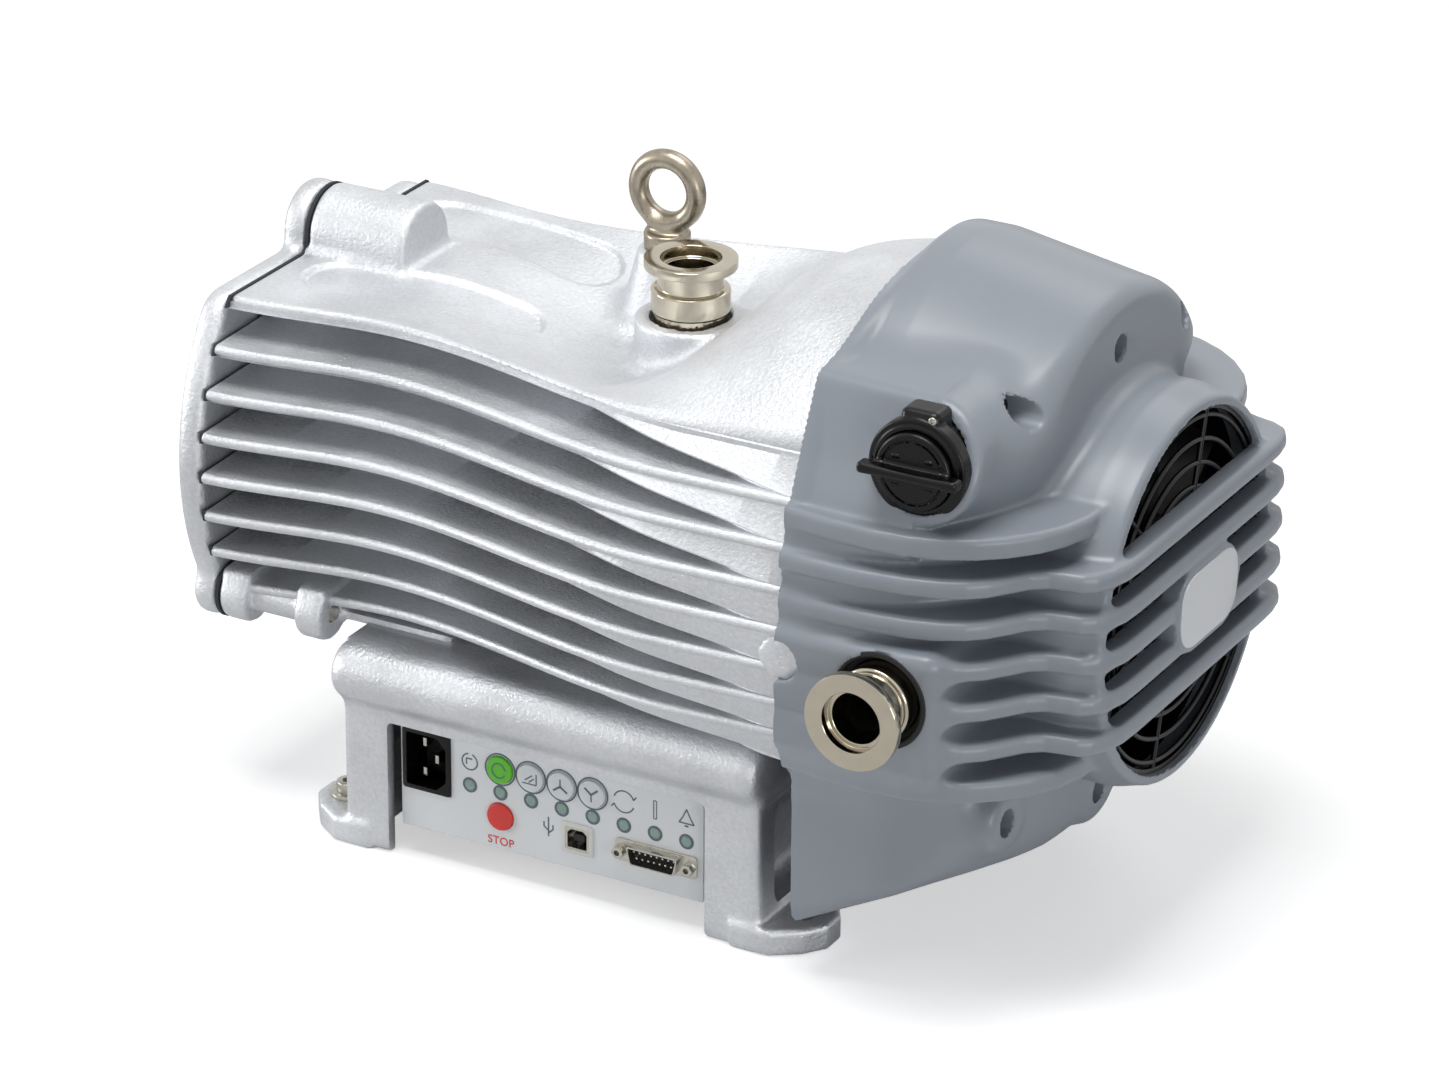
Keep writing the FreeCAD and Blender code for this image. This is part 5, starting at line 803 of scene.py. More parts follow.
def cowl_body_field(x, y, z):
    """Hood, flanks and screw bosses as one field, the snout as another, and the distance from the shaft."""
    mirror = np.abs(y)
    up = z - SHAFT_Z
    ahead = np.clip(x - FRONT_X, 0.0, 100.0)
    swell = level(ahead / 10.0)
    crown = HOOD_REAR_RISE + 9.2 * swell - 0.186 * np.maximum(x - 145.3, 0.0)
    power = 2.0 - 0.43 * swell
    u = np.clip((np.sqrt(mirror ** 2 + 64.0) - 8.0) / HOOD_HALF_WIDTH, 1e-4, 4.0)
    v = np.clip(up, 1e-3, 400.0) / crown
    g = (u ** power + v ** power) ** (1.0 / power)
    slope = np.sqrt(((u / g) ** (power - 1.0) / HOOD_HALF_WIDTH) ** 2
                    + ((v / g) ** (power - 1.0) / crown) ** 2)
    dome = (g - 1.0) / slope
    drop = np.clip(-up, 0.0, 140.0)
    flank = (mirror - 127.0 + 0.0033 * np.clip(up, 0.0, 150.0) ** 2 + 14.0 * level(drop / 80.0)) * 0.95
    body = np.where(up >= 0.0, blend_max(dome, flank, 6.0), flank)
    belly = 24.5 + 0.28 * ahead + 0.15 * ahead * (mirror / 84.0) ** 2
    body = blend_max(body, (belly - z) * 0.9, 9.0)
    knee = np.maximum(mirror - 55.5, 0.0)
    back_off = 6.0 * level((245.0 - z) / 30.0)
    face = (x - 214.0 + back_off + 0.008 * knee ** 2) / np.sqrt(1.0 + (0.016 * knee) ** 2)
    body = blend_max(body, face, 10.0 + 8.0 * np.clip((mirror - 40.0) / 30.0, 0.0, 1.0))
    plan = polygon_field(x, mirror, FLANK_PLAN)
    body = blend_max(body, -blend_max(-plan, np.abs(up) - 50.0, 3.0), 5.0)
    for y0, z0 in screw_places()[3:]:
        boss = np.hypot(y - y0, z - z0) - 14.0
        body = blend_min(body, blend_max(boss, np.maximum(x - 207.5, 150.0 - x), 6.0), 7.0)
    radius = np.hypot(y, up)
    snout = radius - 81.8 - 3.2 * level((SNOUT_END_X - x) / 16.0)
    return body, np.maximum(blend_max(snout, x - SNOUT_END_X, 3.0), 150.0 - x), radius


def cowl_field(x, y, z, sizes):
    """Whole outside of the cowl, with its bars, wings, pod and openings."""
    body, snout, radius = cowl_body_field(x, y, z)
    mirror = np.abs(y)
    up = z - SHAFT_Z
    body = blend_min(body, snout, 9.0)
    pod_face = -97.0 - 0.40 * (263.0 - z) - 0.06 * (x - FRONT_X)
    pod = (pod_face - y) * 0.93
    pod = blend_max(pod, y + 60.0, 2.0)
    corner = np.hypot(np.maximum(x - BALLAST_X, 0.0), z - BALLAST_Z) - 24.5
    straight = np.maximum(z - 267.0, 206.0 - z)
    pod = blend_max(pod, np.where(x > BALLAST_X, corner, straight), 5.0)
    body = blend_min(body, pod, 9.0)
    wing = blend_max(polygon_field(x, mirror, WING_PLAN), np.abs(np.abs(up) - WING_RISE) - 4.8, 3.0)
    body = blend_min(body, wing, 2.5)
    body = np.maximum(body, -np.maximum(radius - MOUTH_RADIUS, 225.0 - x))
    thickness = sizes.bar_thickness / MM
    pitch = sizes.bar_pitch / MM
    reach = polygon_field(x, -y, NEAR_PLAN + FAR_PLAN)
    across = BAR_FRONT_X - 10.0
    bars = None
    for index in range(BAR_COUNT):
        slab = np.abs(up - (index - BAR_COUNT // 2) * pitch) - thickness / 2.0
        bar = blend_max(reach, slab, 3.8)
        bars = bar if bars is None else np.minimum(bars, bar)
    bars = np.maximum(bars, -np.maximum(radius - MOUTH_RADIUS, x - across))
    body = blend_min(body, bars, 3.5)
    pad = box_field(x, y, z, (100.0, PAD_Y, 112.0), (195.0, -90.0, 168.0), 6.0)
    body = blend_min(body, pad, 9.0)
    rim = np.hypot(np.maximum(np.abs(y - BADGE_Y) - 11.5, 0.0), z - BADGE_Z) - 18.6
    rim = blend_max(rim, np.maximum(243.0 - x, x - BAR_FRONT_X - 0.4), 1.2)
    body = blend_min(body, rim, 2.0)
    for y0, z0 in screw_places():
        scallop = np.maximum(np.hypot(y - y0, z - z0) - 6.0, COWL_SCREW_X - x)
        body = blend_max(body, -scallop, 0.7)
    notch = np.hypot(x - NOTCH_X, z - NOTCH_Z) - 9.2
    body = np.maximum(body, -np.maximum(notch, y + 90.0))
    body = np.maximum(body, -np.maximum(np.hypot(x - EXHAUST_X, z - EXHAUST_Z) - 20.1, y + 70.0))
    body = np.maximum(body, -np.maximum(np.hypot(x - BALLAST_X, z - BALLAST_Z) - 19.1, y + 80.0))
    return np.maximum(body, FRONT_X - x)


def cowl_room(x, y, z):
    """Room inside the cowl, open to the rear."""
    body = cowl_body_field(x, y, z)[0]
    room = np.maximum(body + 4.2, x - 206.0)
    for y0, z0 in screw_places():
        room = np.maximum(room, -(np.hypot(y - y0, z - z0) - 8.0))
    return np.maximum(room, 118.0 - x)


def screw_places():
    """Places (y, z) of the cowl's screws: three over the snout, three under it."""
    return [(-71.0, 256.0), (-4.0, 262.0), (60.0, 254.0), (0.0, 60.0), (-83.0, 80.5), (83.0, 80.5)]


# Finishes

def add(tree, kind, settings=None, links=None):
    """Adds a node; settings are its properties or socket values, links come from other nodes' outputs."""
    node = tree.nodes.new(kind)
    for key, value in (settings or {}).items():
        if isinstance(key, str) and key not in node.inputs:
            setattr(node, key, value)
        else:
            node.inputs[key].default_value = value
    for key, (source, output) in (links or {}).items():
        tree.links.new(source.outputs[output], node.inputs[key])
    return node


def shade(colour_value, factor):
    """A colour made lighter or darker, with full alpha."""
    return tuple(min(1.0, channel * factor) for channel in colour_value) + (1.0,)


def finish(name, base, roughness, metallic=0.0, mottle=(40.0, 0.06), grain=(0.8, 0.05), rough_spread=0.06,
           pits=0.0, coat=0.0, specular=0.5, sheen_rough=0.2, speckle=0.0, painted_shade=0.0):
    """Surface with slow colour drift, fine relief and uneven gloss, with painted shade from the point
    attribute named recess on request; the scales are real millimetres.
    """
    made = bpy.data.materials.new(name)
    made.use_nodes = True
    tree = made.node_tree
    tree.nodes.clear()
    place = add(tree, "ShaderNodeTexCoord")
    drift = add(tree, "ShaderNodeTexNoise", {"Scale": 1000.0 / mottle[0], "Detail": 4.0, "Roughness": 0.6},
                {"Vector": (place, "Object")})
    fine = add(tree, "ShaderNodeTexNoise", {"Scale": 1000.0 / grain[0], "Detail": 3.0, "Roughness": 0.65},
               {"Vector": (place, "Object")})
    mixed = add(tree, "ShaderNodeMath", {"operation": "MULTIPLY_ADD", 1: speckle},
                {0: (fine, "Fac"), 2: (drift, "Fac")})
    share = add(tree, "ShaderNodeMapRange",
                {"From Min": 0.3 + 0.42 * speckle, "From Max": 0.7 + 0.58 * speckle,
                 "To Min": 0.5, "To Max": 1.0},
                {"Value": (mixed, "Value")})
    output = "Result"
    # Painted shade: the recess point attribute takes the colour down the ramp to a darker lowest stop, deep
    # in the fins' channels
    if painted_shade:
        depth = add(tree, "ShaderNodeAttribute", {"attribute_name": "recess"})
        share = add(tree, "ShaderNodeMath", {"operation": "MULTIPLY_ADD", 1: -0.5},
                    {0: (depth, "Fac"), 2: (share, "Result")})
        output = "Value"
    tint = add(tree, "ShaderNodeValToRGB", {}, {"Fac": (share, output)})
    tint.color_ramp.elements[0].color = shade(base, 1.0 - mottle[1] - painted_shade)
    tint.color_ramp.elements[1].color = shade(base, 1.0 + mottle[1])
    tint.color_ramp.elements.new(0.5).color = shade(base, 1.0 - mottle[1])
    gloss = add(tree, "ShaderNodeMapRange",
                {"From Min": 0.3, "From Max": 0.7, "To Min": max(roughness - rough_spread, 0.02),
                 "To Max": min(roughness + rough_spread, 1.0)}, {"Value": (drift, "Fac")})
    height = fine
    output = "Fac"
    if pits:
        cells = add(tree, "ShaderNodeTexVoronoi", {"Scale": 1000.0 / PIT_SPACING, "feature": "F1"},
                    {"Vector": (place, "Object")})
        pit = add(tree, "ShaderNodeMapRange",
                  {"From Min": 0.0, "From Max": 0.16, "To Min": -pits, "To Max": 0.0},
                  {"Value": (cells, "Distance")})
        height = add(tree, "ShaderNodeMath", {"operation": "ADD"}, {0: (fine, "Fac"), 1: (pit, "Result")})
        output = "Value"
    relief = add(tree, "ShaderNodeBump", {"Strength": 1.0, "Distance": grain[1] * MM},
                 {"Height": (height, output)})
    surface = add(tree, "ShaderNodeBsdfPrincipled",
                  {"Metallic": metallic, "Coat Weight": coat, "Coat Roughness": sheen_rough,
                   "Specular IOR Level": specular},
                  {"Base Color": (tint, "Color"), "Roughness": (gloss, "Result"),
                   "Normal": (relief, "Normal")})
    add(tree, "ShaderNodeOutputMaterial", {}, {"Surface": (surface, "BSDF")})
    return made


FINISHES = {}


def make_finishes(colours):
    """Every finish of the pump, named for what it is."""
    casting, cowl = tuple(colours.casting), tuple(colours.cowl)
    sandy = (1.8, 0.45)
    FINISHES.update({
        # Lacquered blasted casting: soft metal sheen, sandy grain and a few pits
        "casting": finish("blasted_casting", casting, 0.50, 0.8, (50.0, 0.10), sandy, 0.08, 0.5, speckle=1.0),
        # The finned barrel: as above, with painted shade darkening its colour deep between the fins
        "casting_fins_painted_shade": finish("finned_casting_painted_shade", casting, 0.50, 0.8, (50.0, 0.10), sandy, 0.08, 0.5,
                               speckle=1.0, painted_shade=0.5),
        # Cover and base are the same casting, a touch smoother
        "casting_smooth": finish("smooth_casting", casting, 0.44, 0.8, (40.0, 0.10), (1.8, 0.38), 0.08, 0.4,
                                 speckle=1.0),
        # Moulded cowl: satin blue-grey with a faint ripple
        "cowl": finish("cowl_moulding", cowl, 0.38, 0.0, (80.0, 0.03), (1.6, 0.02), 0.04, 0.0, 0.2),
        # Pressed fibre sheet: dull and near black, seen as a thin dark line
        "gasket": finish("gasket_sheet", linear("#2B2F33"), 0.8, 0.0, (12.0, 0.12), (0.5, 0.05)),
        # Passivated zinc: a slightly yellow, clouded metal
        "zinc": finish("zinc_screws", linear("#B9B7AE"), 0.3, 1.0, (3.0, 0.12), (0.3, 0.02)),
        # Ground steel of shaft, bearings and springs: even and bright
        "steel": finish("ground_steel", linear("#A9ABAD"), 0.28, 1.0, (15.0, 0.05), (0.3, 0.01)),
        # Moulded nitrile rubber: matt black that turns grey where light grazes it
        "rubber": finish("black_rubber", linear("#17181A"), 0.62, 0.0, (6.0, 0.15), (0.4, 0.03)),
        # Stacked electrical steel: dark and dull, with uneven edges
        "laminations": finish("laminated_steel", linear("#6C6F74"), 0.5, 0.9, (2.0, 0.12), (0.5, 0.05)),
        # Enamelled copper wire: warm red-brown with a ripple as wide as the wire
        "copper": finish("enamelled_copper", linear("#A65A32"), 0.35, 0.9, (3.0, 0.15), (0.9, 0.25)),
        # Machined grey iron: dark and slightly rough
        "iron": finish("cast_iron", linear("#4A4C50"), 0.6, 0.8, (10.0, 0.10), (0.7, 0.08)),
        # Polished stainless vacuum fittings, slightly warm
        "stainless": finish("polished_stainless", linear("#BFB7A6"), 0.14, 1.0, (9.0, 0.05), (0.25, 0.006),
                            0.04),
        # Cast stainless eye: satin and warmer, with an uneven skin
        "eye": finish("satin_stainless", linear("#9C9384"), 0.30, 1.0, (7.0, 0.12), (0.7, 0.03), 0.08),
        # Turned aluminium of the scrolls and the manifold: pale, with a low sheen
        "machined": finish("machined_aluminium", linear("#C4C8CC"), 0.32, 0.9, (20.0, 0.04), (0.4, 0.02)),
        # Filled fluoropolymer strip: waxy and straw-coloured
        "tip_seal": finish("tip_seal_strip", linear("#C9B48A"), 0.6, 0.0, (8.0, 0.08), (0.4, 0.02)),
        # Glossy black moulding of the ballast control and the power inlet
        "black": finish("black_moulding", linear("#050506"), 0.26, 0.0, (10.0, 0.10), (0.6, 0.008), 0.05,
                        0.0, 0.0, 0.3),
        # Fan guard and duct: satin black
        "fan_black": finish("fan_moulding", linear("#040405"), 0.30, 0.0, (12.0, 0.10), (0.8, 0.01), 0.05,
                            0.0, 0.0, 0.3),
        # Lacquered badge plate: pale and nearly even
        "badge": finish("badge_plate", linear("#E2E5E9"), 0.34, 0.1, (30.0, 0.015), (0.6, 0.004), 0.03,
                        0.0, 0.2),
        # Printed panel film: off-white with the faintest texture
        "panel": finish("panel_face", tuple(colours.panel), 0.46, 0.0, (60.0, 0.02), (0.5, 0.012), 0.04),
        # Screen-printed inks: flat colour with a slightly soft gloss
        "ink": finish("printed_ink", tuple(colours.print_ink), 0.5, 0.0, (5.0, 0.05), (0.4, 0.004)),
        "red_ink": finish("red_ink", linear("#D5342B"), 0.5, 0.0, (5.0, 0.05), (0.4, 0.004)),
        # Plated contacts and shells: bright, warm for gold and cool for nickel
        "nickel": finish("nickel_plate", linear("#C2BFB6"), 0.22, 1.0, (4.0, 0.08), (0.3, 0.01)),
        "gold": finish("gold_plate", linear("#D9A648"), 0.2, 1.0, (2.0, 0.06), (0.3, 0.005)),
        # Lacquered circuit board: deep green with a glassy top
        "board": finish("circuit_board", linear("#1F5B3A"), 0.4, 0.0, (6.0, 0.1), (0.5, 0.02)),
        # Clear tinted lens over an unlit lamp: grey-green and shiny
        "lamp": finish("lamp_lens", linear("#86A295"), 0.18, 0.0, (2.0, 0.08), (0.5, 0.01), 0.03, 0.0, 0.6),
        # Moulded keys under a clear film: strong colour with a soft highlight
        "green": finish("start_key", tuple(colours.start_key), 0.32, 0.0, (6.0, 0.06), (0.4, 0.01), 0.04,
                        0.0, 0.3),
        "red": finish("stop_key", tuple(colours.stop_key), 0.32, 0.0, (6.0, 0.06), (0.4, 0.01), 0.04,
                      0.0, 0.3),
        "key": finish("light_key", linear("#DADFE2"), 0.38, 0.0, (6.0, 0.03), (0.4, 0.01)),
        # Nylon insert round the data port: milky white
        "white": finish("white_insert", linear("#D9DAD6"), 0.4, 0.0, (3.0, 0.04), (0.4, 0.01)),
    })


# Finish of each material slot of the frame
SLOT_FINISH = {
    "cast_aluminium": "casting_smooth", "gasket": "gasket", "zinc_screws": "zinc", "steel": "steel",
    "black_rubber": "rubber", "laminations": "laminations", "copper": "copper", "cast_iron": "iron",
    "stainless": "stainless", "machined_aluminium": "machined", "tip_seal": "tip_seal",
    "black_plastic": "black", "cowl": "cowl", "dark_plastic": "fan_black", "badge": "badge",
    "panel": "panel", "nickel": "nickel",
    "gold_pins": "gold", "board": "board", "lamps": "lamp", "green_button": "green", "red_button": "red",
    "light_button": "key",
}


def dress(piece, finish_name, nodes=(), body="frame"):
    """Gives a piece its finish, the node that it stands for and the body that it rides on."""
    piece.data.materials.clear()
    piece.data.materials.append(FINISHES[finish_name])
    if nodes:
        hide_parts(*nodes)
    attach(piece, body)
    return piece


# Geometry Nodes trees for what repeats

def node_group(name, inputs):
    """Empty Geometry Nodes tree with a geometry input and output and named number inputs."""
    tree = bpy.data.node_groups.new(name, "GeometryNodeTree")
    tree.interface.new_socket("Geometry", in_out="INPUT", socket_type="NodeSocketGeometry")
    for title, kind in inputs:
        tree.interface.new_socket(title, in_out="INPUT", socket_type=kind)
    tree.interface.new_socket("Geometry", in_out="OUTPUT", socket_type="NodeSocketGeometry")
    return tree, tree.nodes.new("NodeGroupInput"), tree.nodes.new("NodeGroupOutput")


def grown(name, tree, values, source=None):
    """Plain mesh object made by a tree with the given input values."""
    mesh = source.data if source else bpy.data.meshes.new(name)
    piece = link(name, mesh)
    change = piece.modifiers.new("tree", "NODES")
    change.node_group = tree
    for item in tree.interface.items_tree:
        if item.in_out == "INPUT" and item.name in values:
            change[item.identifier] = values[item.name]
    made = evaluated(piece, 40.0)
    if source:
        bpy.data.objects.remove(source)
    return made


def guard_tree():
    """Rings and spokes of the fan guard, as round wires in the plane across the shaft."""
    tree, start, end = node_group("Guard wires", [
        ("Rings", "NodeSocketInt"), ("Pitch", "NodeSocketFloat"), ("Hub", "NodeSocketFloat"),
        ("Reach", "NodeSocketFloat"), ("Wire", "NodeSocketFloat"), ("Spokes", "NodeSocketInt"),
        ("Finish", "NodeSocketMaterial")])
    still = {"mode": "OFFSET", "Offset": (0.0, 0.0, 0.0)}
    line = add(tree, "GeometryNodeMeshLine", still, {"Count": (start, "Rings")})
    index = add(tree, "GeometryNodeInputIndex")
    grow = add(tree, "ShaderNodeMath", {"operation": "MULTIPLY_ADD"},
               {0: (index, "Index"), 1: (start, "Pitch"), 2: (start, "Hub")})
    circle = add(tree, "GeometryNodeCurvePrimitiveCircle", {"Resolution": 96, "Radius": 1.0})
    rings = add(tree, "GeometryNodeInstanceOnPoints", {},
                {"Points": (line, "Mesh"), "Instance": (circle, "Curve"), "Scale": (grow, "Value")})
    centre = add(tree, "GeometryNodeMeshLine", still, {"Count": (start, "Spokes")})
    tip = add(tree, "ShaderNodeCombineXYZ", {}, {"X": (start, "Reach")})
    root = add(tree, "ShaderNodeCombineXYZ", {}, {"X": (start, "Hub")})
    spoke = add(tree, "GeometryNodeCurvePrimitiveLine", {},
                {"Start": (root, "Vector"), "End": (tip, "Vector")})
    step = add(tree, "ShaderNodeMath", {"operation": "DIVIDE", 0: 2.0 * math.pi}, {1: (start, "Spokes")})
    turn = add(tree, "ShaderNodeMath", {"operation": "MULTIPLY_ADD", 2: math.radians(15.0)},
               {0: (index, "Index"), 1: (step, "Value")})
    angle = add(tree, "ShaderNodeCombineXYZ", {}, {"Z": (turn, "Value")})
    spokes = add(tree, "GeometryNodeInstanceOnPoints", {},
                 {"Points": (centre, "Mesh"), "Instance": (spoke, "Curve"), "Rotation": (angle, "Vector")})
    both = add(tree, "GeometryNodeJoinGeometry")
    tree.links.new(rings.outputs["Instances"], both.inputs["Geometry"])
    tree.links.new(spokes.outputs["Instances"], both.inputs["Geometry"])
    real = add(tree, "GeometryNodeRealizeInstances", {}, {"Geometry": (both, "Geometry")})
    section = add(tree, "GeometryNodeCurvePrimitiveCircle", {"Resolution": 10}, {"Radius": (start, "Wire")})
    wires = add(tree, "GeometryNodeCurveToMesh", {"Fill Caps": True},
                {"Curve": (real, "Geometry"), "Profile Curve": (section, "Curve")})
    stand = add(tree, "GeometryNodeTransform", {"Translation": (GUARD_X * MM, 0.0, SHAFT_Z * MM),
                                                 "Rotation": (math.pi / 2.0, 0.0, math.pi / 2.0)},
                {"Geometry": (wires, "Mesh")})
    whole = add(tree, "GeometryNodeRealizeInstances", {}, {"Geometry": (stand, "Geometry")})
    coloured = add(tree, "GeometryNodeSetMaterial", {},
                   {"Geometry": (whole, "Geometry"), "Material": (start, "Finish")})
    tree.links.new(coloured.outputs["Geometry"], end.inputs["Geometry"])
    return tree


def copies_tree(name, places):
    """Tree that sets a copy of its input mesh at each given place."""
    tree, start, end = node_group(name, [("Finish", "NodeSocketMaterial")])
    both = add(tree, "GeometryNodeJoinGeometry")
    for place in places:
        point = add(tree, "GeometryNodeTransform", {"Translation": tuple(MM * value for value in place)},
                    {"Geometry": (start, "Geometry")})
        tree.links.new(point.outputs["Geometry"], both.inputs["Geometry"])
    whole = add(tree, "GeometryNodeRealizeInstances", {}, {"Geometry": (both, "Geometry")})
    coloured = add(tree, "GeometryNodeSetMaterial", {},
                   {"Geometry": (whole, "Geometry"), "Material": (start, "Finish")})
    tree.links.new(coloured.outputs["Geometry"], end.inputs["Geometry"])
    return tree


def repeated(name, piece, places, finish_name):
    """One mesh with a copy of a small piece at each place."""
    return grown(name, copies_tree(name, places), {"Finish": FINISHES[finish_name]}, piece)


def socket_screw(name, head_radius, head_height, axis, shank=0.0, key=2.6):
    """Cap screw with a hexagonal recess; its head stands from the origin along the axis."""
    shank_radius = head_radius * 0.55
    profile = [(0.0, -shank), (shank_radius, -shank), (shank_radius, 0.0), (head_radius, 0.0),
               (head_radius, head_height), (0.0, head_height)]
    head = lathe(name + "_head", turned_profile(profile, 0.6), (0.0, 0.0, 0.0), axis, 40)
    bed = head_height * 0.45
    place = {"X": (bed, 0.0, 0.0), "Y": (0.0, bed, 0.0), "Z": (0.0, 0.0, bed)}[axis]
    return cut(head, [prism(name + "_key", disc(key, count=6), place, axis, head_height, 0.02)])


# Operators, one for each piece or group of like pieces

class PUMP_OT_barrel(Operator):
    """Finned barrel, its deck, and the drum, flange and lugs below"""
    bl_idname = "pump.barrel"
    bl_label = "Motor barrel"

    def execute(self, context):
        sizes = context.scene.pump_sizes
        step = sizes.casting_grain / MM
        dress(finned_barrel(sizes), "casting_fins_painted_shade", ["motor_housing"])
        deck = skin("barrel_deck", deck_field, (-168.0, -131.0, 203.0), (126.0, 131.0, 290.0),
                    step * 0.9, 38.0)
        dress(deck, "casting", ["motor_housing"])
        lower = skin("barrel_lower", lower_field, (-168.0, -129.0, 33.0), (137.0, 129.0, 288.0),
                     step * 1.3, 38.0)
        dress(lower, "casting", ["motor_housing"])
        return {"FINISHED"}


class PUMP_OT_cover(Operator):
    """End cover with its screws"""
    bl_idname = "pump.cover"
    bl_label = "End cover"

    def execute(self, context):
        step = context.scene.pump_sizes.casting_grain / MM
        cover = skin("end_cover_casting", cover_field, (-182.0, -112.0, 85.0), (-165.0, 112.0, 262.0),
                     step * 0.93, 36.0)
        seat = lathe("bearing_seat", [(20.0, -168.5), (26.0, -168.5), (26.0, -149.0), (20.0, -149.0)],
                     (0.0, 0.0, SHAFT_Z), "X", 72)
        whole = joined("end_cover_casting", [cover, seat], 36.0)
        dress(whole, "casting_smooth", ["end_cover"])
        places = [(-175.0, y, z) for y, z in cover_screw_places()]
        screw = socket_screw("cover_screw", 5.0, -4.6, "X", -19.0)
        dress(repeated("cover_screw_set", screw, places, "zinc"), "zinc", ["end_cover_screws"])
        return {"FINISHED"}


class PUMP_OT_base(Operator):
    """Base casting with its inner posts, and the two screws of its rear feet"""
    bl_idname = "pump.base"
    bl_label = "Base"

    def execute(self, context):
        step = context.scene.pump_sizes.casting_grain / MM
        base = skin("base_frame", base_field, (-138.0, -111.0, -2.0), (138.0, 111.0, 98.0), step * 1.07, 38.0)
        dress(base, "casting_smooth", ["base_casting"])
        post = turned_profile([(4.0, 50.0), (9.0, 50.0), (9.0, 91.0), (4.0, 91.0)], 0.8)
        posts = [lathe("post", post, (x, y, 0.0), "Z", 40) for x in (-80.0, 32.0) for y in (-40.0, 40.0)]
        dress(joined("base_posts", posts), "casting_smooth", ["base_casting"])
        head = socket_screw("foot_screw", 5.2, 5.0, "Z", 11.0, 2.8)
        ring = turned_profile([(4.6, -1.4), (8.0, -1.4), (8.0, 0.1), (4.6, 0.1)], 0.3)
        washer = lathe("washer", ring, (0.0, 0.0, 0.0), "Z", 40)
        places = [(-FOOT_X, -FOOT_Y, 13.5), (-FOOT_X, FOOT_Y, 13.5)]
        screws = repeated("foot_screw_set", joined("foot_screw", [head, washer]), places, "zinc")
        dress(screws, "zinc")
        return {"FINISHED"}


class PUMP_OT_cowl(Operator):
    """Moulded cowl with its screws, the ring round the exhaust and the bare badge plate"""
    bl_idname = "pump.cowl"
    bl_label = "Cowl"

    def execute(self, context):
        sizes = context.scene.pump_sizes
        cowl = skin("cowl_shell", lambda x, y, z: cowl_field(x, y, z, sizes), (121.0, -133.0, 20.0),
                    (255.0, 133.0, 305.0), sizes.cowl_grain / MM, 34.0)
        room = skin("cowl_room", cowl_room, (114.0, -131.0, 24.0), (212.0, 131.0, 302.0), 3.4)
        way = [(0.0, 190.0), (84.0, 190.0), (84.0, 230.5), (79.8, 230.5), (79.8, 243.1),
               (MOUTH_RADIUS, 243.1), (MOUTH_RADIUS, 241.5), (0.0, 241.5)]
        duct = lathe("cowl_duct", way, (0.0, 0.0, SHAFT_Z), "X", 128)
        cowl = cut(cowl, [room, duct], 34.0)
        triangles = sum(len(face.vertices) - 2 for face in cowl.data.polygons)
        if triangles > COWL_TRIANGLES:
            cowl = thinned(cowl, COWL_TRIANGLES / triangles, 34.0)
        dress(cowl, "cowl", ["fan_cowl"])
        screw = socket_screw("cowl_screw", 4.5, 5.0, "X", 64.0)
        places = [(COWL_SCREW_X, y, z) for y, z in screw_places()]
        dress(repeated("cowl_screw_set", screw, places, "black"), "black", ["cowl_screws"])
        ring = [(16.2, -120.0), (20.0, -120.0), (20.0, PAD_Y), (21.2, PAD_Y), (21.2, PAD_Y - 0.9),
                (19.0, PAD_Y - 0.9), (18.6, -125.0), (16.2, -124.0)]
        grommet = lathe("exhaust_ring", turned_profile(ring, 0.6), (EXHAUST_X, 0.0, EXHAUST_Z), "Y", 96)
        dress(grommet, "rubber", ["exhaust_grommet"])
        left, right = -27.0 + BADGE_Y, 27.0 + BADGE_Y
        oval = softened([(left, -16.0), (right, -16.0), (right, 16.0), (left, 16.0)], 16.0, steps=14)
        oval = [(y, BADGE_Z + z) for y, z in oval]
        badge = prism("badge_oval", oval, (BAR_FRONT_X, 0.0, 0.0), "X", 1.2, 0.5)
        dress(badge, "badge", ["badge_plate"])
        return {"FINISHED"}


class PUMP_OT_fan_guard(Operator):
    """Wire guard in front of the fan"""
    bl_idname = "pump.fan_guard"
    bl_label = "Fan guard"

    def execute(self, context):
        sizes = context.scene.pump_sizes
        values = {"Rings": sizes.guard_rings, "Pitch": sizes.guard_pitch, "Hub": 13.0 * MM,
                  "Reach": MOUTH_RADIUS * MM, "Wire": sizes.guard_wire, "Spokes": sizes.guard_spokes,
                  "Finish": FINISHES["fan_black"]}
        wires = grown("guard_wires", guard_tree(), values)
        rim = turned_profile([(75.5, 240.6), (79.6, 240.6), (79.6, 243.0), (75.5, 243.0)], 0.5)
        rim = lathe("guard_rim", rim, (0.0, 0.0, SHAFT_Z), "X", 128)
        hub = turned_profile([(0.0, 240.6), (13.5, 240.6), (13.5, 243.0), (0.0, 243.0)], 0.8)
        hub = lathe("guard_hub", hub, (0.0, 0.0, SHAFT_Z), "X", 64)
        dress(joined("guard_wires", [wires, rim, hub], 40.0), "fan_black", ["fan_guard"])
        return {"FINISHED"}


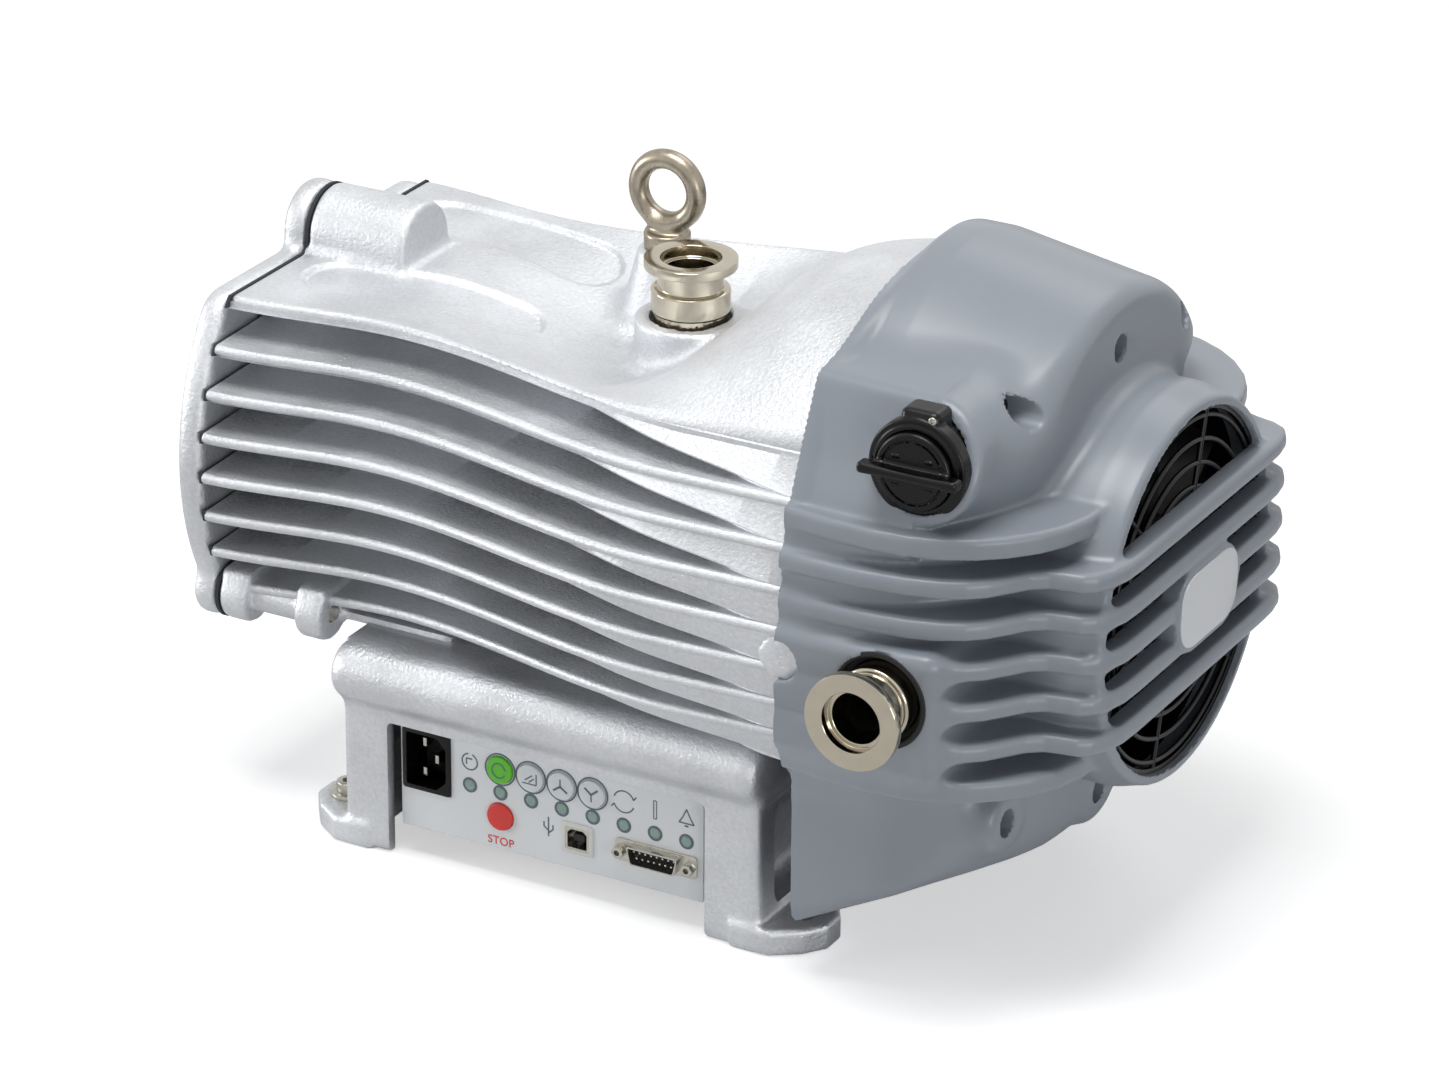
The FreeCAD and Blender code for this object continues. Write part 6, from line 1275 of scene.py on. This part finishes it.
class PUMP_OT_flanges(Operator):
    """Stainless inlet and exhaust flanges"""
    bl_idname = "pump.flanges"
    bl_label = "Vacuum flanges"

    def execute(self, context):
        inlet = [(11.0, 229.0), (16.0, 229.0), (16.0, 236.6), (16.9, 237.2), (16.9, 246.4), (16.0, 247.0),
                 (14.0, 247.2), (14.0, 254.2), (15.0, 254.9), (20.0, 256.2), (20.0, 260.2), (13.0, 260.2),
                 (13.0, 255.2), (11.0, 255.2)]
        piece = lathe("inlet_fitting", turned_profile(inlet, 0.45), (INLET_X, 0.0, 0.0), "Z", 128)
        dress(piece, "stainless", ["inlet_flange"])
        face = EXHAUST_FACE_Y
        outlet = [(11.0, -112.0), (16.0, -112.0), (16.0, face + 18.6), (15.2, face + 18.0),
                  (14.0, face + 17.8), (14.0, face + 6.2), (15.0, face + 5.4), (20.8, face + 4.0),
                  (20.8, face), (13.0, face), (13.0, face + 5.0), (11.0, face + 5.0)]
        piece = lathe("exhaust_fitting", turned_profile(outlet, 0.45), (EXHAUST_X, 0.0, EXHAUST_Z), "Y", 128)
        dress(piece, "stainless", ["exhaust_flange"])
        return {"FINISHED"}


def eye_field(x, y, z):
    """Lifting eye: ring, waisted neck and round collar."""
    cx, cy = x - EYE_X, y - EYE_Y
    ring_z = EYE_SEAT_Z + 25.5
    around = np.hypot(cx, z - ring_z)
    ring = np.hypot(around - 14.0, cy * 0.98) - 4.3
    from_axis = np.hypot(cx, cy)
    collar = blend_max(from_axis - 10.1, np.maximum(EYE_SEAT_Z - z, z - EYE_SEAT_Z - 7.4), 1.6)
    neck = np.maximum(np.maximum(np.hypot(cx * 0.75, cy) - 5.6, z - EYE_SEAT_Z - 12.5), EYE_SEAT_Z - z)
    body = blend_min(blend_min(ring, neck, 4.0), collar, 2.5)
    shank = np.maximum(from_axis - 3.9, np.maximum(EYE_SEAT_Z - 15.9 - z, z - EYE_SEAT_Z - 2.0))
    return blend_min(body, shank, 0.5)


class PUMP_OT_lifting_eye(Operator):
    """Lifting eye on the deck"""
    bl_idname = "pump.lifting_eye"
    bl_label = "Lifting eye"

    def execute(self, context):
        eye = skin("lifting_ring", eye_field, (-38.0, 16.0, 230.0), (6.0, 44.0, 293.0), 0.62, 40.0)
        dress(eye, "eye", ["lifting_eye"])
        return {"FINISHED"}


def ballast_body_field(x, y, z):
    """Black body of the gas ballast control with a tab above and below."""
    across, up = x - BALLAST_X, z - BALLAST_Z
    far = np.hypot(across, up)
    body = blend_max(far - 19.0, np.maximum(BALLAST_FACE_Y - y, y + 94.0), 1.2)
    collar = blend_max(far - 21.4, np.maximum(BALLAST_FACE_Y + 0.6 - y, y + 108.0), 1.2)
    tab = box_field(across, y, up, (-8.8, -114.0, -24.4), (8.8, -100.0, 24.4), 3.2)
    body = blend_min(np.minimum(body, collar), tab, 1.5)
    seat = np.maximum(far - 16.8, y - BALLAST_FACE_Y - 5.0)
    bore = np.maximum(far - 3.0, y - BALLAST_FACE_Y - 14.0)
    duct = np.maximum(far - 3.0, BALLAST_FACE_Y + 14.0 - y)
    body = np.maximum(np.maximum(np.maximum(body, -seat), -bore), -duct)
    return body


def ballast_knob_field(x, y, z):
    """Knob: disc with a ring groove, raised dial marks and a waisted grip bar."""
    across, up = x - BALLAST_X, z - BALLAST_Z
    far = np.hypot(across, up)
    front = BALLAST_FACE_Y - 3.0
    knob = blend_max(far - 16.4, np.maximum(front - y, y - BALLAST_FACE_Y - 4.6), 1.6)
    groove = np.maximum(np.abs(far - 13.3) - 0.5, y - front - 0.8)
    knob = np.maximum(knob, -groove)
    for turn in (40.0, 140.0, 220.0, 320.0):
        mx, mz = 9.6 * math.cos(math.radians(turn)), 9.6 * math.sin(math.radians(turn))
        mark = box_field(across - mx, y, up - mz, (-1.6, front - 0.5, -0.5), (1.6, front + 1.0, 0.5), 0.3)
        knob = np.minimum(knob, mark)
    grip_width = 1.9 + 0.5 * (np.abs(across) / 22.0) ** 2
    grip = blend_max(np.abs(up) - grip_width, np.abs(across) - 22.0, 1.8)
    grip = blend_max(grip, np.maximum(front - 6.0 - y, y - front - 1.0), 1.8)
    knob = blend_min(knob, grip, 1.8)
    spindle = np.maximum(far - 2.7, np.maximum(BALLAST_FACE_Y - y, y - BALLAST_FACE_Y - 13.0))
    return np.minimum(knob, spindle)


class PUMP_OT_ballast(Operator):
    """Gas ballast control: body, turning knob and small screws"""
    bl_idname = "pump.ballast"
    bl_label = "Gas ballast control"

    def execute(self, context):
        low, high = (BALLAST_X - 27.0, -127.0, BALLAST_Z - 28.0), (BALLAST_X + 27.0, -92.0, BALLAST_Z + 28.0)
        body = skin("ballast_housing", ballast_body_field, low, high, 0.7, 36.0)
        dress(body, "black", ["gas_ballast_body"])
        knob = skin("ballast_dial", ballast_knob_field, low, high, 0.55, 36.0)
        dress(knob, "black", ["gas_ballast_knob"], "ballast_knob")
        screw = socket_screw("ballast_screw", 1.7, -0.9, "Y", -5.0, 0.9)
        places = [(BALLAST_X + across, BALLAST_SCREW_Y, BALLAST_Z + up)
                  for across, up in ((6.2, 21.6), (-6.2, -21.6), (6.2, -21.6))]
        screws = repeated("ballast_screw_set", screw, places, "zinc")
        dress(screws, "zinc", ["gas_ballast_screws"])
        return {"FINISHED"}


def control_x(index):
    """Place of a key or lamp along the panel."""
    return CONTROL_LEFT_X + CONTROL_PITCH * index


def panel_block(name, outline, start, depth, edge):
    """Solid with an (x, z) outline, grown inwards from a given distance behind the panel's face."""
    return prism(name, outline, (0.0, PANEL_Y + start, 0.0), "Y", depth, edge)


def stroke(points, width, face=PANEL_Y, lift=0.12):
    """Thin printed line through (x, z) points on the panel's or a key's face."""
    parts = []
    for (ax, az), (bx, bz) in zip(points, points[1:]):
        far = math.hypot(bx - ax, bz - az)
        nx, nz = -(bz - az) / far * width / 2.0, (bx - ax) / far * width / 2.0
        outline = [(ax + nx, az + nz), (bx + nx, bz + nz), (bx - nx, bz - nz), (ax - nx, az - nz)]
        parts.append(prism("stroke", outline, (0.0, face - lift, 0.0), "Y", lift + 0.02, 0.02))
    return parts


def strokes(lines, face=PANEL_Y):
    """Several printed lines, each given as its points and its width."""
    return [part for points, width in lines for part in stroke(points, width, face)]


def arc(x, z, radius, start, end, count=14):
    """Points along part of a circle, between two angles in degrees."""
    turns = [math.radians(start + (end - start) * n / count) for n in range(count + 1)]
    return [(x + radius * math.cos(turn), z + radius * math.sin(turn)) for turn in turns]


def printed_ring(x, z, outer, inner):
    """Thin printed ring on the panel's face."""
    front, back = PANEL_Y - 0.15, PANEL_Y + 0.02
    return lathe("ring", [(inner, front), (outer, front), (outer, back), (inner, back)], (x, 0.0, z), "Y", 48)


def printed_word(name, word, x, z, height, y):
    """Flat letters on the panel, turned into a mesh before they are placed."""
    text = bpy.data.curves.new(name, "FONT")
    text.body = word
    text.size = height * MM
    text.align_x = "CENTER"
    text.extrude = 0.00007
    text.space_character = 1.02
    holder = link(name, text)
    bpy.context.view_layer.update()
    mesh = bpy.data.meshes.new_from_object(holder.evaluated_get(bpy.context.evaluated_depsgraph_get()))
    bpy.data.objects.remove(holder)
    mesh.transform(Matrix.Translation(Vector((x, y - 0.07, z)) * MM) @ Matrix.Rotation(math.pi / 2.0, 4, "X"))
    return shaded(link(name, mesh), 30.0)


BUTTONS = {"start_button": (1, CONTROL_Z, "green", "green_button", "start_key"),
           "stop_button": (1, STOP_Z, "red", "red_button", "stop_key"),
           "standby_button": (2, CONTROL_Z, "key", "light_button", "standby_key"),
           "speed_down_button": (3, CONTROL_Z, "key", "light_button", "speed_down_key"),
           "speed_up_button": (4, CONTROL_Z, "key", "light_button", "speed_up_key")}


class PUMP_OT_panel(Operator):
    """Operator panel with its prints, keys and lamps"""
    bl_idname = "pump.panel"
    bl_label = "Operator panel"

    def execute(self, context):
        self.make_plate()
        self.make_keys()
        self.make_prints()
        self.make_lamps()
        return {"FINISHED"}

    def make_plate(self):
        """Panel plate with its openings."""
        plate = panel_block("panel_plate", rectangle(-75.0, 73.0, 14.0, 62.0, 1.2), 0.0, 3.0, 0.25)
        openings = [disc(6.5, control_x(index), z) for index, z, *rest in BUTTONS.values()]
        openings += [disc(2.5, control_x(index), LAMP_Z) for index in range(LAMP_COUNT)]
        openings += [rectangle(*POWER_INLET, 0.8), rectangle(*DATA_SOCKET, 0.5),
                     softened(serial_outline(0.0), 0.8)]
        holes = [panel_block("hole", outline, -1.0, 6.0, 0.05) for outline in openings]
        dress(cut(plate, holes), "panel", ["interface_panel"])

    def make_keys(self):
        """Round keys with their outlines, each on its own body."""
        for node, (index, z, finish_name, slot, body) in BUTTONS.items():
            x = control_x(index)
            profile = [(0.0, KEY_FACE_Y), (6.2, KEY_FACE_Y), (6.2, PANEL_Y + 3.1), (7.0, PANEL_Y + 3.1),
                       (7.0, PANEL_Y + 4.1), (0.0, PANEL_Y + 4.1)]
            cap = lathe(node + "_cap", turned_profile(profile, 0.6), (x, 0.0, z), "Y", 64)
            dress(cap, finish_name, [node], body)
            lines = self.icon(node, x, z)
            if lines:
                dress(joined(node + "_icon", strokes(lines, KEY_FACE_Y)), "ink", (), body)

    def make_prints(self):
        """Printed rings, lines and signs, and the word under the stop key."""
        prints = [printed_ring(control_x(index), LAMP_Z, 3.5, 2.6) for index in range(LAMP_COUNT)]
        for index in (1, 2, 3, 4):
            x = control_x(index)
            prints.append(printed_ring(x, CONTROL_Z, 7.6, 6.9))
            prints += stroke([(x, CONTROL_Z - 7.4), (x, LAMP_Z + 3.4)], 0.7)
        prints += strokes(self.signs())
        dress(joined("panel_prints", prints), "ink")
        word = printed_word("stop_word", "STOP", control_x(1), STOP_Z - 13.6, 5.4, PANEL_Y)
        dress(word, "red_ink")

    def make_lamps(self):
        """Row of small lamps under the keys."""
        profile = [(0.0, PANEL_Y - 0.3), (2.4, PANEL_Y - 0.2), (2.4, PANEL_Y + 9.0), (0.0, PANEL_Y + 9.0)]
        lens = lathe("lens", turned_profile(profile, 0.4), (0.0, 0.0, LAMP_Z), "Y", 32)
        lamps = repeated("lamp_set", lens, [(control_x(index), 0.0, 0.0) for index in range(LAMP_COUNT)],
                         "lamp")
        dress(lamps, "lamp", ["indicator_lamps"])

    def icon(self, node, x, z):
        """Lines and widths of the plain outline on a key's cap; the stop key has none."""
        if node == "start_button":
            return [(arc(x, z, 3.4, 60.0, 330.0), 0.6), ([(x + 1.7, z + 2.9), (x + 3.4, z + 0.6)], 0.6)]
        if node == "standby_button":
            return [([(x - 3.4, z - 2.4), (x + 3.4, z - 2.4), (x + 3.4, z + 2.6)], 0.55),
                    ([(x - 2.2, z - 1.0), (x + 1.4, z + 1.8)], 0.55),
                    ([(x - 0.2, z - 1.6), (x + 2.2, z + 0.4)], 0.55)]
        if node == "speed_down_button":
            return [([(x, z + 3.4), (x, z)], 0.6), ([(x, z), (x - 3.4, z - 2.4)], 0.9),
                    ([(x, z), (x + 3.4, z - 2.4)], 0.9)]
        if node == "speed_up_button":
            return [([(x, z - 3.4), (x, z)], 0.6), ([(x, z), (x - 3.2, z + 2.6)], 0.9),
                    ([(x, z), (x + 3.2, z + 2.6)], 0.9)]
        return []

    def signs(self):
        """Lines and widths of the outlines over the lamps: a plug, a turn, a bar, a bell and a tree."""
        x0, x5, x6, x7 = (control_x(index) for index in (0, 5, 6, 7))
        z = CONTROL_Z
        tree_x, tree_z = -2.0, STOP_Z + 1.0
        return [
            (arc(x0, z, 3.8, 100.0, 430.0), 0.6),
            ([(x0 - 1.6, z - 1.4), (x0 - 1.6, z + 1.4), (x0 + 1.2, z + 1.4)], 0.6),
            (arc(x5, z, 5.0, 20.0, 160.0), 0.6),
            (arc(x5, z, 5.0, 200.0, 340.0), 0.6),
            ([(x5 + 4.7, z + 1.7), (x5 + 6.0, z + 3.4)], 0.6),
            ([(x5 - 4.7, z - 1.7), (x5 - 6.0, z - 3.4)], 0.6),
            ([(x6 - 0.7, z - 4.2), (x6 + 0.7, z - 4.2), (x6 + 0.7, z + 4.2), (x6 - 0.7, z + 4.2),
              (x6 - 0.7, z - 4.2)], 0.4),
            ([(x7 - 3.6, z - 2.6), (x7 + 3.6, z - 2.6), (x7 + 1.8, z + 0.2), (x7, z + 4.0),
              (x7 - 1.8, z + 0.2), (x7 - 3.6, z - 2.6)], 0.6),
            ([(x7 - 0.9, z - 3.8), (x7 + 0.9, z - 3.8)], 0.8),
            ([(tree_x, tree_z - 4.4), (tree_x, tree_z + 4.8)], 0.6),
            ([(tree_x, tree_z - 1.6), (tree_x - 2.2, tree_z), (tree_x - 2.2, tree_z + 2.2)], 0.6),
            ([(tree_x, tree_z - 2.8), (tree_x + 2.2, tree_z - 0.8), (tree_x + 2.2, tree_z + 1.4)], 0.6),
        ]


def serial_outline(grow):
    """Corners of the serial connector's mouth, wider at the top."""
    half_width, half_height = 12.4 + grow, 4.2 + grow
    slant = 1.6
    return [(SERIAL_X - half_width, STOP_Z + half_height), (SERIAL_X + half_width, STOP_Z + half_height),
            (SERIAL_X + half_width - slant, STOP_Z - half_height),
            (SERIAL_X - half_width + slant, STOP_Z - half_height)]


class PUMP_OT_sockets(Operator):
    """Power inlet, data socket and serial connector in the panel"""
    bl_idname = "pump.sockets"
    bl_label = "Sockets"

    def execute(self, context):
        self.power_inlet()
        self.data_socket()
        self.serial_connector()
        return {"FINISHED"}

    def power_inlet(self):
        """Black inlet with a well clipped at two corners, and its three blades."""
        body = panel_block("power_socket", rectangle(*POWER_INLET, 1.6), -1.0, 20.0, 0.5)
        left, right, low, high = -71.8, -52.2, 34.7, 59.3
        clip = 4.5
        well = softened([(left, low), (right - clip, low), (right, low + clip), (right, high - clip),
                         (right - clip, high), (left, high)], 1.2)
        body = cut(body, [panel_block("well", well, -2.0, 18.0, 0.05)])
        dress(body, "black", ["power_inlet"])
        blade = prism("blade", rectangle(-1.0, 1.0, -2.0, 2.0, 0.3), (0.0, 0.0, 0.0), "Y", 16.0, 0.4)
        places = [(x, PANEL_Y + 3.0, z) for x, z in ((-65.0, 40.0), (-65.0, 54.0), (-59.0, 47.0))]
        blades = repeated("power_blades", blade, places, "nickel")
        dress(blades, "nickel", ["power_inlet_pins"])

    def data_socket(self):
        """Square data socket: metal shell, white bezel and black tongue."""
        shell = panel_block("data_shell", rectangle(*DATA_SOCKET, 1.0), -0.6, 9.6, 0.2)
        mouth = softened([(7.6, 24.4), (17.0, 24.4), (17.0, 31.4), (15.2, 33.0), (9.4, 33.0), (7.6, 31.4)],
                         0.4)
        shell = cut(shell, [panel_block("mouth", mouth, -1.6, 9.6, 0.05)])
        dress(shell, "nickel", ["usb_socket"])
        bezel = panel_block("data_bezel", rectangle(4.7, 19.9, 21.4, 36.0, 1.2), -0.7, 0.7, 0.2)
        bezel = cut(bezel, [panel_block("mouth", rectangle(6.4, 18.2, 23.3, 34.1, 1.0), -1.6, 3.0, 0.05)])
        dress(bezel, "white", ["usb_socket"])
        tongue = panel_block("data_tongue", rectangle(9.5, 15.1, 27.1, 30.3, 0.5), 1.0, 7.0, 0.3)
        dress(tongue, "rubber", ["usb_tongue"])

    def serial_connector(self):
        """Serial connector: case, insert, two rows of pins, plate and jack screws."""
        outer, inner = softened(serial_outline(0.0), 1.4), softened(serial_outline(-0.7), 1.1)
        case = panel_block("serial_case", outer, -4.8, 13.8, 0.25)
        case = cut(case, [panel_block("mouth", inner, -6.0, 16.0, 0.05)])
        dress(case, "nickel", ["serial_shell"])
        insert = panel_block("serial_block", inner, -0.5, 9.5, 0.1)
        dress(insert, "black", ["serial_insert"])
        profile = [(0.0, PANEL_Y - 2.6), (0.5, PANEL_Y - 2.6), (0.5, PANEL_Y + 6.0), (0.0, PANEL_Y + 6.0)]
        pin = lathe("pin", turned_profile(profile, 0.3), (0.0, 0.0, 0.0), "Y", 12)
        places = [(SERIAL_X + (index - 3.5) * PIN_PITCH, 0.0, STOP_Z + PIN_ROW_Z) for index in range(8)]
        places += [(SERIAL_X + (index - 3.0) * PIN_PITCH, 0.0, STOP_Z - PIN_ROW_Z) for index in range(7)]
        pins = repeated("serial_pin_set", pin, places, "nickel")
        dress(pins, "nickel", ["serial_pins"])
        outline = softened([(31.0, 24.6), (70.4, 24.6), (70.4, 35.0), (31.0, 35.0)], 2.0)
        plate = panel_block("serial_plate", outline, -0.9, 0.9, 0.2)
        plate = cut(plate, [panel_block("mouth", outer, -2.0, 4.0, 0.05)])
        dress(plate, "nickel", ["serial_jackscrews"])
        nut = panel_block("nut", disc(2.9, count=6), -5.0, 5.0, 0.4)
        thread = [(0.0, PANEL_Y - 6.0), (1.3, PANEL_Y - 6.0), (1.3, PANEL_Y - 1.0), (0.0, PANEL_Y - 1.0)]
        nut = cut(nut, [lathe("thread", thread, (0.0, 0.0, 0.0), "Y", 20)])
        places = [(SERIAL_X + side * 16.65, 0.0, STOP_Z) for side in (-1, 1)]
        nuts = repeated("jackscrew_set", nut, places, "nickel")
        dress(nuts, "nickel", ["serial_jackscrews"])


class PUMP_OT_inner_parts(Operator):
    """Finishes on every piece that is carried over from the frame as it is"""
    bl_idname = "pump.inner_parts"
    bl_label = "Inner parts"

    def execute(self, context):
        slots = {item["node"]: item["material_slot"] for item in frame["record"]["subparts"]}
        for name, piece in frame["nodes"].items():
            piece.data.materials.clear()
            piece.data.materials.append(FINISHES[SLOT_FINISH[slots[name]]])
        return {"FINISHED"}


class PUMP_OT_stage(Operator):
    """Pale floor, soft studio lamps, white surround and the camera"""
    bl_idname = "pump.stage"
    bl_label = "Stage"

    def execute(self, context):
        scene = context.scene
        reach, drop = 4000.0, -0.2
        sheet = [(-reach, -reach, drop), (reach, -reach, drop), (reach, reach, drop), (-reach, reach, drop)]
        floor = mesh_object("floor", sheet, [(0, 1, 2, 3)])
        floor.data.materials.append(self.floor_finish())
        self.surround(scene)
        for name, place, aim, size, power in (
            ("key", (0.05, -0.4, 1.9), (0.0, 0.0, 0.15), 1.0, 21.0),
            ("side", (1.7, -1.0, 0.4), (0.1, 0.0, 0.15), 0.7, 6.0),
            ("back", (0.2, 1.3, 1.7), (0.0, 0.0, 0.15), 1.2, 5.5),
            ("left", (-2.0, -0.9, 0.5), (-0.1, 0.0, 0.15), 0.9, 17.0),
        ):
            lamp = bpy.data.lights.new(name, "AREA")
            lamp.shape = "RECTANGLE"
            lamp.size = size
            lamp.size_y = size * 0.8
            lamp.energy = power
            holder = bpy.data.objects.new(name, lamp)
            holder.location = place
            holder.rotation_euler = (Vector(aim) - Vector(place)).to_track_quat("-Z", "Y").to_euler()
            scene.collection.objects.link(holder)
        self.camera(scene)
        scene.view_settings.view_transform = "Standard"
        return {"FINISHED"}

    def floor_finish(self):
        """White paper: lit like paper, and lifted to white where no shadow falls."""
        made = bpy.data.materials.new("white_paper")
        made.use_nodes = True
        tree = made.node_tree
        tree.nodes.clear()
        place = add(tree, "ShaderNodeTexCoord")
        grain = add(tree, "ShaderNodeTexNoise", {"Scale": 900.0}, {"Vector": (place, "Object")})
        tint = add(tree, "ShaderNodeValToRGB", {}, {"Fac": (grain, "Fac")})
        tint.color_ramp.elements[0].color = (0.86, 0.86, 0.865, 1.0)
        tint.color_ramp.elements[1].color = (0.88, 0.88, 0.885, 1.0)
        paper = add(tree, "ShaderNodeBsdfPrincipled", {"Roughness": 0.9, "Specular IOR Level": 0.1},
                    {"Base Color": (tint, "Color")})
        path = add(tree, "ShaderNodeLightPath")
        glow = add(tree, "ShaderNodeEmission", {"Strength": 0.52})
        clear = add(tree, "ShaderNodeEmission", {"Strength": 0.0})
        lift = add(tree, "ShaderNodeMixShader", {},
                   {0: (path, "Is Camera Ray"), 1: (clear, "Emission"), 2: (glow, "Emission")})
        both = add(tree, "ShaderNodeAddShader", {}, {0: (paper, "BSDF"), 1: (lift, "Shader")})
        add(tree, "ShaderNodeOutputMaterial", {}, {"Surface": (both, "Shader")})
        return made

    def surround(self, scene):
        """White world for the camera and for reflections, a dimmer one for the light it gives."""
        world = bpy.data.worlds.new("studio")
        world.use_nodes = True
        tree = world.node_tree
        tree.nodes.clear()
        path = add(tree, "ShaderNodeLightPath")
        soft = add(tree, "ShaderNodeBackground", {"Color": (0.98, 0.99, 1.0, 1.0), "Strength": 0.13})
        white = add(tree, "ShaderNodeBackground", {"Color": (1.0, 1.0, 1.0, 1.0), "Strength": 1.0})
        direct = add(tree, "ShaderNodeMath", {"operation": "MAXIMUM"},
                     {0: (path, "Is Camera Ray"), 1: (path, "Is Transmission Ray")})
        sheen = add(tree, "ShaderNodeBackground", {"Color": (1.0, 1.0, 1.0, 1.0), "Strength": 0.95})
        lit = add(tree, "ShaderNodeMixShader", {},
                  {0: (path, "Is Glossy Ray"), 1: (soft, "Background"), 2: (sheen, "Background")})
        pick = add(tree, "ShaderNodeMixShader", {},
                   {0: (direct, "Value"), 1: (lit, "Shader"), 2: (white, "Background")})
        add(tree, "ShaderNodeOutputWorld", {}, {"Surface": (pick, "Shader")})
        scene.world = world

    def camera(self, scene):
        """Long lens in front of the panel, turned towards the cowl and a little above."""
        turn, rise, roll = math.radians(29.0), math.radians(24.4), math.radians(0.4)
        target = Vector((0.0387, -0.0167, 0.1413))
        back = Vector((math.sin(turn) * math.cos(rise), -math.cos(turn) * math.cos(rise), math.sin(rise)))
        level_right = Vector((math.cos(turn), math.sin(turn), 0.0))
        level_up = back.cross(level_right)
        right = math.cos(roll) * level_right + math.sin(roll) * level_up
        up = back.cross(right)
        lens = bpy.data.cameras.new("camera")
        lens.lens = 148.8
        lens.sensor_width = 36.0
        lens.clip_end = 50.0
        holder = bpy.data.objects.new("camera", lens)
        pose = Matrix((right, up, back)).transposed().to_4x4()
        pose.translation = target + 2.531 * back
        holder.matrix_world = pose
        scene.collection.objects.link(holder)
        scene.camera = holder


class PUMP_PT_panel(Panel):
    """Buttons and sizes of the pump in the sidebar"""
    bl_label = "Dry scroll pump"
    bl_idname = "PUMP_PT_panel"
    bl_space_type = "VIEW_3D"
    bl_region_type = "UI"
    bl_category = "Pump"

    def draw(self, context):
        column = self.layout.column()
        for settings in (context.scene.pump_sizes, context.scene.pump_colours):
            for name in settings.__annotations__:
                column.prop(settings, name)
        for operator in OPERATORS:
            column.operator(operator.bl_idname)


OPERATORS = (PUMP_OT_inner_parts, PUMP_OT_barrel, PUMP_OT_cover, PUMP_OT_base, PUMP_OT_cowl,
             PUMP_OT_fan_guard, PUMP_OT_flanges, PUMP_OT_lifting_eye, PUMP_OT_ballast, PUMP_OT_panel,
             PUMP_OT_sockets, PUMP_OT_stage)
CLASSES = (PumpSizes, PumpColours) + OPERATORS + (PUMP_PT_panel,)


def register():
    for item in CLASSES:
        bpy.utils.register_class(item)
    bpy.types.Scene.pump_sizes = PointerProperty(type=PumpSizes)
    bpy.types.Scene.pump_colours = PointerProperty(type=PumpColours)


def unregister():
    del bpy.types.Scene.pump_colours
    del bpy.types.Scene.pump_sizes
    for item in reversed(CLASSES):
        bpy.utils.unregister_class(item)


def corners(box):
    return [list(corner) for corner in box]


def main():
    """Registers the add-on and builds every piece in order."""
    register()
    make_finishes(bpy.context.scene.pump_colours)
    for operator in OPERATORS:
        group, name = operator.bl_idname.split(".")
        getattr(getattr(bpy.ops, group), name)()


if __name__ == "__main__":
    main()
